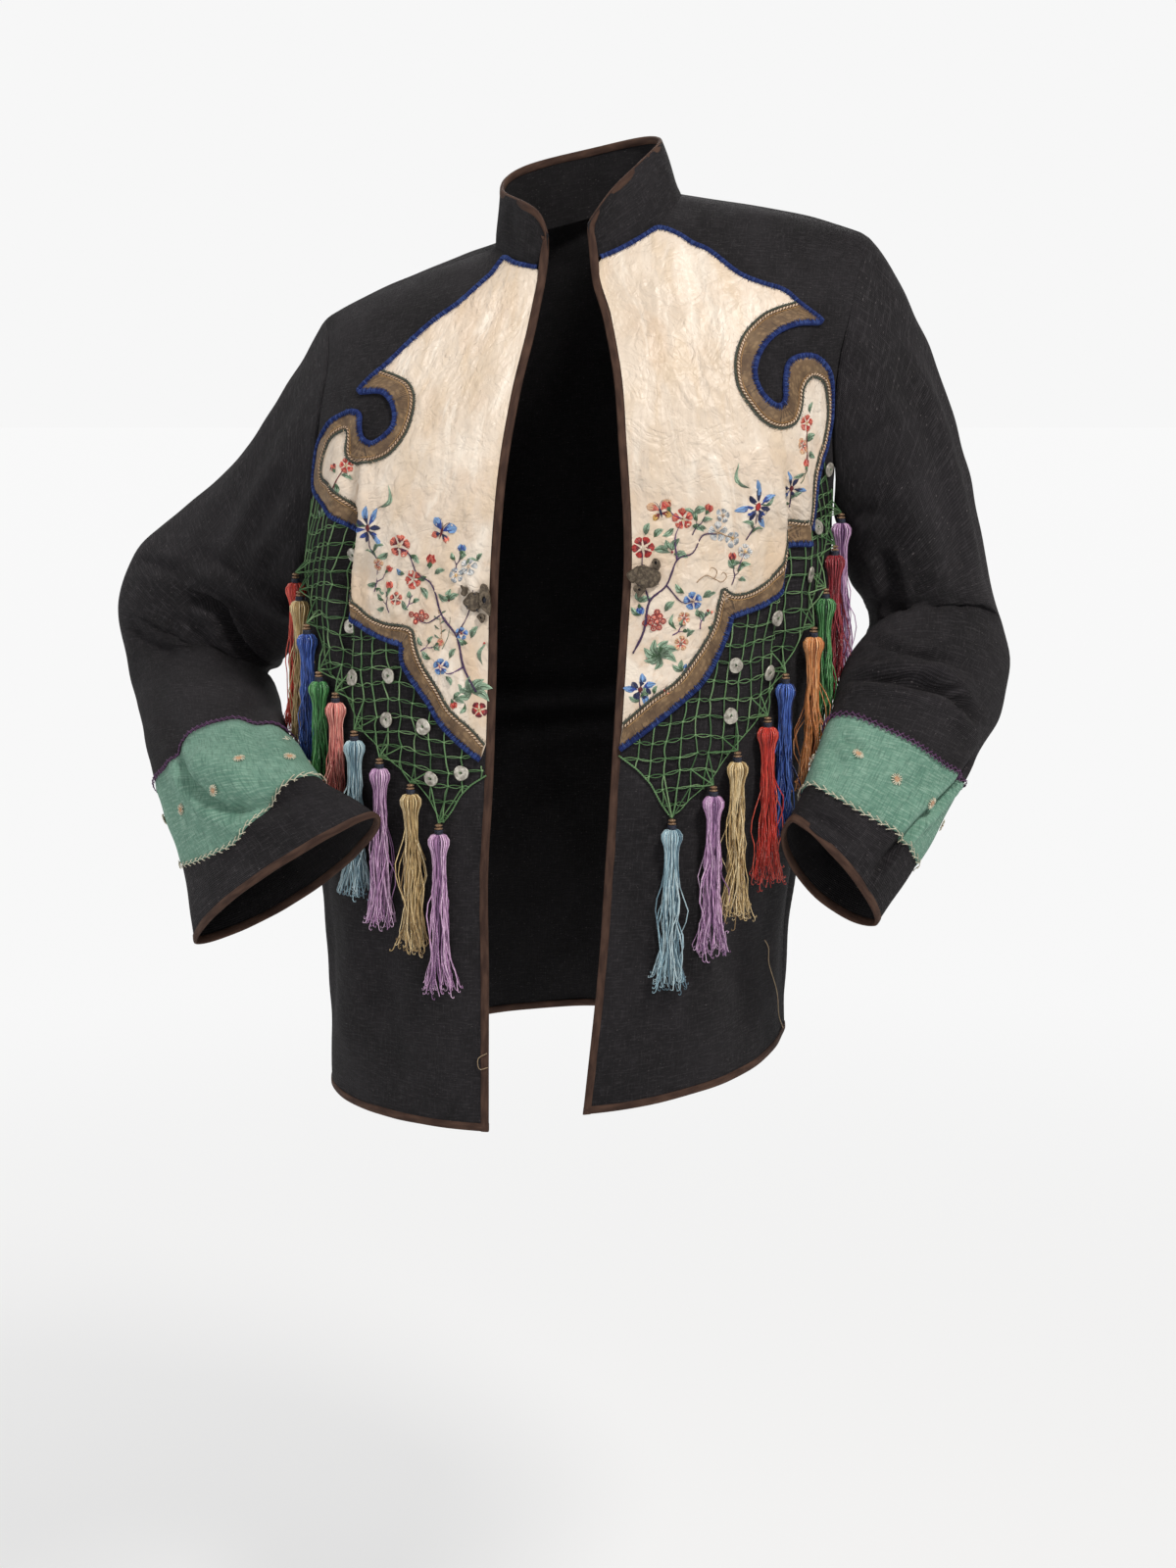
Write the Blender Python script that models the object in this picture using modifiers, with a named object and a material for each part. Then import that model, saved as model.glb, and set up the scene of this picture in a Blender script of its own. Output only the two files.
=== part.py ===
"""Embroidered open-fronted jacket as worn: every cut piece is one hollow cloth shell in metres, +Z up.

The origin lies between the shoulders at the foot of the neck. +X is the wearer's left, -Y is the front.
Body cloth is described by rows from the front hem (v = -1) over the shoulder seam (v = 0) to the back hem
(v = 1), and across each row by u = 0 at the front edge or centre back and u = 1 at the side seam or armhole.
Trim pieces are drawn in the same (u, v), laid on the body cloth and moved out by their layer's height.
"""
import math

import bmesh
import bpy
import numpy as np
from mathutils import Matrix, Vector
from mathutils.geometry import delaunay_2d_cdt

# ------------------------------------------------------------------ sizes
MM = 0.001
V_UNDERARM = 0.37            # v where the armhole ends and the side seam starts
YAW = math.radians(9.0)      # the body is turned a little toward the wearer's right
CLOTH = 1.4                  # wall of the body and sleeve cloth, mm
COLLAR_CLOTH = 2.2
COLLAR_LIFT = 1.5            # the collar's foot stands this far clear of the body cloth
SEAM = 0.35                  # each piece stops this far short of a seam line, mm
SHOULDER_SEAM = 0.9
SLEEVE_SEAM = 1.4            # half the gap between the four pieces of a sleeve
T_FRONT = math.pi * 0.20 / V_UNDERARM  # angles of the two lines that divide a sleeve into an outer and an inner piece
T_BACK = -math.pi * 0.08 / V_UNDERARM
ELBOW = {"right": 0.46, "left": 0.49}  # s of the ring between the upper and the lower pieces
ARMHOLE_GAP_BACK = 2.5       # the sleeves fold back over the back piece here
BINDING_WIDTH = 8.0
BINDING_THICK = 3.6
CUFF_BINDING_THICK = 3.2
LAYER = {                    # height of the underside over the cloth, and thickness, mm
    "satin": (0.5, 1.0),
    "ribbon": (1.9, 1.0),
    "net": (0.6, 1.0),
    "band": (0.5, 0.8),
}
PIPING_RADIUS = 1.2
PIPING_LIFT = 2.3            # centre of the piping over the cloth
TASSEL_LENGTH = 122.0
TASSEL_RADIUS = 6.5
TASSEL_STAND_OFF = 9.5
TASSEL_STAND_OFF_HIGH = 8.6  # the ones nearest the side seams
CLASP_LIFT = 3.6
CLASP_THICK = 1.8

V_NECK_FRONT = -0.06
V_NECK_BACK = 0.05
S_BLEND = 0.4

# ------------------------------------------------------------------ body cloth, mm
FRONT_EDGE = {
    "right": [  # v, x, y, z
        (-1.00, -75, -135, -681), (-0.83, -74, -135, -560), (-0.70, -74, -135, -478),
        (-0.60, -70, -133, -415), (-0.48, -67, -128, -336), (-0.37, -65, -125, -258),
        (-0.27, -58, -121, -182), (-0.20, -49, -106, -130), (-0.12, -38, -78, -82),
        (-0.06, -29, -50, -37)],
    "left": [
        (-1.00, -4, -140, -666), (-0.83, 8, -140, -548), (-0.70, 13, -139, -470),
        (-0.60, 17, -138, -405), (-0.48, 22, -134, -320), (-0.37, 26, -130, -243),
        (-0.27, 22, -126, -170), (-0.20, 19, -112, -125), (-0.12, 11, -82, -78),
        (-0.06, 2, -55, -33)],
}
NECK_SPREAD = {  # the row ends carried on over the neck hole, which is cut out
    "right": [(-0.06, -29, -50, -37), (-0.03, -24, -25, -13), (0.00, -16, 6, 0),
              (0.025, -3, 36, 9), (0.05, 12, 62, 8)],
    "left": [(-0.06, 2, -55, -33), (-0.03, 9, -28, 2), (0.00, 14, 8, 29),
             (0.025, 14, 40, 24), (0.05, 12, 62, 8)],
}
CENTRE_BACK = [
    (0.05, 12, 62, 8), (0.10, 14, 84, -35), (0.18, 16, 110, -100), (0.27, 17, 124, -165),
    (0.37, 16, 126, -255), (0.48, 13, 121, -335), (0.60, 8, 117, -415), (0.83, 0, 120, -545),
    (1.00, -5, 127, -655)]
ARMHOLE = {
    "right": [
        (-0.37, -219, 22, -272), (-0.32, -217, -10, -246), (-0.27, -211, -29, -205),
        (-0.20, -203, -42, -150), (-0.12, -197, -34, -112), (-0.06, -198, -14, -90),
        (0.00, -204, 20, -76), (0.06, -207, 48, -86), (0.12, -209, 66, -112),
        (0.20, -212, 76, -155), (0.27, -215, 72, -205), (0.32, -218, 52, -246),
        (0.37, -219, 22, -272)],
    "left": [
        (-0.37, 189, -10, -222), (-0.32, 187, -42, -200), (-0.27, 183, -62, -160),
        (-0.20, 185, -76, -112), (-0.12, 193, -72, -75), (-0.06, 202, -48, -40),
        (0.00, 210, -20, -15), (0.06, 208, 12, -22), (0.12, 206, 34, -48),
        (0.20, 203, 48, -92), (0.27, 199, 44, -140), (0.32, 194, 22, -196),
        (0.37, 189, -10, -222)],
}
SIDE_SEAM = {  # v without its sign
    "right": [(0.37, -219, 22, -272), (0.48, -220, 20, -340), (0.60, -217, 20, -420),
              (0.83, -208, 20, -565), (1.00, -206, 20, -680)],
    "left": [(0.37, 189, -10, -222), (0.48, 187, -10, -310), (0.60, 175, -10, -410),
             (0.83, 157, -10, -545), (1.00, 158, -10, -637)],
}
ROW_SHAPE = [  # v, turn of the row at its outer end in degrees, roundness, rise near the middle, near the armhole
    (-1.00, 90, 0.55, 0, 0), (-0.48, 90, 0.55, 0, 0), (-0.37, 90, 0.55, 0, 0),
    (-0.27, 66, 0.50, 0, 0), (-0.20, 50, 0.45, 0, 0), (-0.12, 36, 0.40, 0, 3),
    (-0.06, 22, 0.36, -2, 7), (0.00, 0, 0.33, -4, 11), (0.06, 22, 0.36, -2, 7),
    (0.12, 29, 0.42, 0, 3), (0.20, 37, 0.46, 0, 0), (0.27, 48, 0.50, 0, 0),
    (0.37, 72, 0.54, 0, 0), (0.51, 90, 0.55, 0, 0), (1.00, 90, 0.55, 0, 0)]
NECKLINE = {  # station, u, v
    "right": [(0, 0.000, -0.060), (1, 0.070, -0.056), (2, 0.170, -0.040), (3, 0.290, 0.000),
              (4, 0.240, 0.030), (5, 0.000, 0.050)],
    "left": [(5, 0.000, 0.050), (6, 0.230, 0.028), (7, 0.290, 0.000), (8, 0.240, -0.030),
             (9, 0.120, -0.048), (10, 0.000, -0.060)],
}
COLLAR_TOP = [  # station round the neck from the right front corner, x, y, z of the top edge
    (0, -30, -53, -17), (1, -37, -50, 0), (2, -49, -38, 9), (3, -67, 8, 22), (4, -50, 44, 41),
    (5, 4, 58, 56), (6, 46, 40, 63), (7, 54, 6, 56), (8, 38, -24, 38), (9, 17, -47, 16),
    (10, -1, -56, -9)]

# ------------------------------------------------------------------ sleeves, mm
SLEEVE = {  # s, outer x y z, inner x y z, depth to the front, depth to the back, sharpness of the edges
    "right": [
        (0.00, -204, 20, -76, -219, 22, -272, 62, 55, 0.0),
        (0.08, -231, 40, -117, -227, 33, -288, 54, 52, 0.0),
        (0.16, -265, 66, -163, -231, 50, -301, 48, 50, 0.0),
        (0.23, -293, 85, -196, -234, 62, -316, 46, 48, 0.0),
        (0.31, -330, 104, -229, -243, 80, -339, 44, 47, 0.0),
        (0.39, -374, 122, -264, -256, 92, -354, 42, 47, 0.0),
        (0.46, -393, 128, -311, -267, 96, -361, 40, 46, 0.0),
        (0.53, -384, 108, -358, -254, 74, -373, 38, 42, 0.0),
        (0.64, -364, 58, -400, -233, -22, -392, 35, 31, 0.1),
        (0.75, -341, 6, -445, -203, -102, -411, 31, 28, 0.15),
        (0.90, -314, -50, -504, -171, -136, -426, 26, 32, 0.2),
        (1.00, -300, -84, -548, -153, -152, -436, 23, 34, 0.2)],
    "left": [
        (0.00, 210, -20, -15, 189, -10, -222, 60, 58, 0.0),
        (0.09, 231, -10, -42, 197, -5, -238, 58, 56, 0.0),
        (0.18, 255, 0, -84, 200, 0, -255, 54, 54, 0.0),
        (0.27, 273, 10, -126, 203, 0, -268, 52, 52, 0.0),
        (0.36, 291, 16, -181, 209, 2, -282, 52, 52, 0.0),
        (0.43, 304, 22, -231, 217, 2, -292, 52, 52, 0.0),
        (0.49, 314, 26, -277, 223, 0, -303, 50, 52, 0.0),
        (0.55, 325, 22, -320, 223, -10, -313, 46, 52, 0.0),
        (0.61, 328, 5, -349, 208, -40, -321, 42, 48, 0.0),
        (0.67, 317, -21, -384, 195, -69, -339, 38, 46, 0.0),
        (0.73, 302, -47, -402, 188, -92, -358, 34, 45, 0.0),
        (0.81, 275, -83, -437, 174, -117, -389, 28, 45, 0.0),
        (0.92, 241, -121, -481, 158, -141, -419, 22, 45, 0.1),
        (1.00, 211, -151, -518, 146, -155, -437, 18, 45, 0.1)],
}
BAND_LINES = {  # (theta, s) round each edge of a cuff band, as it is sewn on
    "right": {
        "top": [(0.0, 0.748), (0.49, 0.746), (0.91, 0.740), (1.16, 0.730), (1.34, 0.707), (1.57, 0.694), (1.95, 0.681),
                (2.37, 0.671), (2.79, 0.665), (3.14, 0.664), (3.9, 0.680), (4.7, 0.712), (5.5, 0.738)],
        "end": [(0.0, 0.876), (0.35, 0.885), (0.77, 0.899), (1.15, 0.910), (1.43, 0.914), (1.58, 0.906), (1.74, 0.885),
                (1.92, 0.858), (2.13, 0.825), (2.36, 0.799), (2.62, 0.780), (2.93, 0.766), (3.3, 0.765), (3.9, 0.788), (4.7, 0.830), (5.5, 0.862)]},
    "left": {
        "top": [(0.0, 0.790), (0.35, 0.791), (0.77, 0.791), (1.12, 0.790), (1.36, 0.787), (1.78, 0.780), (2.20, 0.773),
                (2.62, 0.763), (3.0, 0.762), (3.9, 0.766), (4.7, 0.775), (5.5, 0.784)],
        "end": [(0.0, 0.916), (0.70, 0.916), (1.15, 0.912), (1.43, 0.913), (1.92, 0.916), (2.41, 0.911), (2.80, 0.904), (3.1, 0.899),
                (3.9, 0.898), (4.7, 0.904), (5.5, 0.912)]},
}


def band_line(side, which, theta):
    """The s of a cuff band's edge at theta, with the ends of the table joined smoothly."""
    t, s = np.array(BAND_LINES[side][which]).T
    t = np.concatenate([t - 2 * math.pi, t, t + 2 * math.pi])
    s = np.tile(s, 3)
    x = np.asarray(theta, float) % (2 * math.pi)
    return sum(np.interp(x + d, t, s) * w for d, w in ((-0.10, 0.25), (0.0, 0.5), (0.10, 0.25)))

# ------------------------------------------------------------------ trim outlines, (u, v) on a front
YOKE_UPPER_EDGE = {  # from the collar along the shoulder, round the scroll and down its lobe
    "right": [(0.233, -0.055), (0.336, -0.079), (0.481, -0.105), (0.642, -0.152), (0.719, -0.178),
              (0.593, -0.181), (0.509, -0.198), (0.463, -0.218), (0.476, -0.231), (0.541, -0.239),
              (0.610, -0.233), (0.650, -0.221), (0.681, -0.207), (0.761, -0.204), (0.848, -0.211),
              (0.910, -0.225), (0.945, -0.243), (0.909, -0.269), (0.752, -0.287), (0.595, -0.306),
              (0.519, -0.319)],
    "left": [(0.258, -0.040), (0.346, -0.046), (0.457, -0.060), (0.548, -0.078), (0.632, -0.088),
             (0.712, -0.096), (0.774, -0.111), (0.872, -0.131), (0.763, -0.134), (0.675, -0.145),
             (0.603, -0.167), (0.562, -0.194), (0.568, -0.215), (0.604, -0.231), (0.665, -0.240),
             (0.710, -0.233), (0.720, -0.210), (0.752, -0.190), (0.840, -0.186), (0.915, -0.200),
             (0.950, -0.219), (0.945, -0.260), (0.908, -0.295), (0.833, -0.324), (0.751, -0.366)],
}
YOKE_LOWER_EDGE = {  # from the fold at the side down to the front edge
    "right": [(0.473, -0.409), (0.438, -0.423), (0.378, -0.434), (0.314, -0.442), (0.267, -0.446),
              (0.264, -0.466), (0.229, -0.486), (0.183, -0.509), (0.144, -0.532), (0.090, -0.553),
              (0.034, -0.571)],
    "left": [(0.660, -0.392), (0.580, -0.409), (0.552, -0.426), (0.490, -0.438), (0.414, -0.446),
             (0.359, -0.447), (0.350, -0.462), (0.319, -0.488), (0.280, -0.508), (0.206, -0.528),
             (0.115, -0.551), (0.022, -0.574)],
}
RIBBON_UPPER = {  # inner edge of the ribbon round the scroll, from the shoulder edge to the end of the lobe
    "right": [(0.600, -0.146), (0.521, -0.169), (0.437, -0.189), (0.401, -0.208), (0.394, -0.228),
              (0.430, -0.243), (0.491, -0.251), (0.618, -0.255), (0.689, -0.241), (0.715, -0.224),
              (0.771, -0.219), (0.840, -0.231), (0.862, -0.248), (0.826, -0.263), (0.720, -0.273),
              (0.585, -0.292), (0.512, -0.305)],
    "left": [(0.700, -0.101), (0.687, -0.116), (0.608, -0.130), (0.535, -0.153), (0.493, -0.181),
             (0.485, -0.213), (0.536, -0.242), (0.590, -0.255), (0.684, -0.261), (0.745, -0.250),
             (0.775, -0.225), (0.800, -0.208), (0.850, -0.204), (0.888, -0.218), (0.886, -0.255),
             (0.858, -0.282), (0.790, -0.310), (0.715, -0.352)],
}
RIBBON_LOWER = {
    "right": [(0.476, -0.388), (0.447, -0.404), (0.393, -0.418), (0.330, -0.426), (0.257, -0.429),
              (0.235, -0.433), (0.226, -0.452), (0.199, -0.474), (0.160, -0.495), (0.122, -0.518),
              (0.066, -0.538), (0.027, -0.556)],
    "left": [(0.650, -0.374), (0.585, -0.388), (0.549, -0.410), (0.494, -0.423), (0.409, -0.433),
             (0.330, -0.428), (0.316, -0.438), (0.307, -0.452), (0.282, -0.471), (0.243, -0.489),
             (0.193, -0.509), (0.114, -0.526), (0.031, -0.550)],
}
NET_LOWER_EDGE = {  # the points carry tassels
    "right": [(0.030, -0.590), (0.088, -0.614), (0.134, -0.646), (0.182, -0.619), (0.227, -0.601),
              (0.281, -0.585), (0.327, -0.574), (0.376, -0.558), (0.425, -0.545), (0.468, -0.520),
              (0.505, -0.504), (0.545, -0.490), (0.585, -0.482), (0.625, -0.450), (0.670, -0.430),
              (0.710, -0.408), (0.750, -0.392), (0.790, -0.380), (0.830, -0.370), (0.900, -0.320),
              (0.925, -0.280)],
    "left": [(0.035, -0.582), (0.135, -0.612), (0.214, -0.649), (0.275, -0.629), (0.338, -0.611),
             (0.373, -0.593), (0.410, -0.578), (0.462, -0.563), (0.518, -0.548), (0.563, -0.529),
             (0.608, -0.510), (0.650, -0.490), (0.690, -0.468), (0.727, -0.450), (0.764, -0.434),
             (0.801, -0.412), (0.838, -0.396), (0.893, -0.372), (0.935, -0.362), (0.943, -0.325)],
}
TASSELS = {  # u, v of the net point that carries each tassel
    "right": [(0.134, -0.646), (0.227, -0.601), (0.327, -0.574), (0.425, -0.545), (0.505, -0.504),
              (0.585, -0.482), (0.670, -0.430), (0.750, -0.392), (0.830, -0.370)],
    "left": [(0.214, -0.649), (0.338, -0.611), (0.410, -0.578), (0.518, -0.548), (0.608, -0.510),
             (0.690, -0.468), (0.764, -0.434), (0.838, -0.396), (0.935, -0.362)],
}
CLASP = {"right": (0.050, -0.402), "left": (0.067, -0.402)}

# ------------------------------------------------------------------ facet lines
V_LINES = (0.0, 0.04, 0.08, 0.14, 0.20, 0.27, 0.32, 0.37, 0.44, 0.51, 0.58, 0.65, 0.72, 0.79, 0.86, 0.93, 1.0)
U_LINES = (0.0, 0.13, 0.26, 0.39, 0.52, 0.65, 0.78, 0.90, 1.0)
BACK_U_LINES = (0.0, 0.18, 0.36, 0.54, 0.72, 0.87, 1.0)
S_LINES = {
    "right": (0.0, 0.08, 0.16, 0.23, 0.31, 0.39, 0.46, 0.53, 0.60, 0.67, 0.74, 0.81, 0.88, 0.95, 1.0),
    "left": (0.0, 0.09, 0.18, 0.27, 0.36, 0.43, 0.49, 0.55, 0.61, 0.67, 0.73, 0.79, 0.85, 0.91, 0.96, 1.0),
}

COLOUR = {  # base colour, roughness, metallic
    "cloth": ((0.030, 0.027, 0.030), 0.85, 0.0),
    "binding": ((0.085, 0.040, 0.026), 0.75, 0.0),
    "satin": ((0.77, 0.66, 0.54), 0.40, 0.0),
    "ribbon": ((0.24, 0.14, 0.07), 0.55, 0.0),
    "piping": ((0.035, 0.065, 0.36), 0.50, 0.0),
    "band": ((0.12, 0.31, 0.22), 0.80, 0.0),
    "net": ((0.11, 0.22, 0.09), 0.70, 0.0),
    "clasp": ((0.09, 0.075, 0.055), 0.45, 0.8),
    "lilac": ((0.46, 0.22, 0.42), 0.45, 0.0),
    "gold": ((0.58, 0.38, 0.14), 0.45, 0.0),
    "sky": ((0.30, 0.48, 0.52), 0.45, 0.0),
    "pink": ((0.75, 0.19, 0.16), 0.45, 0.0),
    "green": ((0.05, 0.22, 0.07), 0.45, 0.0),
    "blue": ((0.02, 0.05, 0.24), 0.45, 0.0),
    "red": ((0.68, 0.03, 0.02), 0.45, 0.0),
    "orange": ((0.68, 0.22, 0.06), 0.45, 0.0),
    "wine": ((0.30, 0.02, 0.03), 0.45, 0.0),
}
TASSEL_COLOUR = {
    "right": ("lilac", "gold", "lilac", "sky", "pink", "green", "blue", "gold", "red"),
    "left": ("sky", "lilac", "gold", "red", "blue", "orange", "green", "wine", "lilac"),
}


# ------------------------------------------------------------------ form of the cloth
def table_value(rows, t):
    """The columns of a table at t: a smooth cubic through its rows."""
    at = np.array([row[0] for row in rows], float)
    y = np.array([row[1:] for row in rows], float)
    n = len(at)
    h = np.diff(at)
    d = np.diff(y, axis=0) / h[:, None]
    m = np.zeros_like(y)
    for i in range(1, n - 1):
        m[i] = (h[i] * d[i - 1] + h[i - 1] * d[i]) / (h[i - 1] + h[i])
    m[0] = 1.5 * d[0] - 0.5 * m[1] if n > 2 else d[0]
    m[-1] = 1.5 * d[-1] - 0.5 * m[-2] if n > 2 else d[-1]
    t = min(max(t, at[0]), at[-1])
    i = int(min(max(np.searchsorted(at, t, side="right") - 1, 0), n - 2))
    s = (t - at[i]) / h[i]
    return ((2 * s**3 - 3 * s**2 + 1) * y[i] + (s**3 - 2 * s**2 + s) * h[i] * m[i]
            + (3 * s**2 - 2 * s**3) * y[i + 1] + (s**3 - s**2) * h[i] * m[i + 1])


def unit(v):
    return v / max(float(np.linalg.norm(v)), 1e-12)


def row_start(side, v):
    if v <= V_NECK_BACK:
        return table_value(FRONT_EDGE[side] + NECK_SPREAD[side][1:], v)
    return table_value(NECK_SPREAD[side][2:-1] + CENTRE_BACK, v)


def row_end(side, v):
    if abs(v) >= V_UNDERARM:
        return table_value(SIDE_SEAM[side], abs(v))
    return table_value(ARMHOLE[side], v)


def body_point(w, v, side=None):
    """Point of the body cloth in mm; w is u with a minus sign on the wearer's right."""
    side = side or ("left" if w >= 0 else "right")
    s = 1 if side == "left" else -1
    u = abs(w)
    a, b = row_start(side, v), row_end(side, v)
    turn, roundness, rise_in, rise_out = table_value(ROW_SHAPE, v)
    turn = math.radians(turn)
    sideways = np.array([s * math.cos(YAW), -s * math.sin(YAW)])
    around = np.array([math.sin(YAW), math.cos(YAW)]) * (1 if v <= 0 else -1)
    wide, deep = abs((b - a)[:2] @ sideways), abs((b - a)[:2] @ around)
    end_way = math.cos(turn) * sideways + math.sin(turn) * around
    p = np.array([a, a, b, b], float)
    p[1, :2] += roundness * wide * sideways
    p[2, :2] -= roundness * (wide * math.cos(turn) + deep * math.sin(turn)) * end_way
    p[1, 2] = a[2] + (b[2] - a[2]) / 3 + rise_in
    p[2, 2] = b[2] - (b[2] - a[2]) / 3 + rise_out
    return np.array([(1 - u)**3, 3 * u * (1 - u)**2, 3 * u * u * (1 - u), u**3]) @ p


def body_normal(w, v, side=None):
    side = side or ("left" if w >= 0 else "right")
    s = 1 if side == "left" else -1
    u = abs(w)
    e = 0.003
    u0, u1 = max(u - e, 0.0), min(u + e, 1.0)
    lo, hi = (-1.0, 0.0) if v < -V_UNDERARM + 0.001 and v > -V_UNDERARM - 0.001 else (-1.0, 1.0)
    v0, v1 = max(v - e, lo), min(v + e, 1.0)
    du = body_point(s * u1, v, side) - body_point(s * u0, v, side)
    dv = body_point(s * u, v1, side) - body_point(s * u, v0, side)
    return unit(np.cross(du, dv) * s)


def ring_point(side, s, theta):
    row = table_value(SLEEVE[side], s)
    a, b = row[0:3], row[3:6]
    lo, hi = table_value(SLEEVE[side], max(s - 0.004, 0)), table_value(SLEEVE[side], min(s + 0.004, 1))
    axis = unit((hi[0:3] + hi[3:6]) - (lo[0:3] + lo[3:6]))
    across = unit(b - a)
    forward = unit(np.cross(axis, across) if side == "right" else np.cross(across, axis))
    sine = math.sin(theta)
    depth = row[6] if sine >= 0 else row[7]
    return (a + b) / 2 + (a - b) / 2 * math.cos(theta) + forward * depth * sine * abs(sine) ** max(row[8], 0.0)


def sleeve_point(side, theta, s):
    """Point of a sleeve in mm; theta 0 along its outer edge, pi / 2 in front, pi under the arm; s 0 at the armhole."""
    theta = theta % (2 * math.pi)
    p = ring_point(side, s, theta)
    if s < S_BLEND:
        share = theta / math.pi
        v = -V_UNDERARM * share if share <= 1 else V_UNDERARM * (2 - share)
        p = p + (table_value(ARMHOLE[side], v) - ring_point(side, 0, theta)) * (1 - s / S_BLEND) ** 2
    return p


def neck_uv(k):
    side = "right" if k <= 5 else "left"
    u, v = table_value(NECKLINE[side], k)
    return side, max(u, 0.0), v


def neck_line(first, last, count):
    """The neckline between two stations as (w, v)."""
    out = []
    for i in range(count + 1):
        side, u, v = neck_uv(first + (last - first) * i / count)
        out.append((u if side == "left" else -u, v))
    return out


# ------------------------------------------------------------------ faceted cloth
class Facets:
    """A cloth surface made of flat facets between lines a and b, which other layers follow exactly."""

    def __init__(self, a_lines, b_lines, point, outward):
        self.a, self.b = list(a_lines), list(b_lines)
        self.p = np.array([[point(a, b) for a in self.a] for b in self.b])
        self.n = np.array([[outward(a, b) for a in self.a] for b in self.b])

    def at(self, a, b):
        i = int(min(max(np.searchsorted(self.a, a, side="right") - 1, 0), len(self.a) - 2))
        j = int(min(max(np.searchsorted(self.b, b, side="right") - 1, 0), len(self.b) - 2))
        x = min(max((a - self.a[i]) / (self.a[i + 1] - self.a[i]), 0.0), 1.0)
        y = min(max((b - self.b[j]) / (self.b[j + 1] - self.b[j]), 0.0), 1.0)
        if x >= y:
            w = ((j, i, 1 - x), (j, i + 1, x - y), (j + 1, i + 1, y))
        else:
            w = ((j, i, 1 - y), (j + 1, i, y - x), (j + 1, i + 1, x))
        return (sum(self.p[q][r] * t for q, r, t in w), unit(sum(self.n[q][r] * t for q, r, t in w)))

    def slopes(self, a, b):
        """How the point moves with a and with b, mm per unit."""
        e = 0.01
        a, b = min(max(a, self.a[0]), self.a[-1]), min(max(b, self.b[0]), self.b[-1])
        a0, a1 = max(a - e, self.a[0]), min(a + e, self.a[-1])
        b0, b1 = max(b - e, self.b[0]), min(b + e, self.b[-1])
        return ((self.at(a1, b)[0] - self.at(a0, b)[0]) / (a1 - a0),
                (self.at(a, b1)[0] - self.at(a, b0)[0]) / (b1 - b0))

    def scale(self, a, b):
        """Millimetres per unit of a and of b."""
        return tuple(float(np.linalg.norm(way)) for way in self.slopes(a, b))


def inside(x, y, outline):
    hit = False
    for (x0, y0), (x1, y1) in zip(outline, outline[1:] + outline[:1]):
        if (y0 > y) != (y1 > y) and x < x0 + (y - y0) * (x1 - x0) / (y1 - y0):
            hit = not hit
    return hit


def cut(facets, outline, height, flip=False):
    """The part of a faceted cloth inside an outline, as points in metres and faces, at a height over it in mm."""
    points, edges = [Vector(p) for p in outline], []
    count = len(points)
    edges += [(i, (i + 1) % count) for i in range(count)]
    lo = (min(p[0] for p in outline), min(p[1] for p in outline))
    hi = (max(p[0] for p in outline), max(p[1] for p in outline))

    def near(lines, low, high):
        start = max([i for i, x in enumerate(lines) if x <= low + 1e-9] or [0])
        end = min([i for i, x in enumerate(lines) if x >= high - 1e-9] or [len(lines) - 1])
        return start, end

    i0, i1 = near(facets.a, lo[0], hi[0])
    j0, j1 = near(facets.b, lo[1], hi[1])
    index = {}
    for j in range(j0, j1 + 1):
        for i in range(i0, i1 + 1):
            index[i, j] = len(points)
            points.append(Vector((facets.a[i], facets.b[j])))
    for (i, j), k in index.items():
        for step in ((1, 0), (0, 1), (1, 1)):
            other = index.get((i + step[0], j + step[1]))
            if other is not None:
                edges.append((k, other))
    found, _, faces, _, _, _ = delaunay_2d_cdt(points, edges, [], 0, 1e-6)
    kept = [f for f in faces if inside(sum(found[k].x for k in f) / len(f), sum(found[k].y for k in f) / len(f), outline)]
    used = sorted({k for f in kept for k in f})
    new = {k: i for i, k in enumerate(used)}
    where = []
    for k in used:
        p, n = facets.at(found[k].x, found[k].y)
        where.append((p + n * height) * MM)
    kept = [tuple(new[k] for k in (reversed(f) if flip else f)) for f in kept]
    return where, kept


def smooth_line(points, steps=3, corners=()):
    """A curve through the points with a few points added between them; it stays sharp at the corners listed."""
    out = []
    n = len(points)
    for i in range(n - 1):
        p1, p2 = np.array(points[i]), np.array(points[i + 1])
        p0 = 2 * p1 - p2 if i == 0 or i in corners else np.array(points[i - 1])
        p3 = 2 * p2 - p1 if i + 2 >= n or i + 1 in corners else np.array(points[i + 2])
        for k in range(steps):
            t = k / steps
            out.append(tuple(0.5 * (2 * p1 + (p2 - p0) * t + (2 * p0 - 5 * p1 + 4 * p2 - p3) * t * t
                                    + (3 * p1 - p0 - 3 * p2 + p3) * t**3)))
    out.append(tuple(points[-1]))
    return out


def shifted(facets, line, mm):
    """The line moved by mm to its left in (a, b), square to itself as the cloth measures it."""
    out = []
    for k, (a, b) in enumerate(line):
        q0, q1 = line[max(k - 1, 0)], line[min(k + 1, len(line) - 1)]
        ga, gb = facets.slopes(a, b)
        way = unit(ga * (q1[0] - q0[0]) + gb * (q1[1] - q0[1]))
        left = np.cross(unit(np.cross(ga, gb)), way) * mm
        da, db = np.linalg.solve(np.array([[ga @ ga, ga @ gb], [ga @ gb, gb @ gb]]), np.array([ga @ left, gb @ left]))
        out.append((a + float(da), b + float(db)))
    return out


# ------------------------------------------------------------------ objects
for old in list(bpy.data.objects):
    bpy.data.objects.remove(old, do_unlink=True)
pieces = bpy.data.collections.new("embroidered_jacket")
bpy.context.scene.collection.children.link(pieces)
materials = {}


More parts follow.
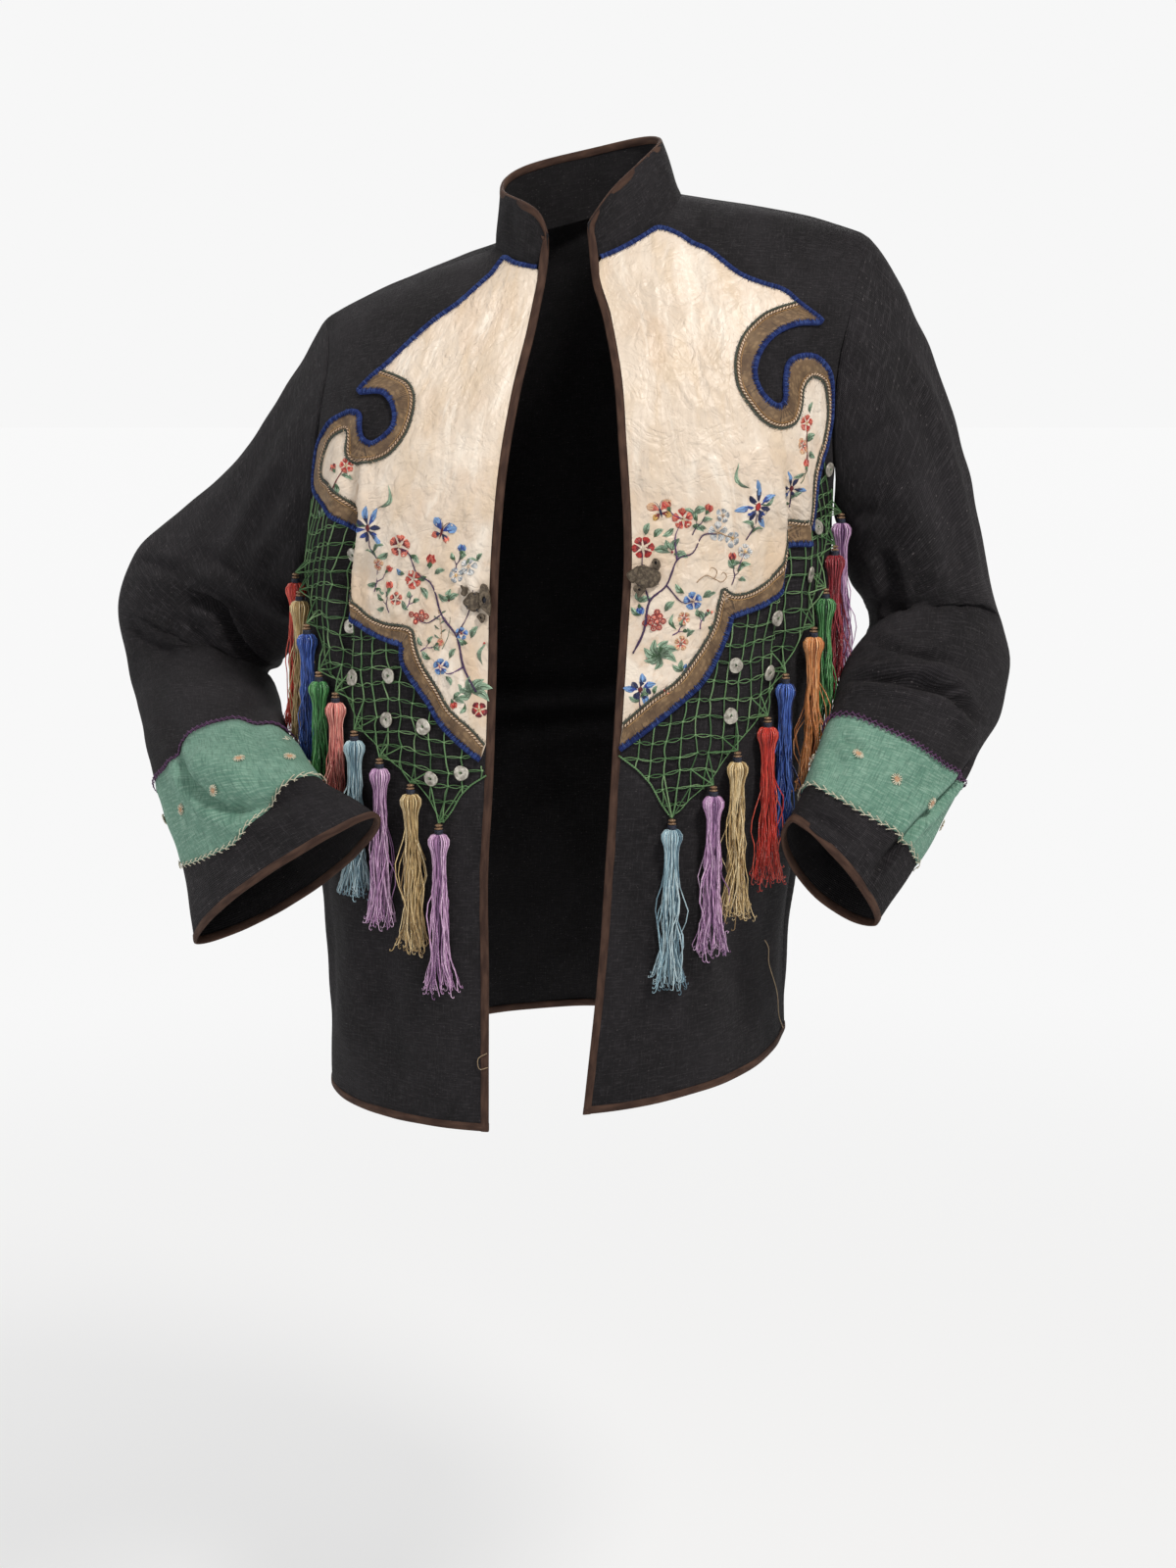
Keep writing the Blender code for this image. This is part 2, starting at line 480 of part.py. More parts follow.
def material(name):
    if name not in materials:
        made = bpy.data.materials.new(name)
        made.use_nodes = True
        shader = made.node_tree.nodes["Principled BSDF"]
        colour, rough, metal = COLOUR[name]
        shader.inputs["Base Color"].default_value = (*colour, 1)
        shader.inputs["Roughness"].default_value = rough
        shader.inputs["Metallic"].default_value = metal
        made.diffuse_color = (*colour, 1)
        materials[name] = made
    return materials[name]


def add_object(name, data, finish):
    obj = bpy.data.objects.new(name, data)
    data.materials.append(material(finish))
    pieces.objects.link(obj)
    return obj


def add_mesh(name, points, faces, finish, weld=0.0):
    mesh = bpy.data.meshes.new(name)
    mesh.from_pydata([tuple(p) for p in points], [], faces)
    if weld:
        work = bmesh.new()
        work.from_mesh(mesh)
        bmesh.ops.remove_doubles(work, verts=work.verts, dist=weld)
        work.to_mesh(mesh)
        work.free()
    mesh.validate()
    mesh.shade_smooth()
    return add_object(name, mesh, finish)


def add_shell(name, points, faces, finish, thick, outward=False, weld=0.0):
    """A cloth wall: an open surface with its thickness added inward, or outward for what lies on top."""
    obj = add_mesh(name, points, faces, finish, weld)
    solid = obj.modifiers.new("cloth", "SOLIDIFY")
    solid.thickness = thick * MM
    solid.offset = 1 if outward else -1
    solid.use_even_offset = False
    return obj


def add_strip(name, rings, finish, closed=False):
    """A solid swept through rings of points in mm, with flat ends unless it is closed."""
    count = len(rings[0])
    points = [p * MM for ring in rings for p in ring]
    faces = []
    n = len(rings)
    for i in range(n if closed else n - 1):
        for k in range(count):
            a, b = i * count + k, i * count + (k + 1) % count
            c, d = ((i + 1) % n) * count + (k + 1) % count, ((i + 1) % n) * count + k
            faces.append((a, b, c, d))
    if not closed:
        faces.append(tuple(reversed(range(count))))
        faces.append(tuple((n - 1) * count + k for k in range(count)))
    obj = add_mesh(name, points, faces, finish)
    work = bmesh.new()
    work.from_mesh(obj.data)
    bmesh.ops.recalc_face_normals(work, faces=work.faces)
    work.to_mesh(obj.data)
    work.free()
    return obj


def binding_ring(edge, inward, outward, width, thick):
    """Section of a bias binding folded over an edge: a flat bar with a rounded outer side."""
    half = thick / 2
    shape = ((0.0, -0.45 * half), (0.0, 0.45 * half), (0.2 * width, half), (width, half), (width, -half), (0.2 * width, -half))
    return [edge + inward * across + outward * (up - CLOTH / 2) for across, up in shape]


# ------------------------------------------------------------------ body cloth
fronts = {}
for side, sign in (("right", -1), ("left", 1)):
    a_lines = [sign * u for u in U_LINES]
    b_lines = sorted(-v for v in V_LINES)
    if sign < 0:
        a_lines = a_lines[::-1]
    fronts[side] = Facets(a_lines, b_lines, lambda w, v, s=side: body_point(w, v, s), lambda w, v, s=side: body_normal(w, v, s))
back = Facets([-u for u in BACK_U_LINES[:0:-1]] + list(BACK_U_LINES), V_LINES,
              lambda w, v: body_point(w, v), lambda w, v: body_normal(w, v))


def at_mm(facets, sign, v, mm):
    """u at a distance in mm square to the front edge, on the row at v."""
    (w0, v0), (w1, v1) = shifted(facets, [(0.0, v), (0.0, v + 0.01)], -sign * mm)
    return abs(w0 + (w1 - w0) * (v - v0) / (v1 - v0))


def hem_v(facets, a, v_hem, mm):
    """v at a distance in mm above a hem."""
    return shifted(facets, [(a - 0.01, v_hem), (a, v_hem), (a + 0.01, v_hem)], mm if v_hem < 0 else -mm)[1][1]


INSET = BINDING_WIDTH + 0.4
NECK_GAP = 0.5               # the body cloth stops this far outside the line of the collar's foot


def stopped(line, w_min):
    """The line up to where it comes within w_min of the front edge."""
    out = []
    for p, q in zip(line, line[1:]):
        out.append(p)
        if abs(q[0]) <= abs(w_min):
            t = (abs(p[0]) - abs(w_min)) / (abs(p[0]) - abs(q[0]))
            return out + [(w_min, p[1] + (q[1] - p[1]) * t)]
    return out + [line[-1]]


for side, sign in (("right", -1), ("left", 1)):
    f = fronts[side]
    rows = sorted(-v for v in V_LINES if v >= 0.08)
    start = [(sign * at_mm(f, sign, v, INSET + 0.3), v) for v in rows]
    start[0] = (start[0][0], hem_v(f, 0, -1, INSET + 0.2))
    line = neck_line(0, 3, 6) if side == "right" else neck_line(10, 7, 6)
    neck = shifted(f, line, NECK_GAP if side == "right" else -NECK_GAP)
    neck = [p for p in neck if abs(p[0]) > at_mm(f, sign, -0.08, INSET) + 0.004]
    top_v = -SHOULDER_SEAM / f.scale(sign * 0.6, 0)[1]
    neck = [p for p in neck if p[1] < top_v - 0.002]
    neck.append((neck[-1][0] + sign * 0.004, top_v))
    first = (sign * at_mm(f, sign, -0.068, INSET), -0.066)
    side_gap = SEAM / f.scale(sign * 0.95, -0.6)[0]
    hems = [(sign * u, hem_v(f, sign * u, -1, INSET + 0.2)) for u in U_LINES[-2:0:-1]]
    outer = [(sign * (1 - side_gap), v) for v in sorted((-v for v in V_LINES if 0 < v < 1), reverse=True)]
    outline = (start + [first] + neck + [(sign * (1 - side_gap), top_v)] + outer
               + [(sign * (1 - side_gap), hem_v(f, sign, -1, INSET))] + hems)
    points, faces = cut(f, outline, 0.0, flip=False)
    add_shell("front_" + side, points, faces, "cloth", CLOTH)

rows = [v for v in V_LINES if 0 < v < 1]
top_v = SHOULDER_SEAM / back.scale(0.6, 0)[1]
gap = SEAM / back.scale(0.95, 0.6)[0]
outline = []
neck = shifted(back, neck_line(3, 7, 12), NECK_GAP)
neck = [p for p in neck if p[1] > top_v + 0.003]
outline += [(neck[0][0] - 0.012, top_v)] + neck + [(neck[-1][0] + 0.012, top_v)]
edge = {v: 1 - (gap if v > V_UNDERARM else ARMHOLE_GAP_BACK / back.scale(0.95, v)[0]) for v in rows}
outline += [(edge[rows[0]], top_v)] + [(edge[v], v) for v in rows]
outline += [(u, hem_v(back, u, 1, INSET)) for u in (1 - gap,) + BACK_U_LINES[-2:0:-1] + (0.0,)]
outline += [(-u, hem_v(back, -u, 1, INSET)) for u in BACK_U_LINES[1:-1] + (1 - gap,)]
outline += [(-edge[v], v) for v in reversed(rows)] + [(-edge[rows[0]], top_v)]
points, faces = cut(back, outline, 0.0, flip=True)
add_shell("back", points, faces, "cloth", CLOTH)

# ------------------------------------------------------------------ sleeves and their bands
sleeves = {}
THETAS = [math.pi * v / V_UNDERARM for v in V_LINES if v <= V_UNDERARM]
THETAS = THETAS + [2 * math.pi - t for t in THETAS[-2::-1]]


def sleeve_normal(side, theta, s):
    e = 0.01
    dt = sleeve_point(side, theta + e, s) - sleeve_point(side, theta - e, s)
    ds = sleeve_point(side, theta, min(s + e, 1)) - sleeve_point(side, theta, max(s - e, 0))
    n = unit(np.cross(dt, ds))
    middle = sum(sleeve_point(side, t, s) for t in (0, math.pi / 2, math.pi, 1.5 * math.pi)) / 4
    return n if n @ (sleeve_point(side, theta, s) - middle) > 0 else -n


for side in ("right", "left"):
    f = Facets(THETAS, S_LINES[side], lambda t, s, w=side: sleeve_point(w, t, s), lambda t, s, w=side: sleeve_normal(w, t, s))
    sleeves[side] = f
    top = {t: 1.2 / f.scale(t, 0.02)[1] for t in THETAS}
    foot = {t: b for t, (_, b) in zip(THETAS, shifted(f, [(t, 1.0) for t in THETAS], -INSET - 0.9))}
    turned = [t - 2 * math.pi for t in THETAS if T_BACK - 1e-6 < t - 2 * math.pi < -1e-6] + [t for t in THETAS if t < 2 * math.pi + T_BACK + 1e-6]
    g = Facets(turned, S_LINES[side], lambda t, s, w=side: sleeve_point(w, t, s), lambda t, s, w=side: sleeve_normal(w, t, s))
    for half, t0, t1 in (("outer", turned[0], T_FRONT), ("inner", T_FRONT, turned[-1])):
        for level in ("upper", "lower"):
            across = [t for t in turned if t0 - 1e-6 < t < t1 + 1e-6]

            def near_t(t, s):
                """The angle, kept clear of the seam along each side."""
                gap = SLEEVE_SEAM / g.scale(t, s)[0]
                return t0 + gap if t < t0 + 1e-6 else t1 - gap if t > t1 - 1e-6 else t

            def at_ring(table, t):
                return min(table.items(), key=lambda item: abs((item[0] - t + math.pi) % (2 * math.pi) - math.pi))[1]

            s_cut = ELBOW[side]
            s_top = [at_ring(top, t) if level == "upper" else s_cut + SLEEVE_SEAM / g.scale(t, s_cut)[1] for t in across]
            s_foot = [at_ring(foot, t) if level == "lower" else s_cut - SLEEVE_SEAM / g.scale(t, s_cut)[1] for t in across]
            between = [s for s in S_LINES[side] if max(s_top) + 0.01 < s < min(s_foot) - 0.01]
            outline = [(near_t(t, s), s) for t, s in zip(across, s_top)]
            outline += [(near_t(across[-1], s), s) for s in between]
            outline += [(near_t(t, s), s) for t, s in zip(across, s_foot)][::-1]
            outline += [(near_t(across[0], s), s) for s in reversed(between)]
            points, faces = cut(g, outline, 0.0, flip=side == "right")
            add_shell(f"sleeve_{side}_{half}_{level}", points, faces, "cloth", CLOTH)
    round_it = sorted(set(THETAS) | {t for t in np.arange(0.85, 3.0, 0.15) if min(abs(t - x) for x in THETAS) > 0.05})
    outline = [(t, float(band_line(side, "top", t))) for t in round_it]
    outline += [(t, float(band_line(side, "end", t))) for t in reversed(round_it)]
    base, thick = LAYER["band"]
    points, faces = cut(f, outline, base, flip=side == "right")
    add_shell("sleeve_band_" + side, points, faces, "band", thick, outward=True, weld=1e-5)
    rings = []
    for t in THETAS[:-1]:
        edge, n = f.at(t, 1.0)
        inner = f.at(t, 0.93)[0]
        rings.append(binding_ring(edge, unit(inner - edge), n, BINDING_WIDTH, CUFF_BINDING_THICK))
    add_strip("cuff_binding_" + side, rings, "binding", closed=True)

# ------------------------------------------------------------------ collar
def cloth_foot(k):
    """Where the collar's foot stands on the body cloth."""
    side, u, v = neck_uv(k)
    w = u if side == "left" else -u
    p, n = fronts[side].at(w, v) if v < 0 else back.at(w, v)
    return p


def collar_point(k, h):
    """Point of the collar in mm; k 0 to 10 round the neck, h 0 at its foot, 1 at its top."""
    foot = cloth_foot(k)
    return foot + (table_value(COLLAR_TOP, k) - foot) * h


K_LINES = [0, 0.5, 1, 1.5, 2, 2.5, 3, 3.5, 4, 4.5, 5, 5.5, 6, 6.5, 7, 7.5, 8, 8.5, 9, 9.5, 10]


def collar_outward(k, h):
    e = 0.05
    dk = collar_point(min(k + e, 10), h) - collar_point(max(k - e, 0), h)
    dh = collar_point(k, 1.0) - collar_point(k, 0.0)
    return unit(np.cross(dk, dh)) * -1


collar = Facets(K_LINES, (0.0, 0.35, 0.7, 1.0), collar_point, collar_outward)


def collar_h(k, mm_from_foot=None, mm_from_top=None):
    tall = float(np.linalg.norm(collar.at(k, 1)[0] - collar.at(k, 0)[0]))
    return mm_from_foot / tall if mm_from_top is None else 1 - mm_from_top / tall


k0 = (INSET + 1.7) / collar.scale(0.1, 0.5)[0]
k1 = 10 - (INSET + 1.7) / collar.scale(9.9, 0.5)[0]
ks = [k0] + [k for k in K_LINES if k0 + 0.1 < k < k1 - 0.1] + [k1]
outline = [(k, collar_h(k, mm_from_foot=COLLAR_LIFT)) for k in ks] + [(k, collar_h(k, mm_from_top=INSET - 0.6)) for k in reversed(ks)]
points, faces = cut(collar, outline, 0.4, flip=True)
add_shell("collar", points, faces, "cloth", COLLAR_CLOTH)

rings = []
path = [(0.0, h) for h in (0.12, 0.5, 0.85)] + [(k, 1.0) for k in K_LINES] + [(10.0, h) for h in (0.85, 0.5, 0.12)]
for i, (k, h) in enumerate(path):
    edge, n = collar.at(k, h)
    if h < 1:
        toward = collar.at(0.3 if k < 5 else 9.7, h)[0]
    elif k in (0.0, 10.0):
        toward = collar.at(0.3 if k < 5 else 9.7, 0.55)[0]
    else:
        toward = collar.at(k, 0.6)[0]
    rings.append(binding_ring(edge + n * 0.0, unit(toward - edge), n, BINDING_WIDTH - 1.0, BINDING_THICK))
add_strip("collar_binding", rings, "binding")

# ------------------------------------------------------------------ front and hem bindings
for side, sign in (("right", -1), ("left", 1)):
    f = fronts[side]
    rings = []
    stops = [hem_v(f, 0, -1, 0.0)] + sorted(-v for v in V_LINES if 0.08 <= v < 1) + [-0.065]
    for v in stops:
        edge, n = f.at(0.0, v)
        inner = f.at(sign * 0.06, v)[0]
        rings.append(binding_ring(edge, unit(inner - edge), n, BINDING_WIDTH, BINDING_THICK))
    add_strip("front_binding_" + side, rings, "binding")
    rings = []
    u_start = at_mm(f, sign, -1, INSET)
    for u in [u_start] + list(U_LINES[1:-1]) + [1 - SEAM / f.scale(sign * 0.95, -1)[0]]:
        edge, n = f.at(sign * u, -1.0)
        inner = f.at(sign * u, -0.97)[0]
        rings.append(binding_ring(edge, unit(inner - edge), n, BINDING_WIDTH, BINDING_THICK))
    add_strip("hem_binding_" + side, rings, "binding")
rings = []
stop = 1 - SEAM / back.scale(0.95, 1)[0]
for w in [-stop] + [-u for u in BACK_U_LINES[-2:0:-1]] + [0.0] + list(BACK_U_LINES[1:-1]) + [stop]:
    edge, n = back.at(w, 1.0)
    inner = back.at(w, 0.97)[0]
    rings.append(binding_ring(edge, unit(inner - edge), n, BINDING_WIDTH, BINDING_THICK))
add_strip("hem_binding_back", rings, "binding")


# ------------------------------------------------------------------ yoke, ribbon, piping, net
def signed(points, sign):
    return [(sign * u, v) for u, v in points]


def add_piping(name, f, line, sign):
    """A thin cord laid along a line on the cloth."""
    curve = bpy.data.curves.new(name, "CURVE")
    curve.dimensions = "3D"
    curve.bevel_depth = PIPING_RADIUS * MM
    curve.bevel_resolution = 0
    curve.use_fill_caps = True
    spline = curve.splines.new("POLY")
    spline.points.add(len(line) - 1)
    for point, (w, v) in zip(spline.points, line):
        p, n = f.at(w, v)
        point.co = (*((p + n * PIPING_LIFT) * MM), 1)
    return add_object(name, curve, "piping")


for side, sign in (("right", -1), ("left", 1)):
    f = fronts[side]
    w_in = sign * at_mm(f, sign, -0.55, INSET + 0.3)
    u_in = abs(w_in)
    turn = {"right": (4,), "left": (7,)}[side]
    upper = smooth_line(signed(YOKE_UPPER_EDGE[side], sign), 2, corners=turn)
    notch = {"right": (4,), "left": (5,)}[side]
    lower = stopped(smooth_line(signed(YOKE_LOWER_EDGE[side], sign), 2, corners=notch), w_in)
    line = neck_line(0, 3, 9) if side == "right" else neck_line(10, 7, 9)
    neck = shifted(f, line, 5.2 if side == "right" else -5.2)
    w_neck = sign * at_mm(f, sign, -0.08, INSET)
    neck = [p for p in neck if abs(w_neck) + 0.004 < abs(p[0]) < abs(upper[0][0]) - 0.02]
    neck.insert(0, (w_neck, neck[0][1] - 0.003))
    front_line = [(sign * at_mm(f, sign, v, INSET + 0.5), v) for v in sorted(-v for v in V_LINES if 0.07 < v < 0.56)]
    satin = neck + upper + lower + front_line
    base, thick = LAYER["satin"]
    points, faces = cut(f, satin, base, flip=False)
    add_shell("yoke_satin_" + side, points, faces, "satin", thick, outward=True)

    inner = smooth_line(signed(RIBBON_UPPER[side], sign), 2)
    first = {"right": 6, "left": 10}[side]
    ribbon = upper[first:] + inner[::-1]
    base, thick = LAYER["ribbon"]
    points, faces = cut(f, ribbon, base, flip=False)
    add_shell("yoke_ribbon_upper_" + side, points, faces, "ribbon", thick, outward=True)
    inner = smooth_line(signed(RIBBON_LOWER[side], sign), 2)
    ribbon = lower + stopped(inner, w_in)[::-1]
    points, faces = cut(f, ribbon, base, flip=False)
    add_shell("yoke_ribbon_lower_" + side, points, faces, "ribbon", thick, outward=True)

    way = 1 if side == "right" else -1
    cord = shifted(f, neck[1:] + upper, -2.2 * way)
    add_piping("yoke_piping_upper_" + side, f, cord, sign)
    cord = stopped(shifted(f, lower, -2.2 * way), w_in * 1.06)
    add_piping("yoke_piping_lower_" + side, f, cord, sign)

    under = stopped(smooth_line(signed(YOKE_LOWER_EDGE[side], sign), 1), w_in)
    under = stopped(shifted(f, under, -5.0 * way), w_in * 1.06)
    lobe_from = {"right": 17, "left": 22}[side]
    lobe = shifted(f, signed(YOKE_UPPER_EDGE[side], sign)[lobe_from:], -5.0 * way)
    foot = signed(NET_LOWER_EDGE[side], sign)
    foot[0] = (w_in * 1.06, foot[0][1])
    if abs(under[-1][0]) > abs(w_in) * 1.061:
        under.append((w_in * 1.06, under[-1][1] - 0.002))
    net = lobe + under + foot
    base, thick = LAYER["net"]
    points, faces = cut(f, net, base, flip=False)
    add_shell("net_" + side, points, faces, "net", thick, outward=True)

    # tassels: a bead, a neck and a skirt, as one plain turned solid of their reach
    profile = ((0.0, 0.0), (2.6, -1.0), (2.6, -7.0), (TASSEL_RADIUS, -12.0), (TASSEL_RADIUS, -24.0),
               (TASSEL_RADIUS * 0.82, -34.0), (TASSEL_RADIUS * 0.95, -TASSEL_LENGTH), (0.0, -TASSEL_LENGTH))
    for number, ((u, v), colour) in enumerate(zip(TASSELS[side], TASSEL_COLOUR[side]), 1):
        name = f"tassel_{side}_{number}"
        mesh = bpy.data.meshes.new(name)
        mesh.from_pydata([(r * MM, 0, z * MM) for r, z in reversed(profile)], [(i, i + 1) for i in range(len(profile) - 1)], [])
        obj = add_object(name, mesh, colour)
        p, n = f.at(sign * u, v)
        obj.location = (p + n * (TASSEL_STAND_OFF if v < -0.44 else TASSEL_STAND_OFF_HIGH)) * MM
        turned = obj.modifiers.new("turn", "SCREW")
        turned.steps = turned.render_steps = 8
        turned.use_merge_vertices = True
        turned.merge_threshold = 1e-5
        turned.use_normal_flip = True

    # clasp half: a flat five-lobed plate
    plate = bpy.data.curves.new("clasp_" + side, "CURVE")
    plate.dimensions = "2D"
    plate.fill_mode = "BOTH"
    plate.extrude = CLASP_THICK / 2 * MM
    plate.bevel_depth = 0.0003
    plate.bevel_resolution = 0
    outline = plate.splines.new("POLY")
    outline.points.add(29)
    for k, point in enumerate(outline.points):
        t = 2 * math.pi * k / 30
        r = 10.0 + 2.2 * math.cos(5 * t)
        point.co = (r * math.cos(t) * 0.95 * MM, r * math.sin(t) * 1.08 * MM, 0, 1)
    outline.use_cyclic_u = True
    obj = add_object("clasp_" + side, plate, "clasp")
    u, v = CLASP[side]
    p, n = f.at(sign * u, v)
    up = unit(f.at(sign * u, v + 0.02)[0] - p)
    right = unit(np.cross(up, n))
    up = np.cross(n, right)
    turn = Matrix((right, up, n)).transposed().to_4x4()
    obj.matrix_world = Matrix.Translation(Vector((p + n * (CLASP_LIFT + CLASP_THICK / 2)) * MM)) @ turn
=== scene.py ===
"""Embroidered jacket as worn: thin cloth on its solids' form, satin yoke, ribbon, net, tassels and stitching.

Body cloth is described by rows from the front hem (v = -1) over the shoulder seam (v = 0) to the back hem (v = 1),
and across each row by u = 0 at the front edge or centre back and u = 1 at the side seam or armhole. On the wearer's
right u has a minus sign. Sleeves use theta round the arm and s down it. Lengths are in mm until a mesh is made.
"""
import math

import bpy
import numpy as np
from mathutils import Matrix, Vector
from mathutils.geometry import delaunay_2d_cdt


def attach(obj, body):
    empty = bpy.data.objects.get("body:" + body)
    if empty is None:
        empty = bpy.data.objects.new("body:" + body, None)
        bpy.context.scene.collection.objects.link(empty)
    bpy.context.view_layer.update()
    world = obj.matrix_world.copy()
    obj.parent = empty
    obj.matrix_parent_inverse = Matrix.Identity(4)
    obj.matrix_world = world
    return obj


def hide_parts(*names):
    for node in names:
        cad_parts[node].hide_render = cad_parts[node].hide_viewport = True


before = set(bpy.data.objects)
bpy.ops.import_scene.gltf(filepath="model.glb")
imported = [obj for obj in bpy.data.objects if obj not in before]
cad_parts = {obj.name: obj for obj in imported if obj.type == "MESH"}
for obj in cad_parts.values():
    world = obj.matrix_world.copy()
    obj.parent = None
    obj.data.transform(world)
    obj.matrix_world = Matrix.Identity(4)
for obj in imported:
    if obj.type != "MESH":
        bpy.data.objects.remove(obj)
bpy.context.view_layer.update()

MM = 0.001
V_UNDERARM = 0.37
YAW = math.radians(9.0)

V_NECK_FRONT = -0.06
V_NECK_BACK = 0.05
S_BLEND = 0.4

# ------------------------------------------------------------------ body cloth, mm
FRONT_EDGE = {
    "right": [  # v, x, y, z
        (-1.00, -75, -135, -681), (-0.83, -74, -135, -560), (-0.70, -74, -135, -478),
        (-0.60, -70, -133, -415), (-0.48, -67, -128, -336), (-0.37, -65, -125, -258),
        (-0.27, -58, -121, -182), (-0.20, -49, -106, -130), (-0.12, -38, -78, -82),
        (-0.06, -29, -50, -37)],
    "left": [
        (-1.00, -4, -140, -666), (-0.83, 8, -140, -548), (-0.70, 13, -139, -470),
        (-0.60, 17, -138, -405), (-0.48, 22, -134, -320), (-0.37, 26, -130, -243),
        (-0.27, 22, -126, -170), (-0.20, 19, -112, -125), (-0.12, 11, -82, -78),
        (-0.06, 2, -55, -33)],
}
NECK_SPREAD = {  # the row ends carried on over the neck hole, which is cut out
    "right": [(-0.06, -29, -50, -37), (-0.03, -24, -25, -13), (0.00, -16, 6, 0),
              (0.025, -3, 36, 9), (0.05, 12, 62, 8)],
    "left": [(-0.06, 2, -55, -33), (-0.03, 9, -28, 2), (0.00, 14, 8, 29),
             (0.025, 14, 40, 24), (0.05, 12, 62, 8)],
}
CENTRE_BACK = [
    (0.05, 12, 62, 8), (0.10, 14, 84, -35), (0.18, 16, 110, -100), (0.27, 17, 124, -165),
    (0.37, 16, 126, -255), (0.48, 13, 121, -335), (0.60, 8, 117, -415), (0.83, 0, 120, -545),
    (1.00, -5, 127, -655)]
ARMHOLE = {
    "right": [
        (-0.37, -219, 22, -272), (-0.32, -217, -10, -246), (-0.27, -211, -29, -205),
        (-0.20, -203, -42, -150), (-0.12, -197, -34, -112), (-0.06, -198, -14, -90),
        (0.00, -204, 20, -76), (0.06, -207, 48, -86), (0.12, -209, 66, -112),
        (0.20, -212, 76, -155), (0.27, -215, 72, -205), (0.32, -218, 52, -246),
        (0.37, -219, 22, -272)],
    "left": [
        (-0.37, 189, -10, -222), (-0.32, 187, -42, -200), (-0.27, 183, -62, -160),
        (-0.20, 185, -76, -112), (-0.12, 193, -72, -75), (-0.06, 202, -48, -40),
        (0.00, 210, -20, -15), (0.06, 208, 12, -22), (0.12, 206, 34, -48),
        (0.20, 203, 48, -92), (0.27, 199, 44, -140), (0.32, 194, 22, -196),
        (0.37, 189, -10, -222)],
}
SIDE_SEAM = {  # v without its sign
    "right": [(0.37, -219, 22, -272), (0.48, -220, 20, -340), (0.60, -217, 20, -420),
              (0.83, -208, 20, -565), (1.00, -206, 20, -680)],
    "left": [(0.37, 189, -10, -222), (0.48, 187, -10, -310), (0.60, 175, -10, -410),
             (0.83, 157, -10, -545), (1.00, 158, -10, -637)],
}
ROW_SHAPE = [  # v, turn of the row at its outer end in degrees, roundness, rise near the middle, near the armhole
    (-1.00, 90, 0.55, 0, 0), (-0.48, 90, 0.55, 0, 0), (-0.37, 90, 0.55, 0, 0),
    (-0.27, 66, 0.50, 0, 0), (-0.20, 50, 0.45, 0, 0), (-0.12, 36, 0.40, 0, 3),
    (-0.06, 22, 0.36, -2, 7), (0.00, 0, 0.33, -4, 11), (0.06, 22, 0.36, -2, 7),
    (0.12, 29, 0.42, 0, 3), (0.20, 37, 0.46, 0, 0), (0.27, 48, 0.50, 0, 0),
    (0.37, 72, 0.54, 0, 0), (0.51, 90, 0.55, 0, 0), (1.00, 90, 0.55, 0, 0)]
NECKLINE = {  # station, u, v
    "right": [(0, 0.000, -0.060), (1, 0.070, -0.056), (2, 0.170, -0.040), (3, 0.290, 0.000),
              (4, 0.240, 0.030), (5, 0.000, 0.050)],
    "left": [(5, 0.000, 0.050), (6, 0.230, 0.028), (7, 0.290, 0.000), (8, 0.240, -0.030),
             (9, 0.120, -0.048), (10, 0.000, -0.060)],
}
COLLAR_TOP = [  # station round the neck from the right front corner, x, y, z of the top edge
    (0, -30, -53, -17), (1, -37, -50, 0), (2, -49, -38, 9), (3, -67, 8, 22), (4, -50, 44, 41),
    (5, 4, 58, 56), (6, 46, 40, 63), (7, 54, 6, 56), (8, 38, -24, 38), (9, 17, -47, 16),
    (10, -1, -56, -9)]

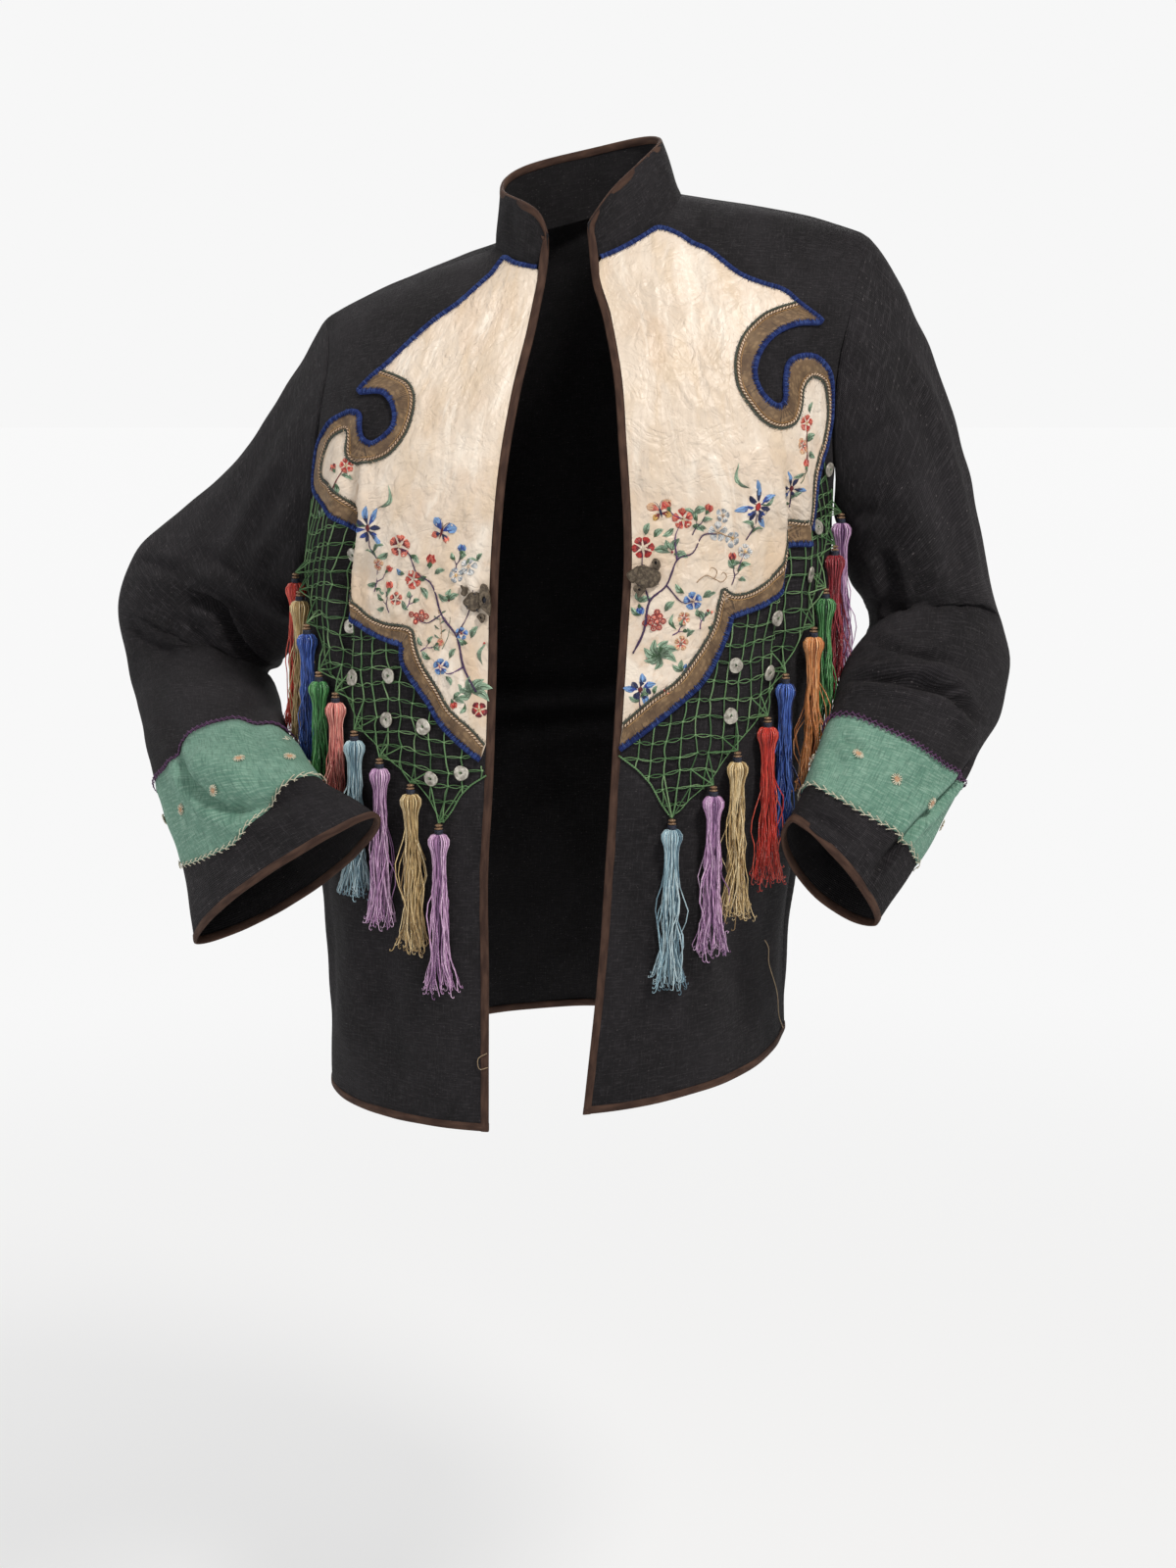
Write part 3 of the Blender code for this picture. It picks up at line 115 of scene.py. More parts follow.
# ------------------------------------------------------------------ sleeves, mm
SLEEVE = {  # s, outer x y z, inner x y z, depth to the front, depth to the back, sharpness of the edges
    "right": [
        (0.00, -204, 20, -76, -219, 22, -272, 62, 55, 0.0),
        (0.08, -231, 40, -117, -227, 33, -288, 54, 52, 0.0),
        (0.16, -265, 66, -163, -231, 50, -301, 48, 50, 0.0),
        (0.23, -293, 85, -196, -234, 62, -316, 46, 48, 0.0),
        (0.31, -330, 104, -229, -243, 80, -339, 44, 47, 0.0),
        (0.39, -374, 122, -264, -256, 92, -354, 42, 47, 0.0),
        (0.46, -393, 128, -311, -267, 96, -361, 40, 46, 0.0),
        (0.53, -384, 108, -358, -254, 74, -373, 38, 42, 0.0),
        (0.64, -364, 58, -400, -233, -22, -392, 35, 31, 0.1),
        (0.75, -341, 6, -445, -203, -102, -411, 31, 28, 0.15),
        (0.90, -314, -50, -504, -171, -136, -426, 26, 32, 0.2),
        (1.00, -300, -84, -548, -153, -152, -436, 23, 34, 0.2)],
    "left": [
        (0.00, 210, -20, -15, 189, -10, -222, 60, 58, 0.0),
        (0.09, 231, -10, -42, 197, -5, -238, 58, 56, 0.0),
        (0.18, 255, 0, -84, 200, 0, -255, 54, 54, 0.0),
        (0.27, 273, 10, -126, 203, 0, -268, 52, 52, 0.0),
        (0.36, 291, 16, -181, 209, 2, -282, 52, 52, 0.0),
        (0.43, 304, 22, -231, 217, 2, -292, 52, 52, 0.0),
        (0.49, 314, 26, -277, 223, 0, -303, 50, 52, 0.0),
        (0.55, 325, 22, -320, 223, -10, -313, 46, 52, 0.0),
        (0.61, 328, 5, -349, 208, -40, -321, 42, 48, 0.0),
        (0.67, 317, -21, -384, 195, -69, -339, 38, 46, 0.0),
        (0.73, 302, -47, -402, 188, -92, -358, 34, 45, 0.0),
        (0.81, 275, -83, -437, 174, -117, -389, 28, 45, 0.0),
        (0.92, 241, -121, -481, 158, -141, -419, 22, 45, 0.1),
        (1.00, 211, -151, -518, 146, -155, -437, 18, 45, 0.1)],
}
BAND_LINES = {  # (theta, s) round each edge of a cuff band, as it is sewn on
    "right": {
        "top": [(0.0, 0.748), (0.49, 0.746), (0.91, 0.740), (1.16, 0.730), (1.34, 0.707), (1.57, 0.694), (1.95, 0.681),
                (2.37, 0.671), (2.79, 0.665), (3.14, 0.664), (3.9, 0.680), (4.7, 0.712), (5.5, 0.738)],
        "end": [(0.0, 0.876), (0.35, 0.885), (0.77, 0.899), (1.15, 0.910), (1.43, 0.914), (1.58, 0.906), (1.74, 0.885),
                (1.92, 0.858), (2.13, 0.825), (2.36, 0.799), (2.62, 0.780), (2.93, 0.766), (3.3, 0.765), (3.9, 0.788), (4.7, 0.830), (5.5, 0.862)]},
    "left": {
        "top": [(0.0, 0.790), (0.35, 0.791), (0.77, 0.791), (1.12, 0.790), (1.36, 0.787), (1.78, 0.780), (2.20, 0.773),
                (2.62, 0.763), (3.0, 0.762), (3.9, 0.766), (4.7, 0.775), (5.5, 0.784)],
        "end": [(0.0, 0.916), (0.70, 0.916), (1.15, 0.912), (1.43, 0.913), (1.92, 0.916), (2.41, 0.911), (2.80, 0.904), (3.1, 0.899),
                (3.9, 0.898), (4.7, 0.904), (5.5, 0.912)]},
}


def band_line(side, which, theta):
    """The s of a cuff band's edge at theta, with the ends of the table joined smoothly."""
    t, s = np.array(BAND_LINES[side][which]).T
    t = np.concatenate([t - 2 * math.pi, t, t + 2 * math.pi])
    s = np.tile(s, 3)
    x = np.asarray(theta, float) % (2 * math.pi)
    return sum(np.interp(x + d, t, s) * w for d, w in ((-0.10, 0.25), (0.0, 0.5), (0.10, 0.25)))

# ------------------------------------------------------------------ trim outlines, (u, v) on a front
YOKE_UPPER_EDGE = {  # from the collar along the shoulder, round the scroll and down its lobe
    "right": [(0.233, -0.055), (0.336, -0.079), (0.481, -0.105), (0.642, -0.152), (0.719, -0.178),
              (0.593, -0.181), (0.509, -0.198), (0.463, -0.218), (0.476, -0.231), (0.541, -0.239),
              (0.610, -0.233), (0.650, -0.221), (0.681, -0.207), (0.761, -0.204), (0.848, -0.211),
              (0.910, -0.225), (0.945, -0.243), (0.909, -0.269), (0.752, -0.287), (0.595, -0.306),
              (0.519, -0.319)],
    "left": [(0.258, -0.040), (0.346, -0.046), (0.457, -0.060), (0.548, -0.078), (0.632, -0.088),
             (0.712, -0.096), (0.774, -0.111), (0.872, -0.131), (0.763, -0.134), (0.675, -0.145),
             (0.603, -0.167), (0.562, -0.194), (0.568, -0.215), (0.604, -0.231), (0.665, -0.240),
             (0.710, -0.233), (0.720, -0.210), (0.752, -0.190), (0.840, -0.186), (0.915, -0.200),
             (0.955, -0.219), (0.966, -0.256), (0.930, -0.281), (0.886, -0.293), (0.815, -0.314),
             (0.752, -0.347), (0.708, -0.376)],
}
YOKE_LOWER_EDGE = {  # from the fold at the side down to the front edge
    "right": [(0.473, -0.409), (0.438, -0.423), (0.378, -0.434), (0.314, -0.442), (0.267, -0.446),
              (0.264, -0.466), (0.229, -0.486), (0.183, -0.509), (0.144, -0.532), (0.090, -0.553),
              (0.034, -0.571)],
    "left": [(0.690, -0.388), (0.604, -0.386), (0.564, -0.403), (0.552, -0.424), (0.508, -0.437),
             (0.420, -0.443), (0.359, -0.447), (0.350, -0.462), (0.319, -0.488), (0.280, -0.508), (0.206, -0.528),
             (0.115, -0.551), (0.022, -0.574)],
}
RIBBON_UPPER = {  # inner edge of the ribbon round the scroll, from the shoulder edge to the end of the lobe
    "right": [(0.637, -0.153), (0.557, -0.163), (0.472, -0.177), (0.420, -0.195), (0.399, -0.216),
              (0.406, -0.235), (0.455, -0.250), (0.545, -0.254), (0.639, -0.251), (0.680, -0.243),
              (0.698, -0.228), (0.722, -0.220), (0.780, -0.221), (0.840, -0.231), (0.862, -0.248),
              (0.826, -0.263), (0.720, -0.273), (0.585, -0.292), (0.512, -0.305)],
    "left": [(0.762, -0.110), (0.678, -0.117), (0.613, -0.126), (0.545, -0.145), (0.505, -0.168),
             (0.487, -0.190), (0.493, -0.217), (0.539, -0.238), (0.592, -0.253), (0.663, -0.260),
             (0.748, -0.256), (0.786, -0.240), (0.800, -0.222), (0.846, -0.209), (0.900, -0.213),
             (0.934, -0.224), (0.952, -0.253), (0.921, -0.278), (0.872, -0.291), (0.803, -0.312),
             (0.742, -0.344), (0.699, -0.369)],
}
RIBBON_LOWER = {
    "right": [(0.476, -0.388), (0.447, -0.404), (0.393, -0.418), (0.330, -0.426), (0.257, -0.429),
              (0.235, -0.433), (0.226, -0.452), (0.199, -0.474), (0.160, -0.495), (0.122, -0.518),
              (0.066, -0.538), (0.027, -0.556)],
    "left": [(0.686, -0.363), (0.610, -0.363), (0.572, -0.383), (0.549, -0.403), (0.509, -0.416),
             (0.434, -0.426), (0.362, -0.427), (0.324, -0.419), (0.314, -0.434), (0.307, -0.452), (0.282, -0.471), (0.243, -0.489),
             (0.193, -0.509), (0.114, -0.526), (0.031, -0.550)],
}
NET_LOWER_EDGE = {  # the points carry tassels
    "right": [(0.030, -0.590), (0.088, -0.614), (0.134, -0.646), (0.182, -0.619), (0.227, -0.601),
              (0.281, -0.585), (0.327, -0.574), (0.376, -0.558), (0.425, -0.545), (0.468, -0.520),
              (0.505, -0.504), (0.545, -0.490), (0.585, -0.482), (0.625, -0.450), (0.670, -0.430),
              (0.710, -0.408), (0.750, -0.392), (0.790, -0.380), (0.830, -0.370), (0.900, -0.320),
              (0.925, -0.280)],
    "left": [(0.035, -0.582), (0.135, -0.612), (0.214, -0.649), (0.275, -0.629), (0.338, -0.611),
             (0.373, -0.593), (0.410, -0.578), (0.462, -0.563), (0.518, -0.548), (0.563, -0.529),
             (0.608, -0.510), (0.650, -0.490), (0.690, -0.468), (0.727, -0.450), (0.764, -0.434),
             (0.801, -0.412), (0.838, -0.396), (0.893, -0.372), (0.935, -0.362), (0.943, -0.325)],
}
TASSELS = {  # u, v of the net point that carries each tassel
    "right": [(0.134, -0.646), (0.227, -0.601), (0.327, -0.574), (0.425, -0.545), (0.505, -0.504),
              (0.585, -0.482), (0.670, -0.430), (0.750, -0.392), (0.830, -0.370)],
    "left": [(0.214, -0.649), (0.338, -0.611), (0.410, -0.578), (0.518, -0.548), (0.608, -0.510),
             (0.690, -0.468), (0.764, -0.434), (0.838, -0.396), (0.935, -0.362)],
}
CLASP = {"right": (0.050, -0.402), "left": (0.067, -0.402)}


TASSEL_COLOUR = {
    "right": ("lilac", "gold", "lilac", "sky", "pink", "green", "blue", "gold", "red"),
    "left": ("sky", "lilac", "gold", "red", "blue", "orange", "green", "wine", "lilac"),
}


def table_value(rows, t):
    """The columns of a table at t: a smooth cubic through its rows."""
    at = np.array([row[0] for row in rows], float)
    y = np.array([row[1:] for row in rows], float)
    n = len(at)
    h = np.diff(at)
    d = np.diff(y, axis=0) / h[:, None]
    m = np.zeros_like(y)
    for i in range(1, n - 1):
        m[i] = (h[i] * d[i - 1] + h[i - 1] * d[i]) / (h[i - 1] + h[i])
    m[0] = 1.5 * d[0] - 0.5 * m[1] if n > 2 else d[0]
    m[-1] = 1.5 * d[-1] - 0.5 * m[-2] if n > 2 else d[-1]
    t = min(max(t, at[0]), at[-1])
    i = int(min(max(np.searchsorted(at, t, side="right") - 1, 0), n - 2))
    s = (t - at[i]) / h[i]
    return ((2 * s**3 - 3 * s**2 + 1) * y[i] + (s**3 - 2 * s**2 + s) * h[i] * m[i]
            + (3 * s**2 - 2 * s**3) * y[i + 1] + (s**3 - s**2) * h[i] * m[i + 1])


def unit(v):
    return v / max(float(np.linalg.norm(v)), 1e-12)


def row_start(side, v):
    if v <= V_NECK_BACK:
        return table_value(FRONT_EDGE[side] + NECK_SPREAD[side][1:], v)
    return table_value(NECK_SPREAD[side][2:-1] + CENTRE_BACK, v)


def row_end(side, v):
    if abs(v) >= V_UNDERARM:
        return table_value(SIDE_SEAM[side], abs(v))
    return table_value(ARMHOLE[side], v)


def ring_point(side, s, theta):
    row = table_value(SLEEVE[side], s)
    a, b = row[0:3], row[3:6]
    lo, hi = table_value(SLEEVE[side], max(s - 0.004, 0)), table_value(SLEEVE[side], min(s + 0.004, 1))
    axis = unit((hi[0:3] + hi[3:6]) - (lo[0:3] + lo[3:6]))
    across = unit(b - a)
    forward = unit(np.cross(axis, across) if side == "right" else np.cross(across, axis))
    sine = math.sin(theta)
    depth = row[6] if sine >= 0 else row[7]
    return (a + b) / 2 + (a - b) / 2 * math.cos(theta) + forward * depth * sine * abs(sine) ** max(row[8], 0.0)


def sleeve_point(side, theta, s):
    """Point of a sleeve in mm; theta 0 along its outer edge, pi / 2 in front, pi under the arm; s 0 at the armhole."""
    theta = theta % (2 * math.pi)
    p = ring_point(side, s, theta)
    if s < S_BLEND:
        share = theta / math.pi
        v = -V_UNDERARM * share if share <= 1 else V_UNDERARM * (2 - share)
        p = p + (table_value(ARMHOLE[side], v) - ring_point(side, 0, theta)) * (1 - s / S_BLEND) ** 2
    return p


def neck_uv(k):
    side = "right" if k <= 5 else "left"
    u, v = table_value(NECKLINE[side], k)
    return side, max(u, 0.0), v


def neck_line(first, last, count):
    """The neckline between two stations as (w, v)."""
    out = []
    for i in range(count + 1):
        side, u, v = neck_uv(first + (last - first) * i / count)
        out.append((u if side == "left" else -u, v))
    return out


def smooth_line(points, steps=3, corners=()):
    """A curve through the points with a few points added between them; it stays sharp at the corners listed."""
    out = []
    n = len(points)
    for i in range(n - 1):
        p1, p2 = np.array(points[i]), np.array(points[i + 1])
        p0 = 2 * p1 - p2 if i == 0 or i in corners else np.array(points[i - 1])
        p3 = 2 * p2 - p1 if i + 2 >= n or i + 1 in corners else np.array(points[i + 2])
        for k in range(steps):
            t = k / steps
            out.append(tuple(0.5 * (2 * p1 + (p2 - p0) * t + (2 * p0 - 5 * p1 + 4 * p2 - p3) * t * t
                                    + (3 * p1 - p0 - 3 * p2 + p3) * t**3)))
    out.append(tuple(points[-1]))
    return out




# ------------------------------------------------------------------ fine cloth surfaces
def resample(line, step_of, step):
    """The line with points added so that none are further apart than step, as step_of measures it."""
    out = []
    for p, q in zip(line, line[1:]):
        n = max(1, int(math.ceil(step_of(p, q) / step)))
        out += [(p[0] + (q[0] - p[0]) * k / n, p[1] + (q[1] - p[1]) * k / n) for k in range(n)]
    return out + [tuple(line[-1])]


def in_outline(x, y, outline):
    hit = np.zeros(np.shape(x), bool)
    pts = list(outline)
    for (x0, y0), (x1, y1) in zip(pts, pts[1:] + pts[:1]):
        if y0 != y1:
            hit ^= ((y0 > y) != (y1 > y)) & (x < x0 + (y - y0) * (x1 - x0) / (y1 - y0))
    return hit


def far_from(points, line, closed=False):
    """Distance of each point from a line, how far along it the nearest place is (0 to 1), and that place."""
    points, line = np.asarray(points, float), np.asarray(line, float)
    if closed:
        line = np.vstack([line, line[:1]])
    lengths = np.linalg.norm(np.diff(line, axis=0), axis=1)
    total = max(lengths.sum(), 1e-9)
    best = np.full(len(points), 1e18)
    along = np.zeros(len(points))
    where = np.zeros_like(points)
    start = 0.0
    for p, q, length in zip(line[:-1], line[1:], lengths):
        d = q - p
        t = np.clip((points - p) @ d / max(length * length, 1e-12), 0, 1)
        place = p + t[:, None] * d
        far = ((points - place) ** 2).sum(1)
        near = far < best
        best[near] = far[near]
        along[near] = (start + t[near] * length) / total
        where[near] = place[near]
        start += length
    return np.sqrt(best), along, where


def smoothstep(x, lo, hi):
    t = np.clip((np.asarray(x, float) - lo) / (hi - lo), 0, 1)
    return t * t * (3 - 2 * t)


def wobble(points, seed, length, waves=9):
    """A smooth uneven field of about unit size, with bumps about this long in mm."""
    rng = np.random.default_rng(seed)
    out = np.zeros(len(points))
    for _ in range(waves):
        way = rng.normal(size=3)
        way /= np.linalg.norm(way)
        k = 2 * math.pi / (length * rng.uniform(0.75, 1.6))
        out += np.sin(points @ way * k + rng.uniform(0, 6.28))
    return out / math.sqrt(waves / 2)


class Sheet:
    """A finely meshed cloth surface over (a, b), which every layer on it follows."""

    def __init__(self, a, b, points, sign, wrap=False):
        self.a, self.b, self.p, self.sign, self.wrap = np.asarray(a), np.asarray(b), points, sign, wrap
        self.refresh()
        mid_row, mid_col = self.p[len(self.b) // 2], self.p[:, len(self.a) // 2]
        self.ua = np.concatenate([[0], np.cumsum(np.linalg.norm(np.diff(mid_row, axis=0), axis=1))])
        self.vb = np.concatenate([[0], np.cumsum(np.linalg.norm(np.diff(mid_col, axis=0), axis=1))])

    def refresh(self):
        if self.wrap:
            ring = np.concatenate([self.p[:, -2:-1], self.p, self.p[:, 1:2]], axis=1)
            line = np.concatenate([[self.a[0] - (self.a[-1] - self.a[-2])], self.a, [self.a[-1] + (self.a[1] - self.a[0])]])
            da = np.gradient(ring, line, axis=1)[:, 1:-1]
        else:
            da = np.gradient(self.p, self.a, axis=1)
        db = np.gradient(self.p, self.b, axis=0)
        n = np.cross(da, db) * self.sign
        self.n = n / np.maximum(np.linalg.norm(n, axis=2, keepdims=True), 1e-9)
        self.da, self.db = da, db

    def _cell(self, a, b):
        a, b = np.asarray(a, float), np.asarray(b, float)
        if self.wrap:
            a = self.a[0] + (a - self.a[0]) % (self.a[-1] - self.a[0])
        i = np.clip(np.searchsorted(self.a, a, side="right") - 1, 0, len(self.a) - 2)
        j = np.clip(np.searchsorted(self.b, b, side="right") - 1, 0, len(self.b) - 2)
        x = np.clip((a - self.a[i]) / (self.a[i + 1] - self.a[i]), 0, 1)[..., None]
        y = np.clip((b - self.b[j]) / (self.b[j + 1] - self.b[j]), 0, 1)[..., None]
        return i, j, x, y

    def _mix(self, table, cell):
        i, j, x, y = cell
        return (table[j, i] * (1 - x) * (1 - y) + table[j, i + 1] * x * (1 - y)
                + table[j + 1, i] * (1 - x) * y + table[j + 1, i + 1] * x * y)

    def at(self, a, b):
        cell = self._cell(a, b)
        n = self._mix(self.n, cell)
        return self._mix(self.p, cell), n / np.maximum(np.linalg.norm(n, axis=-1, keepdims=True), 1e-9)

    def slopes(self, a, b):
        cell = self._cell(a, b)
        return self._mix(self.da, cell), self._mix(self.db, cell)

    def scale(self, a, b):
        ga, gb = self.slopes(a, b)
        return float(np.linalg.norm(ga)), float(np.linalg.norm(gb))

    def uv(self, a, b):
        return np.stack([np.interp(a, self.a, self.ua), np.interp(b, self.b, self.vb)], -1) * MM

    def put(self, line, height=0.0):
        """Points in mm of a line or patch given in (a, b), at a height over the cloth."""
        line = np.asarray(line, float)
        p, n = self.at(line[..., 0], line[..., 1])
        return p + n * np.asarray(height, float)[..., None], n

    def push(self, field):
        self.p = self.p + self.n * field.reshape(self.p.shape[:2])[..., None]
        self.refresh()

    def flat(self):
        return self.p.reshape(-1, 3)

    def crease(self, line, depth, width, lip=0.35, lean=0.0, ends=0.22, smooth=4):
        """A trough (or a ridge, with a depth under 0) along a line in (a, b), with raised lips; lean makes one side steeper."""
        path = np.asarray(smooth_line([tuple(p) for p in line], smooth), float)
        spots, ns = self.at(path[:, 0], path[:, 1])
        pts = self.flat()
        lo, hi = spots.min(0) - 4.5 * width, spots.max(0) + 4.5 * width
        pick = np.nonzero(((pts > lo) & (pts < hi)).all(1))[0]
        if not len(pick):
            return
        far, along, where = far_from(pts[pick], spots)
        same = (self.n.reshape(-1, 3)[pick] * ns[np.clip((along * (len(ns) - 1)).astype(int), 0, len(ns) - 1)]).sum(1)
        way = spots[-1] - spots[0]
        side = np.sign(((np.cross(way, ns.mean(0))) * (pts[pick] - where)).sum(1))
        w = width * (1 + lean * side)
        taper = smoothstep(along, 0, ends) * smoothstep(1 - along, 0, ends) if ends > 0 else 1.0
        field = np.zeros(len(pts))
        shape = -depth * np.exp(-(far / w) ** 2) + depth * lip * np.exp(-((far - 1.9 * w) / (0.9 * w)) ** 2)
        field[pick] = shape * taper * np.clip(same * 2, 0, 1)
        self.queue = getattr(self, "queue", np.zeros(len(pts))) + field

    def uneven(self, seed, length, amount, fade=None):
        field = wobble(self.flat(), seed, length) * amount
        self.queue = getattr(self, "queue", np.zeros(len(field))) + (field if fade is None else field * fade)

    def settle(self, hold=None):
        """Moves the cloth by what was queued; hold is 0 where it stays put, as along a seam."""
        field = self.queue if hold is None else self.queue * hold.ravel()
        self.push(field)
        self.queue = np.zeros(len(field))


def shifted(sheet, line, mm):
    """The line moved by mm to its left in (a, b), square to itself as the cloth measures it."""
    line = [tuple(p) for p in line]
    out = []
    for k, (a, b) in enumerate(line):
        q0, q1 = line[max(k - 1, 0)], line[min(k + 1, len(line) - 1)]
        ga, gb = sheet.slopes(a, b)
        way = unit(ga * (q1[0] - q0[0]) + gb * (q1[1] - q0[1]))
        left = np.cross(unit(np.cross(ga, gb)), way) * mm
        da, db = np.linalg.solve(np.array([[ga @ ga, ga @ gb], [ga @ gb, gb @ gb]]), np.array([ga @ left, gb @ left]))
        out.append((a + float(da), b + float(db)))
    return out


def step_of(sheet):
    def measure(p, q):
        (x, _), (y, _) = sheet.at(p[0], p[1]), sheet.at(q[0], q[1])
        return float(np.linalg.norm(x - y))
    return measure


def body_rows(us, vs, side_of):
    """Grid of body cloth points in mm, one row for each v."""
    out = np.zeros((len(vs), len(us), 3))
    for j, v in enumerate(vs):
        for side, s in (("right", -1), ("left", 1)):
            pick = [i for i, w in enumerate(us) if side_of(w) == side]
            if not pick:
                continue
            a, b = row_start(side, v), row_end(side, v)
            turn, roundness, rise_in, rise_out = table_value(ROW_SHAPE, v)
            turn = math.radians(turn)
            sideways = np.array([s * math.cos(YAW), -s * math.sin(YAW)])
            around = np.array([math.sin(YAW), math.cos(YAW)]) * (1 if v <= 0 else -1)
            wide, deep = abs((b - a)[:2] @ sideways), abs((b - a)[:2] @ around)
            end_way = math.cos(turn) * sideways + math.sin(turn) * around
            p = np.array([a, a, b, b], float)
            p[1, :2] += roundness * wide * sideways
            p[2, :2] -= roundness * (wide * math.cos(turn) + deep * math.sin(turn)) * end_way
            p[1, 2] = a[2] + (b[2] - a[2]) / 3 + rise_in
            p[2, 2] = b[2] - (b[2] - a[2]) / 3 + rise_out
            u = np.abs(np.asarray([us[i] for i in pick]))[:, None]
            out[j, pick] = (1 - u)**3 * p[0] + 3 * u * (1 - u)**2 * p[1] + 3 * u * u * (1 - u) * p[2] + u**3 * p[3]
    return out


fronts, sleeves = {}, {}
V_FRONT = np.linspace(-1, 0, 196)
for side, sign in (("right", -1), ("left", 1)):
    us = np.linspace(0, 1, 70) if sign > 0 else np.linspace(-1, 0, 70)
    fronts[side] = Sheet(us, V_FRONT, body_rows(list(us), V_FRONT, lambda w, s=side: s), 1)
us = np.concatenate([-np.linspace(1, 0, 64), np.linspace(0, 1, 64)[1:]])
back = Sheet(us, np.linspace(0, 1, 196), body_rows(list(us), np.linspace(0, 1, 196), lambda w: "left" if w >= 0 else "right"), 1)
for side in ("right", "left"):
    ts, ss = np.linspace(0, 2 * math.pi, 121), np.linspace(0, 1, 150)
    grid = np.zeros((len(ss), len(ts), 3))
    zero = np.array([ring_point(side, 0, t) for t in ts])
    hole = []
    for t in ts:
        share = (t % (2 * math.pi)) / math.pi
        v = -V_UNDERARM * share if share <= 1 else V_UNDERARM * (2 - share)
        hole.append(table_value(ARMHOLE[side], v))
    hole = np.array(hole)
    for j, s in enumerate(ss):
        row = table_value(SLEEVE[side], s)
        p0, p1 = row[0:3], row[3:6]
        lo, hi = table_value(SLEEVE[side], max(s - 0.004, 0)), table_value(SLEEVE[side], min(s + 0.004, 1))
        axis = unit((hi[0:3] + hi[3:6]) - (lo[0:3] + lo[3:6]))
        across = unit(p1 - p0)
        forward = unit(np.cross(axis, across) if side == "right" else np.cross(across, axis))
        sine = np.sin(ts)
        depth = np.where(sine >= 0, row[6], row[7])
        grid[j] = ((p0 + p1) / 2 + (p0 - p1) / 2 * np.cos(ts)[:, None]
                   + forward * (depth * sine * np.abs(sine) ** max(row[8], 0.0))[:, None])
        if s < S_BLEND:
            grid[j] += (hole - zero) * (1 - s / S_BLEND) ** 2
    grid[:, -1] = grid[:, 0]
    made = Sheet(ts, ss, grid, 1, wrap=True)
    middle = made.p.mean(1, keepdims=True)
    if ((made.n * (made.p - middle)).sum(2) > 0).mean() < 0.5:
        made.sign = -1
        made.refresh()
    sleeves[side] = made
for f in (*fronts.values(), back):
    centre = np.array([0.0, 0.0, -300.0])
    if ((f.n * (f.p - centre) * [1, 1, 0]).sum(2) > 0).mean() < 0.5:
        f.sign = -1
        f.refresh()


# ------------------------------------------------------------------ building meshes
class Build:
    """Gathers vertices in mm and faces, with a material number and a thread or cloth coordinate in metres."""

    def __init__(self):
        self.v, self.f, self.m, self.uv, self.n = [], [], [], [], 0

    def add(self, points, faces, mat=0, uv=None):
        points = np.asarray(points, float)
        self.v.append(points)
        self.uv.append(np.zeros((len(points), 2)) if uv is None else np.asarray(uv, float))
        for face in faces:
            self.f.append(tuple(int(k) + self.n for k in face))
            self.m.append(mat)
        self.n += len(points)

    def make(self, name, mats, nodes=(), smooth=True):
        mesh = bpy.data.meshes.new(name)
        points = np.concatenate(self.v) * MM
        mesh.from_pydata(points.tolist(), [], self.f)
        for mat in mats:
            mesh.materials.append(mat)
        mesh.polygons.foreach_set("material_index", np.array(self.m, np.int32))
        mesh.polygons.foreach_set("use_smooth", np.full(len(self.f), smooth))
        layer = mesh.uv_layers.new(name="Cloth")
        index = np.zeros(len(mesh.loops), np.int32)
        mesh.loops.foreach_get("vertex_index", index)
        layer.data.foreach_set("uv", np.concatenate(self.uv)[index].astype(np.float32).ravel())
        mesh.update()
        obj = bpy.data.objects.new(name, mesh)
        bpy.context.scene.collection.objects.link(obj)
        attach(obj, "root")
        if nodes:
            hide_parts(*nodes)
        return obj


def frames(path, up=None, closed=False):
    """Tangent, side and up at each point of a path."""
    path = np.asarray(path, float)
    if closed:
        t = np.roll(path, -1, 0) - np.roll(path, 1, 0)
    else:
        t = np.gradient(path, axis=0)
    t /= np.maximum(np.linalg.norm(t, axis=1, keepdims=True), 1e-9)
    if up is None:
        u = np.zeros_like(path)
        first = np.cross(t[0], [0.31, 0.17, 0.93])
        u[0] = unit(np.cross(first, t[0]))
        for k in range(1, len(path)):
            w = u[k - 1] - (u[k - 1] @ t[k]) * t[k]
            u[k] = unit(w)
    else:
        u = np.asarray(up, float) * np.ones_like(path)
        u = u - (u * t).sum(1, keepdims=True) * t
        u /= np.maximum(np.linalg.norm(u, axis=1, keepdims=True), 1e-9)
    return t, np.cross(t, u), u


def sweep(build, path, radius, sides=6, mat=0, up=None, flat=1.0, closed=False, caps=True, start=0.0):
    """A round or oval cord along a path in mm; radius may change along it; flat squeezes it toward the cloth."""
    path = np.asarray(path, float)
    t, s, u = frames(path, up, closed)
    r = np.ones(len(path)) * radius
    phi = np.arange(sides) * 2 * math.pi / sides
    ring = (s[:, None] * np.cos(phi)[None, :, None] + u[:, None] * (np.sin(phi) * flat)[None, :, None]) * r[:, None, None]
    points = (path[:, None] + ring).reshape(-1, 3)
    n = len(path)
    i, k = np.meshgrid(np.arange(n if closed else n - 1), np.arange(sides), indexing="ij")
    j, l = (i + 1) % n, (k + 1) % sides
    faces = np.stack([i * sides + k, i * sides + l, j * sides + l, j * sides + k], -1).reshape(-1, 4).tolist()
    run = np.concatenate([[0], np.cumsum(np.linalg.norm(np.diff(path, axis=0), axis=1))]) + start
    uv = np.stack([np.repeat(run, sides) * MM, np.tile(phi / (2 * math.pi), n)], -1)
    if caps and not closed:
        faces.append(tuple(range(sides))[::-1])
        faces.append(tuple((n - 1) * sides + q for q in range(sides)))
    build.add(points, faces, mat, uv)


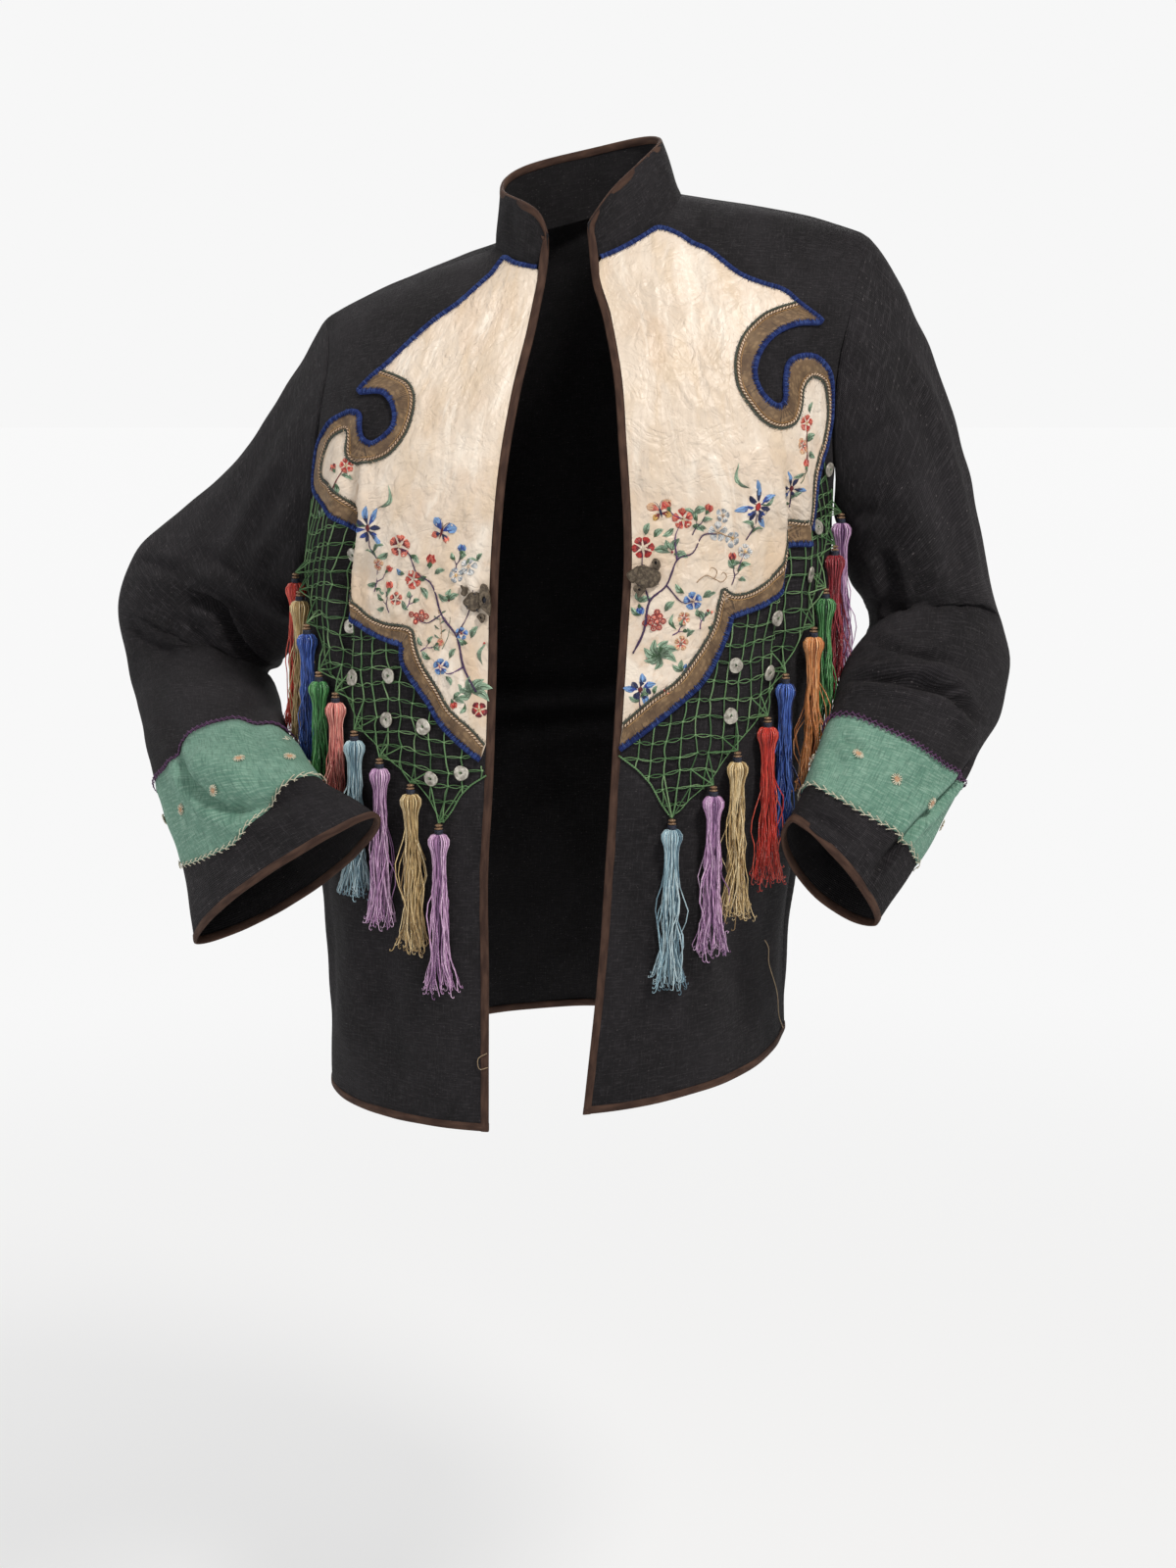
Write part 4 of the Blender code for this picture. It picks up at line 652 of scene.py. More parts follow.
def strip(build, path, section, side_way, up_way, mat=0, closed=False, caps=True):
    """A bar with its own section: across is along side_way and height along up_way, each given for every point."""
    path, side_way, up_way = (np.asarray(x, float) for x in (path, side_way, up_way))
    section = np.asarray(section, float)
    if section.ndim == 2:
        section = np.repeat(section[None], len(path), 0)
    points = path[:, None] + side_way[:, None] * section[..., :1] + up_way[:, None] * section[..., 1:2]
    n, m = len(path), section.shape[1]
    i, k = np.meshgrid(np.arange(n if closed else n - 1), np.arange(m), indexing="ij")
    j, l = (i + 1) % n, (k + 1) % m
    faces = np.stack([i * m + k, i * m + l, j * m + l, j * m + k], -1).reshape(-1, 4).tolist()
    round_run = np.concatenate([[0], np.cumsum(np.linalg.norm(np.diff(section[0], axis=0), axis=1))])
    run = np.concatenate([[0], np.cumsum(np.linalg.norm(np.diff(path, axis=0), axis=1))])
    uv = np.stack([np.repeat(run, m), np.tile(round_run, n)], -1) * MM
    if caps and not closed:
        faces.append(tuple(range(m)))
        faces.append(tuple((n - 1) * m + q for q in range(m))[::-1])
    build.add(points.reshape(-1, 3), faces, mat, uv)


def fill(sheet, outline, step=3.4, line_step=None, drop=0.5):
    """Points in (a, b) and triangles that fill an outline at about this spacing in mm."""
    measure = step_of(sheet)
    ring = resample(list(outline) + [outline[0]], measure, line_step or step)[:-1]
    lo, hi = np.min(ring, axis=0), np.max(ring, axis=0)
    sa, sb = np.mean([sheet.scale(*p) for p in ring[::max(1, len(ring) // 24)]], axis=0)
    na, nb = max(2, int((hi[0] - lo[0]) * sa / step)), max(2, int((hi[1] - lo[1]) * sb / step))
    ga, gb = np.meshgrid(np.linspace(lo[0], hi[0], na), np.linspace(lo[1], hi[1], nb))
    ga = ga + np.where(np.arange(nb) % 2, 0.5, 0.0)[:, None] * (hi[0] - lo[0]) / max(na - 1, 1)
    ga, gb = ga.ravel(), gb.ravel()
    keep = in_outline(ga, gb, ring)
    ga, gb = ga[keep], gb[keep]
    if len(ga):
        scale = np.array([sa, sb])
        far, _, _ = far_from(np.stack([ga, gb, 0 * ga], -1) * [sa, sb, 0],
                             np.column_stack([np.asarray(ring) * scale, np.zeros(len(ring))]), closed=True)
        ga, gb = ga[far > drop * step], gb[far > drop * step]
    points = [Vector((p[0] * sa, p[1] * sb)) for p in ring] + [Vector((x * sa, y * sb)) for x, y in zip(ga, gb)]
    edges = [(i, (i + 1) % len(ring)) for i in range(len(ring))]
    found, _, faces, _, _, _ = delaunay_2d_cdt(points, edges, [], 0, 1e-7)
    found = np.array([(p.x, p.y) for p in found])
    faces = np.array([f for f in faces if len(f) == 3])
    mid = found[faces].mean(1)
    faces = faces[in_outline(mid[:, 0], mid[:, 1], [(p[0] * sa, p[1] * sb) for p in ring])]
    used, back_to = np.unique(faces, return_inverse=True)
    ab = found[used] / [sa, sb]
    faces = back_to.reshape(-1, 3)
    flat = found[used][faces]
    turned = np.cross(np.c_[flat[:, 1] - flat[:, 0], np.zeros(len(flat))], np.c_[flat[:, 2] - flat[:, 0], np.zeros(len(flat))])[:, 2] < 0
    faces[turned] = faces[turned][:, ::-1]
    if sheet.sign < 0:
        faces = faces[:, ::-1]
    return ab, faces


def lay(name, sheet, outline, height, thick, mats, nodes=(), step=3.4, shape=None, inward=True, line_step=None, mat_in=None, uv_turn=False):
    """A cloth piece on a sheet: both faces and the cut edge. height is its outer face when the wall goes inward, its underside otherwise."""
    ab, faces = fill(sheet, outline, step, line_step)
    up = np.full(len(ab), float(height))
    if shape is not None:
        up = up + shape(ab)
    outer = up if inward else up + thick
    top, _ = sheet.put(ab, outer)
    low, _ = sheet.put(ab, outer - thick)
    build = Build()
    uv = sheet.uv(ab[:, 0], ab[:, 1])
    if uv_turn:
        uv = uv[:, ::-1]
    edges = np.concatenate([faces[:, [0, 1]], faces[:, [1, 2]], faces[:, [2, 0]]])
    key = np.sort(edges, 1)
    _, first, count = np.unique(key, axis=0, return_index=True, return_counts=True)
    rim = edges[first[count == 1]]
    n = len(ab)
    build.add(np.concatenate([top, low]), [], 0, np.concatenate([uv, uv]))
    for f in faces.tolist():
        build.f.append(tuple(f)); build.m.append(0)
    for f in faces[:, ::-1].tolist():
        build.f.append(tuple(k + n for k in f)); build.m.append(0 if mat_in is None else mat_in)
    for p, q in rim.tolist():
        build.f.append((q, p, p + n, q + n)); build.m.append(0)
    obj = build.make(name, mats, nodes)
    sharp = obj.data.attributes.new("sharp_edge", "BOOLEAN", "EDGE") if "sharp_edge" not in obj.data.attributes else obj.data.attributes["sharp_edge"]
    rims = {tuple(sorted(e)) for e in rim.tolist()} | {tuple(sorted((p + n, q + n))) for p, q in rim.tolist()}
    flags = np.array([tuple(sorted(e.vertices)) in rims for e in obj.data.edges])
    sharp.data.foreach_set("value", flags)
    return obj


# ------------------------------------------------------------------ materials
def linear(r, g, b):
    """An 8-bit colour as Blender's own linear values."""
    return tuple((c / 255 / 12.92) if c <= 10 else ((c / 255 + 0.055) / 1.055) ** 2.4 for c in (r, g, b))


class Mat:
    def __init__(self, name, colour, rough, metal=0.0, spec=0.4, sheen=0.0, sheen_rough=0.5, sheen_tint=None, aniso=0.0, coat=0.0):
        self.m = bpy.data.materials.new(name)
        self.m.use_nodes = True
        self.t = self.m.node_tree
        self.s = self.t.nodes["Principled BSDF"]
        i = self.s.inputs
        i["Base Color"].default_value = (*linear(*colour), 1)
        i["Roughness"].default_value = rough
        i["Metallic"].default_value = metal
        i["Specular IOR Level"].default_value = spec
        i["Sheen Weight"].default_value = sheen
        i["Sheen Roughness"].default_value = sheen_rough
        i["Sheen Tint"].default_value = (*(linear(*sheen_tint) if sheen_tint else (1, 1, 1)), 1)
        i["Anisotropic"].default_value = aniso
        i["Coat Weight"].default_value = coat
        i["Coat Roughness"].default_value = 0.3
        self.m.diffuse_color = (*linear(*colour), 1)
        self.uvn = self.t.nodes.new("ShaderNodeUVMap")
        self.uvn.uv_map = "Cloth"

    def new(self, kind, **props):
        node = self.t.nodes.new(kind)
        for key, value in props.items():
            setattr(node, key, value)
        return node

    def join(self, a, b):
        self.t.links.new(a, b)

    def coords(self, x, y, z=1.0, turn=0.0, own=True):
        """The cloth coordinate in metres times a scale; own=False takes the place in space instead."""
        node = self.new("ShaderNodeMapping")
        node.inputs["Scale"].default_value = (x, y, z)
        node.inputs["Rotation"].default_value = (0, 0, turn)
        if own:
            self.join(self.uvn.outputs[0], node.inputs["Vector"])
        else:
            self.join(self.new("ShaderNodeNewGeometry").outputs["Position"], node.inputs["Vector"])
        return node.outputs[0]

    def noise(self, vec, scale=1.0, detail=2.0, rough=0.5, distort=0.0):
        node = self.new("ShaderNodeTexNoise")
        node.inputs["Scale"].default_value = scale
        node.inputs["Detail"].default_value = detail
        node.inputs["Roughness"].default_value = rough
        node.inputs["Distortion"].default_value = distort
        self.join(vec, node.inputs["Vector"])
        return node.outputs["Fac"]

    def wave(self, vec, scale=1.0, way="X", distort=0.0, detail=1.0, dscale=1.0, profile="SIN"):
        node = self.new("ShaderNodeTexWave", bands_direction=way, wave_profile=profile)
        node.inputs["Scale"].default_value = scale
        node.inputs["Distortion"].default_value = distort
        node.inputs["Detail"].default_value = detail
        node.inputs["Detail Scale"].default_value = dscale
        self.join(vec, node.inputs["Vector"])
        return node.outputs["Fac"]

    def voronoi(self, vec, scale=1.0, feature="F1", smooth=None):
        node = self.new("ShaderNodeTexVoronoi", feature=feature)
        node.inputs["Scale"].default_value = scale
        if smooth is not None and "Smoothness" in node.inputs:
            node.inputs["Smoothness"].default_value = smooth
        self.join(vec, node.inputs["Vector"])
        return node.outputs["Distance"]

    def math(self, op, a, b=0.5, c=None, clamp=False):
        node = self.new("ShaderNodeMath", operation=op, use_clamp=clamp)
        for k, x in enumerate((a, b, c)):
            if x is None:
                continue
            if isinstance(x, (int, float)):
                node.inputs[k].default_value = x
            else:
                self.join(x, node.inputs[k])
        return node.outputs[0]

    def remap(self, x, lo, hi, out_lo=0.0, out_hi=1.0):
        node = self.new("ShaderNodeMapRange", interpolation_type="SMOOTHSTEP")
        node.inputs["From Min"].default_value = lo
        node.inputs["From Max"].default_value = hi
        node.inputs["To Min"].default_value = out_lo
        node.inputs["To Max"].default_value = out_hi
        self.join(x, node.inputs["Value"])
        return node.outputs[0]

    def mix(self, fac, a, b, mode="MIX"):
        node = self.new("ShaderNodeMix", data_type="RGBA", blend_type=mode, clamp_factor=True)
        sockets = (node.inputs[0], node.inputs[6], node.inputs[7])
        for socket, x in zip(sockets, (fac, a, b)):
            if isinstance(x, (int, float)):
                socket.default_value = x
            elif isinstance(x, tuple):
                socket.default_value = (*linear(*x), 1)
            else:
                self.join(x, socket)
        return node.outputs[2]

    def random_thread(self):
        return self.new("ShaderNodeNewGeometry").outputs["Random Per Island"]

    def colour(self, out):
        self.join(out, self.s.inputs["Base Color"])
        return self

    def rough(self, out):
        self.join(out, self.s.inputs["Roughness"])
        return self

    def bump(self, *heights):
        """heights: (output, distance in mm, strength), laid over each other."""
        normal = None
        for out, mm, strength in heights:
            node = self.new("ShaderNodeBump")
            node.inputs["Distance"].default_value = mm * MM
            node.inputs["Strength"].default_value = strength
            self.join(out, node.inputs["Height"])
            if normal is not None:
                self.join(normal, node.inputs["Normal"])
            normal = node.outputs[0]
        self.join(normal, self.s.inputs["Normal"])
        return self


def woven(m, pitch=1.0):
    """Height of a plain weave with threads this far apart in mm."""
    k = 1000 / pitch
    vec = m.coords(1, 1)
    warp = m.wave(vec, k / 6.2832 * math.pi * 1.0, "X", 0.4, 1.0, 0.6)
    weft = m.wave(vec, k / 6.2832 * math.pi * 1.0, "Y", 0.4, 1.0, 0.6)
    return m.math("ADD", warp, weft), warp, weft


def cloth_material(name, dark=(25, 23, 25), mid=(44, 41, 44), light=(80, 76, 79)):
    m = Mat(name, mid, 0.85, spec=0.2, sheen=0.07, sheen_rough=0.45, sheen_tint=(150, 144, 146))
    weave, warp, weft = woven(m, 1.35)
    slub_x = m.noise(m.coords(95, 720), 1.0, 3.0, 0.6)
    slub_y = m.noise(m.coords(720, 95), 1.0, 3.0, 0.6)
    broad = m.noise(m.coords(16, 12), 1.0, 3.0, 0.6)
    fleck = m.noise(m.coords(420, 1500), 1.0, 1.0, 0.5)
    base = m.mix(m.remap(broad, 0.3, 0.7), dark, mid)
    base = m.mix(m.remap(slub_x, 0.46, 0.78, 0.0, 0.5), base, light)
    base = m.mix(m.remap(slub_y, 0.48, 0.80, 0.0, 0.42), base, light)
    # painted shade: where the weave is low, between the threads, the colour goes toward near black
    base = m.mix(m.remap(weave, 0.45, 1.35, 0.62, 0.0), base, (14, 13, 14))
    base = m.mix(m.remap(fleck, 0.68, 0.78, 0.0, 0.6), base, (112, 106, 106))
    m.colour(base)
    m.bump((weave, 0.42, 0.9), (slub_x, 0.6, 0.7), (slub_y, 0.6, 0.6), (m.noise(m.coords(90, 90), 1.0, 2.0), 1.4, 0.3))
    return m.m


MAT = {}
MAT["cloth"] = cloth_material("charcoal_cloth")
# the inside faces get a darker copy of the same cloth: painted shade for the inside of the jacket
MAT["cloth_in"] = cloth_material("charcoal_cloth_inside_shaded", (20, 18, 20), (34, 32, 34), (58, 55, 57))

m = Mat("brown_binding", (56, 38, 31), 0.78, spec=0.2, sheen=0.08, sheen_tint=(170, 140, 120))
rib = m.wave(m.coords(1, 1, turn=math.radians(40)), 560, "X", 0.3)
m.colour(m.mix(m.remap(m.noise(m.coords(60, 240), 1, 3), 0.3, 0.75), m.mix(rib, (42, 28, 23), (62, 42, 34)), (80, 58, 47)))
m.bump((rib, 0.22, 0.6), (m.noise(m.coords(180, 380), 1, 2), 0.5, 0.4))
MAT["binding"] = m.m

m = Mat("cream_satin", (226, 210, 188), 0.34, spec=0.55, sheen=0.12, sheen_rough=0.35, aniso=0.35)
low = m.new("ShaderNodeSeparateXYZ")
m.join(m.uvn.outputs[0], low.inputs[0])
lower = m.remap(low.outputs[1], 0.50, 0.30)
blot = m.noise(m.coords(26, 20), 1.0, 4.0, 0.62, 0.6)
small = m.noise(m.coords(150, 130), 1.0, 3.0, 0.6, 0.4)
ring_stain = m.voronoi(m.coords(19, 15), 1.0, "SMOOTH_F1", 0.5)
base = m.mix(m.remap(m.noise(m.coords(9, 9), 1.0, 2.0), 0.35, 0.65), (210, 193, 174), (222, 207, 190))
stain = m.math("MULTIPLY", m.remap(blot, 0.48, 0.66), m.math("MULTIPLY_ADD", lower, 0.55, 0.20))
base = m.mix(stain, base, (203, 172, 142))
base = m.mix(m.math("MULTIPLY", m.remap(small, 0.60, 0.72), m.math("MULTIPLY_ADD", lower, 0.42, 0.12)), base, (196, 160, 128))
base = m.mix(m.math("MULTIPLY", m.remap(ring_stain, 0.64, 0.70), 0.25), base, (206, 178, 150))
# painted light and shade: broad diagonal streaks from the wrinkle bump's noise, darker tan where it is high and near
# white, a painted sheen, where it is low
streak = m.noise(m.coords(46, 13, turn=math.radians(-24)), 1.0, 3.0, 0.55, 0.8)
base = m.mix(m.remap(streak, 0.46, 0.70, 0.0, 0.5), base, (204, 180, 150))
base = m.mix(m.remap(streak, 0.30, 0.44, 0.55, 0.0), base, (240, 230, 216))
fine = m.wave(m.coords(1, 1), 900, "Y", 0.6)
base = m.mix(m.remap(fine, 0, 1, 0.0, 0.07), base, (188, 166, 144))
m.colour(base)
crumple = m.noise(m.coords(70, 60), 1.0, 3.0, 0.55, 1.6)
ridge = m.math("ABSOLUTE", m.math("SUBTRACT", m.noise(m.coords(34, 46), 1.0, 2.0, 0.5, 1.2), 0.5))
ridge = m.remap(ridge, 0.0, 0.075)
ridge2 = m.math("ABSOLUTE", m.math("SUBTRACT", m.noise(m.coords(95, 70), 1.0, 2.0, 0.5, 0.8), 0.5))
ridge2 = m.remap(ridge2, 0.0, 0.11)
m.bump((crumple, 2.2, 0.7), (streak, 2.4, 0.8), (ridge, 0.7, 0.4), (ridge2, 0.4, 0.4), (fine, 0.05, 0.3))
m.rough(m.remap(small, 0.3, 0.8, 0.38, 0.54))
MAT["satin"] = m.m

m = Mat("bronze_ribbon", (134, 104, 74), 0.55, spec=0.4, sheen=0.2, sheen_tint=(220, 190, 150))
rib = m.wave(m.coords(1, 1), 520, "X", 0.5)
motif = m.voronoi(m.coords(240, 300), 1.0, "F1")
base = m.mix(rib, (84, 64, 44), (124, 98, 70))
base = m.mix(m.remap(motif, 0.30, 0.55, 0.5, 0.0), base, (150, 122, 88))
base = m.mix(m.remap(m.noise(m.coords(60, 90), 1, 4, 0.65), 0.42, 0.68, 0.0, 0.85), base, (72, 52, 36))
base = m.mix(m.remap(m.noise(m.coords(900, 60, turn=math.radians(28)), 1, 2, 0.6), 0.58, 0.70, 0.0, 0.7), base, (40, 30, 24))
base = m.mix(m.remap(m.noise(m.coords(24, 24), 1, 2, 0.5), 0.55, 0.75, 0.0, 0.5), base, (164, 140, 108))
m.colour(base)
m.bump((rib, 0.2, 0.7), (motif, 0.25, 0.5), (m.noise(m.coords(120, 120), 1, 2), 0.7, 0.3))
MAT["ribbon"] = m.m


def thread_material(name, colour, light=None, rough=0.42, sheen=0.25, twist=900, spread=0.5, spec=0.5, shade=None):
    """Thread or floss: coordinates run along it, colour differs a little from thread to thread."""
    light = light or tuple(min(255, int(c * 1.22 + 14)) for c in colour)
    shade = shade or tuple(int(c * 0.68) for c in colour)
    m = Mat(name, colour, rough, spec=spec, sheen=sheen, sheen_rough=0.35, sheen_tint=light, aniso=0.4)
    each = m.random_thread()
    base = m.mix(m.remap(each, 0.35, 1.0, 0.0, spread), colour, light)
    base = m.mix(m.remap(each, 0.0, 0.32, spread, 0.0), base, shade)
    base = m.mix(m.remap(m.noise(m.coords(140, 3), 1, 2), 0.42, 0.72, 0.0, 0.75), base, shade)
    m.colour(base)
    ply = m.wave(m.coords(1, 0.9 / max(twist, 1) * 100, turn=0.0), twist / 2, "DIAGONAL", 0.2)
    m.bump((ply, 0.12, 0.6))
    return m.m


MAT["piping"] = thread_material("blue_piping", (36, 50, 104), (76, 98, 156), rough=0.82, sheen=0.35, twist=700, spec=0.15, spread=0.8)
MAT["net"] = thread_material("green_net_thread", (96, 134, 88), (140, 168, 122), rough=0.6, sheen=0.3, twist=900, spec=0.3, spread=0.7)
MAT["net_dark"] = thread_material("green_net_thread_dark", (70, 108, 66), (108, 140, 92), rough=0.62, sheen=0.3, twist=900, spec=0.3, spread=0.7)
MAT["brown_cord"] = thread_material("brown_cord", (92, 66, 48), (134, 100, 72), rough=0.6, twist=900)
MAT["gimp"] = thread_material("grey_green_gimp", (62, 68, 58), (98, 104, 88), rough=0.6, twist=900)
MAT["couch"] = thread_material("cream_orange_cord", (222, 188, 154), (244, 222, 196), rough=0.5, twist=900)
MAT["gold_cord"] = thread_material("gold_cord", (176, 132, 78), (214, 174, 116), rough=0.45, twist=900)
MAT["purple"] = thread_material("purple_stitch", (88, 46, 90), (126, 78, 128), rough=0.5)
MAT["ivory"] = thread_material("ivory_stitch", (220, 212, 186), (240, 233, 212), rough=0.55)
MAT["tan_thread"] = thread_material("tan_thread", (168, 144, 112), rough=0.6)
MAT["dark_thread"] = thread_material("dark_thread", (24, 28, 46), (48, 56, 84), rough=0.5)
MAT["seam_thread"] = thread_material("seam_thread", (30, 28, 31), (52, 50, 54), rough=0.7)

# each strand takes a tone at random between mid, light and dark: partly the silk's own variation, partly painted
# highlight in the light tone and painted shade in the dark tone
TASSEL_SHADE = {
    "lilac": ((200, 150, 196), (232, 196, 226), (134, 86, 138)), "gold": ((214, 182, 124), (240, 218, 172), (150, 116, 66)),
    "sky": ((160, 194, 206), (210, 230, 234), (92, 130, 150)), "pink": ((234, 134, 124), (248, 178, 162), (172, 72, 70)),
    "green": ((62, 136, 72), (114, 180, 112), (26, 74, 38)), "blue": ((36, 68, 152), (84, 120, 204), (16, 30, 84)),
    "red": ((220, 56, 44), (246, 112, 90), (140, 22, 24)), "orange": ((224, 142, 80), (244, 186, 130), (156, 84, 42)),
    "wine": ((148, 38, 50), (184, 74, 80), (92, 18, 28))}
for key, (mid, light, dark) in TASSEL_SHADE.items():
    MAT["silk_" + key] = thread_material("silk_" + key, mid, light, rough=0.26, sheen=0.2, twist=500, spread=1.0, spec=0.75, shade=tuple(int(c * 0.85) for c in dark))
    # a much darker copy of each silk for the tassel's core: painted shade, so the gaps between the strands read dark
    MAT["shade_core_" + key] = thread_material("shade_core_" + key, tuple(int(c * 0.38) for c in dark), tuple(int(c * 0.6) for c in dark), rough=0.7, sheen=0.05, twist=500, spread=0.5, spec=0.2)

m = Mat("teal_linen", (96, 146, 126), 0.85, spec=0.25, sheen=0.2, sheen_tint=(190, 220, 205))
weave, warp, weft = woven(m, 1.25)
sx = m.noise(m.coords(110, 900), 1, 2, 0.6)
sy = m.noise(m.coords(900, 110), 1, 2, 0.6)
base = m.mix(m.remap(m.noise(m.coords(22, 26), 1, 3), 0.3, 0.7), (92, 132, 114), (112, 150, 132))
base = m.mix(m.remap(sx, 0.42, 0.72, 0.0, 0.75), base, (148, 178, 160))
base = m.mix(m.remap(sy, 0.42, 0.72, 0.0, 0.65), base, (70, 104, 90))
m.colour(base)
m.bump((weave, 0.3, 0.6), (sx, 0.4, 0.5), (sy, 0.4, 0.5))
MAT["band"] = m.m

m = Mat("pearl_disc", (150, 143, 132), 0.36, metal=0.35, spec=0.5, coat=0.15)
m.colour(m.mix(m.remap(m.noise(m.coords(260, 260, 260, own=False), 1, 4, 0.6), 0.3, 0.7), (124, 118, 108), (200, 194, 182)))
m.bump((m.noise(m.coords(500, 500, 500, own=False), 1, 3), 0.3, 0.4))
MAT["disc"] = m.m

m = Mat("pewter", (84, 76, 63), 0.6, metal=0.25, spec=0.4)
age = m.noise(m.coords(420, 420, 420, own=False), 1, 4, 0.65)
m.colour(m.mix(m.remap(age, 0.35, 0.7), (64, 54, 44), (112, 99, 82)))
m.rough(m.remap(age, 0.3, 0.7, 0.7, 0.45))
m.bump((age, 0.35, 0.5))
MAT["pewter"] = m.m

m = Mat("bronze_bead", (140, 112, 86), 0.4, metal=0.65, spec=0.5)
m.colour(m.mix(m.noise(m.coords(600, 600, 600, own=False), 1, 3), (70, 54, 42), (186, 150, 118)))
m.bump((m.noise(m.coords(900, 900, 900, own=False), 1, 2), 0.2, 0.5))
MAT["bead"] = m.m


def floss(name, colour, tip=None):
    """Satin-stitch silk: fine threads run along the patch, each a little lighter or darker."""
    tip = tip or tuple(min(255, int(c * 1.16 + 12)) for c in colour)
    m = Mat(name, colour, 0.36, spec=0.5, sheen=0.2, sheen_rough=0.3, sheen_tint=tip, aniso=0.5)
    threads = m.wave(m.coords(1, 1), 1350, "Y", 0.7, 1.0, 0.8)
    streak = m.noise(m.coords(120, 2600), 1, 2, 0.6)
    base = m.mix(m.remap(streak, 0.36, 0.66), tuple(int(c * 0.66) for c in colour), tip)
    # painted shade: darker in the grooves between the stitched threads, where the thread wave is low
    base = m.mix(m.remap(threads, 0.0, 0.4, 0.4, 0.0), base, tuple(int(c * 0.6) for c in colour))
    m.colour(base)
    m.bump((threads, 0.12, 0.8))
    return m.m


FLOSS = {name: floss("floss_" + name, c) for name, c in {
    "navy": (22, 30, 74), "cobalt": (38, 68, 150), "sky": (112, 152, 204), "red": (180, 38, 34), "coral": (222, 108, 88),
    "wine": (108, 22, 34), "grey_green": (104, 124, 102), "mint": (146, 174, 146), "leaf": (66, 96, 64),
    "violet": (62, 34, 78), "purple": (92, 54, 110), "white": (222, 220, 214), "grey": (158, 164, 170),
    "peach": (232, 170, 132), "tan": (176, 140, 104), "cream": (238, 224, 196), "gold": (206, 160, 84)}.items()}


# ------------------------------------------------------------------ folds laid on the cloth
for side, seed in (("right", 11), ("left", 12)):
    f = fronts[side]
    sgn = 1 if side == "left" else -1
    folds = {
        "right": [([(0.64, -0.225), (0.596, -0.261), (0.520, -0.317), (0.486, -0.387), (0.47, -0.50)], 7.5, 6.5, 0.45, 0.4),
                  ([(0.10, -0.62), (0.131, -0.80), (0.113, -0.97)], -2.6, 17, 0.2, 0.0),
                  ([(0.32, -0.66), (0.36, -0.82), (0.33, -0.99)], 3.2, 15, 0.3, 0.1),
                  ([(0.56, -0.60), (0.52, -0.78), (0.58, -0.99)], -3.4, 18, 0.2, 0.0),
                  ([(0.80, -0.48), (0.76, -0.70), (0.82, -0.98)], 4.0, 16, 0.3, -0.1),
                  ([(0.97, -0.42), (0.80, -0.47), (0.62, -0.50)], 3.0, 8, 0.4, 0.1),
                  ([(0.93, -0.17), (0.80, -0.20), (0.70, -0.24)], 1.6, 7, 0.4, 0.0),
                  ([(0.20, -0.69), (0.42, -0.71), (0.62, -0.70)], 1.1, 7, 0.3, 0.0),
                  ([(0.25, -0.88), (0.48, -0.86), (0.66, -0.89)], 1.0, 8, 0.3, 0.0)],
        "left": [([(0.66, -0.28), (0.618, -0.335), (0.592, -0.385), (0.575, -0.44), (0.57, -0.53)], 6.5, 6.5, 0.45, -0.4),
                 ([(0.341, -0.035), (0.382, -0.085), (0.383, -0.150)], 1.7, 6.5, 0.5, 0.0),
                 ([(0.06, -0.63), (0.129, -0.79), (0.185, -0.96)], 2.6, 16, 0.2, 0.0),
                 ([(0.26, -0.66), (0.34, -0.80), (0.42, -0.98)], -2.8, 18, 0.2, 0.0),
                 ([(0.466, -0.70), (0.58, -0.85), (0.66, -0.98)], 3.6, 15, 0.3, 0.1),
                 ([(0.78, -0.55), (0.80, -0.75), (0.87, -0.97)], -3.4, 17, 0.2, 0.0),
                 ([(0.95, -0.44), (0.82, -0.47), (0.66, -0.50)], 2.6, 8, 0.4, -0.1),
                 ([(0.92, -0.14), (0.80, -0.17), (0.66, -0.20)], 1.5, 7, 0.4, 0.0),
                 ([(0.18, -0.71), (0.38, -0.69), (0.60, -0.72)], 1.1, 7, 0.3, 0.0),
                 ([(0.30, -0.90), (0.50, -0.87), (0.70, -0.90)], 1.0, 8, 0.3, 0.0)],
    }[side]
    for line, depth, width, lip, lean in folds:
        f.crease([(sgn * u, v) for u, v in line], depth, width, lip, lean)
    f.uneven(seed, 120, 1.0)
    f.uneven(seed + 20, 38, 0.32)
    aa, bb = np.meshgrid(np.abs(f.a), f.b)
    f.settle(smoothstep((1 - aa) * 225, 0, 20) * smoothstep(-bb * 640, 0, 16) * (0.35 + 0.65 * smoothstep(aa * 225, 0, 22)))

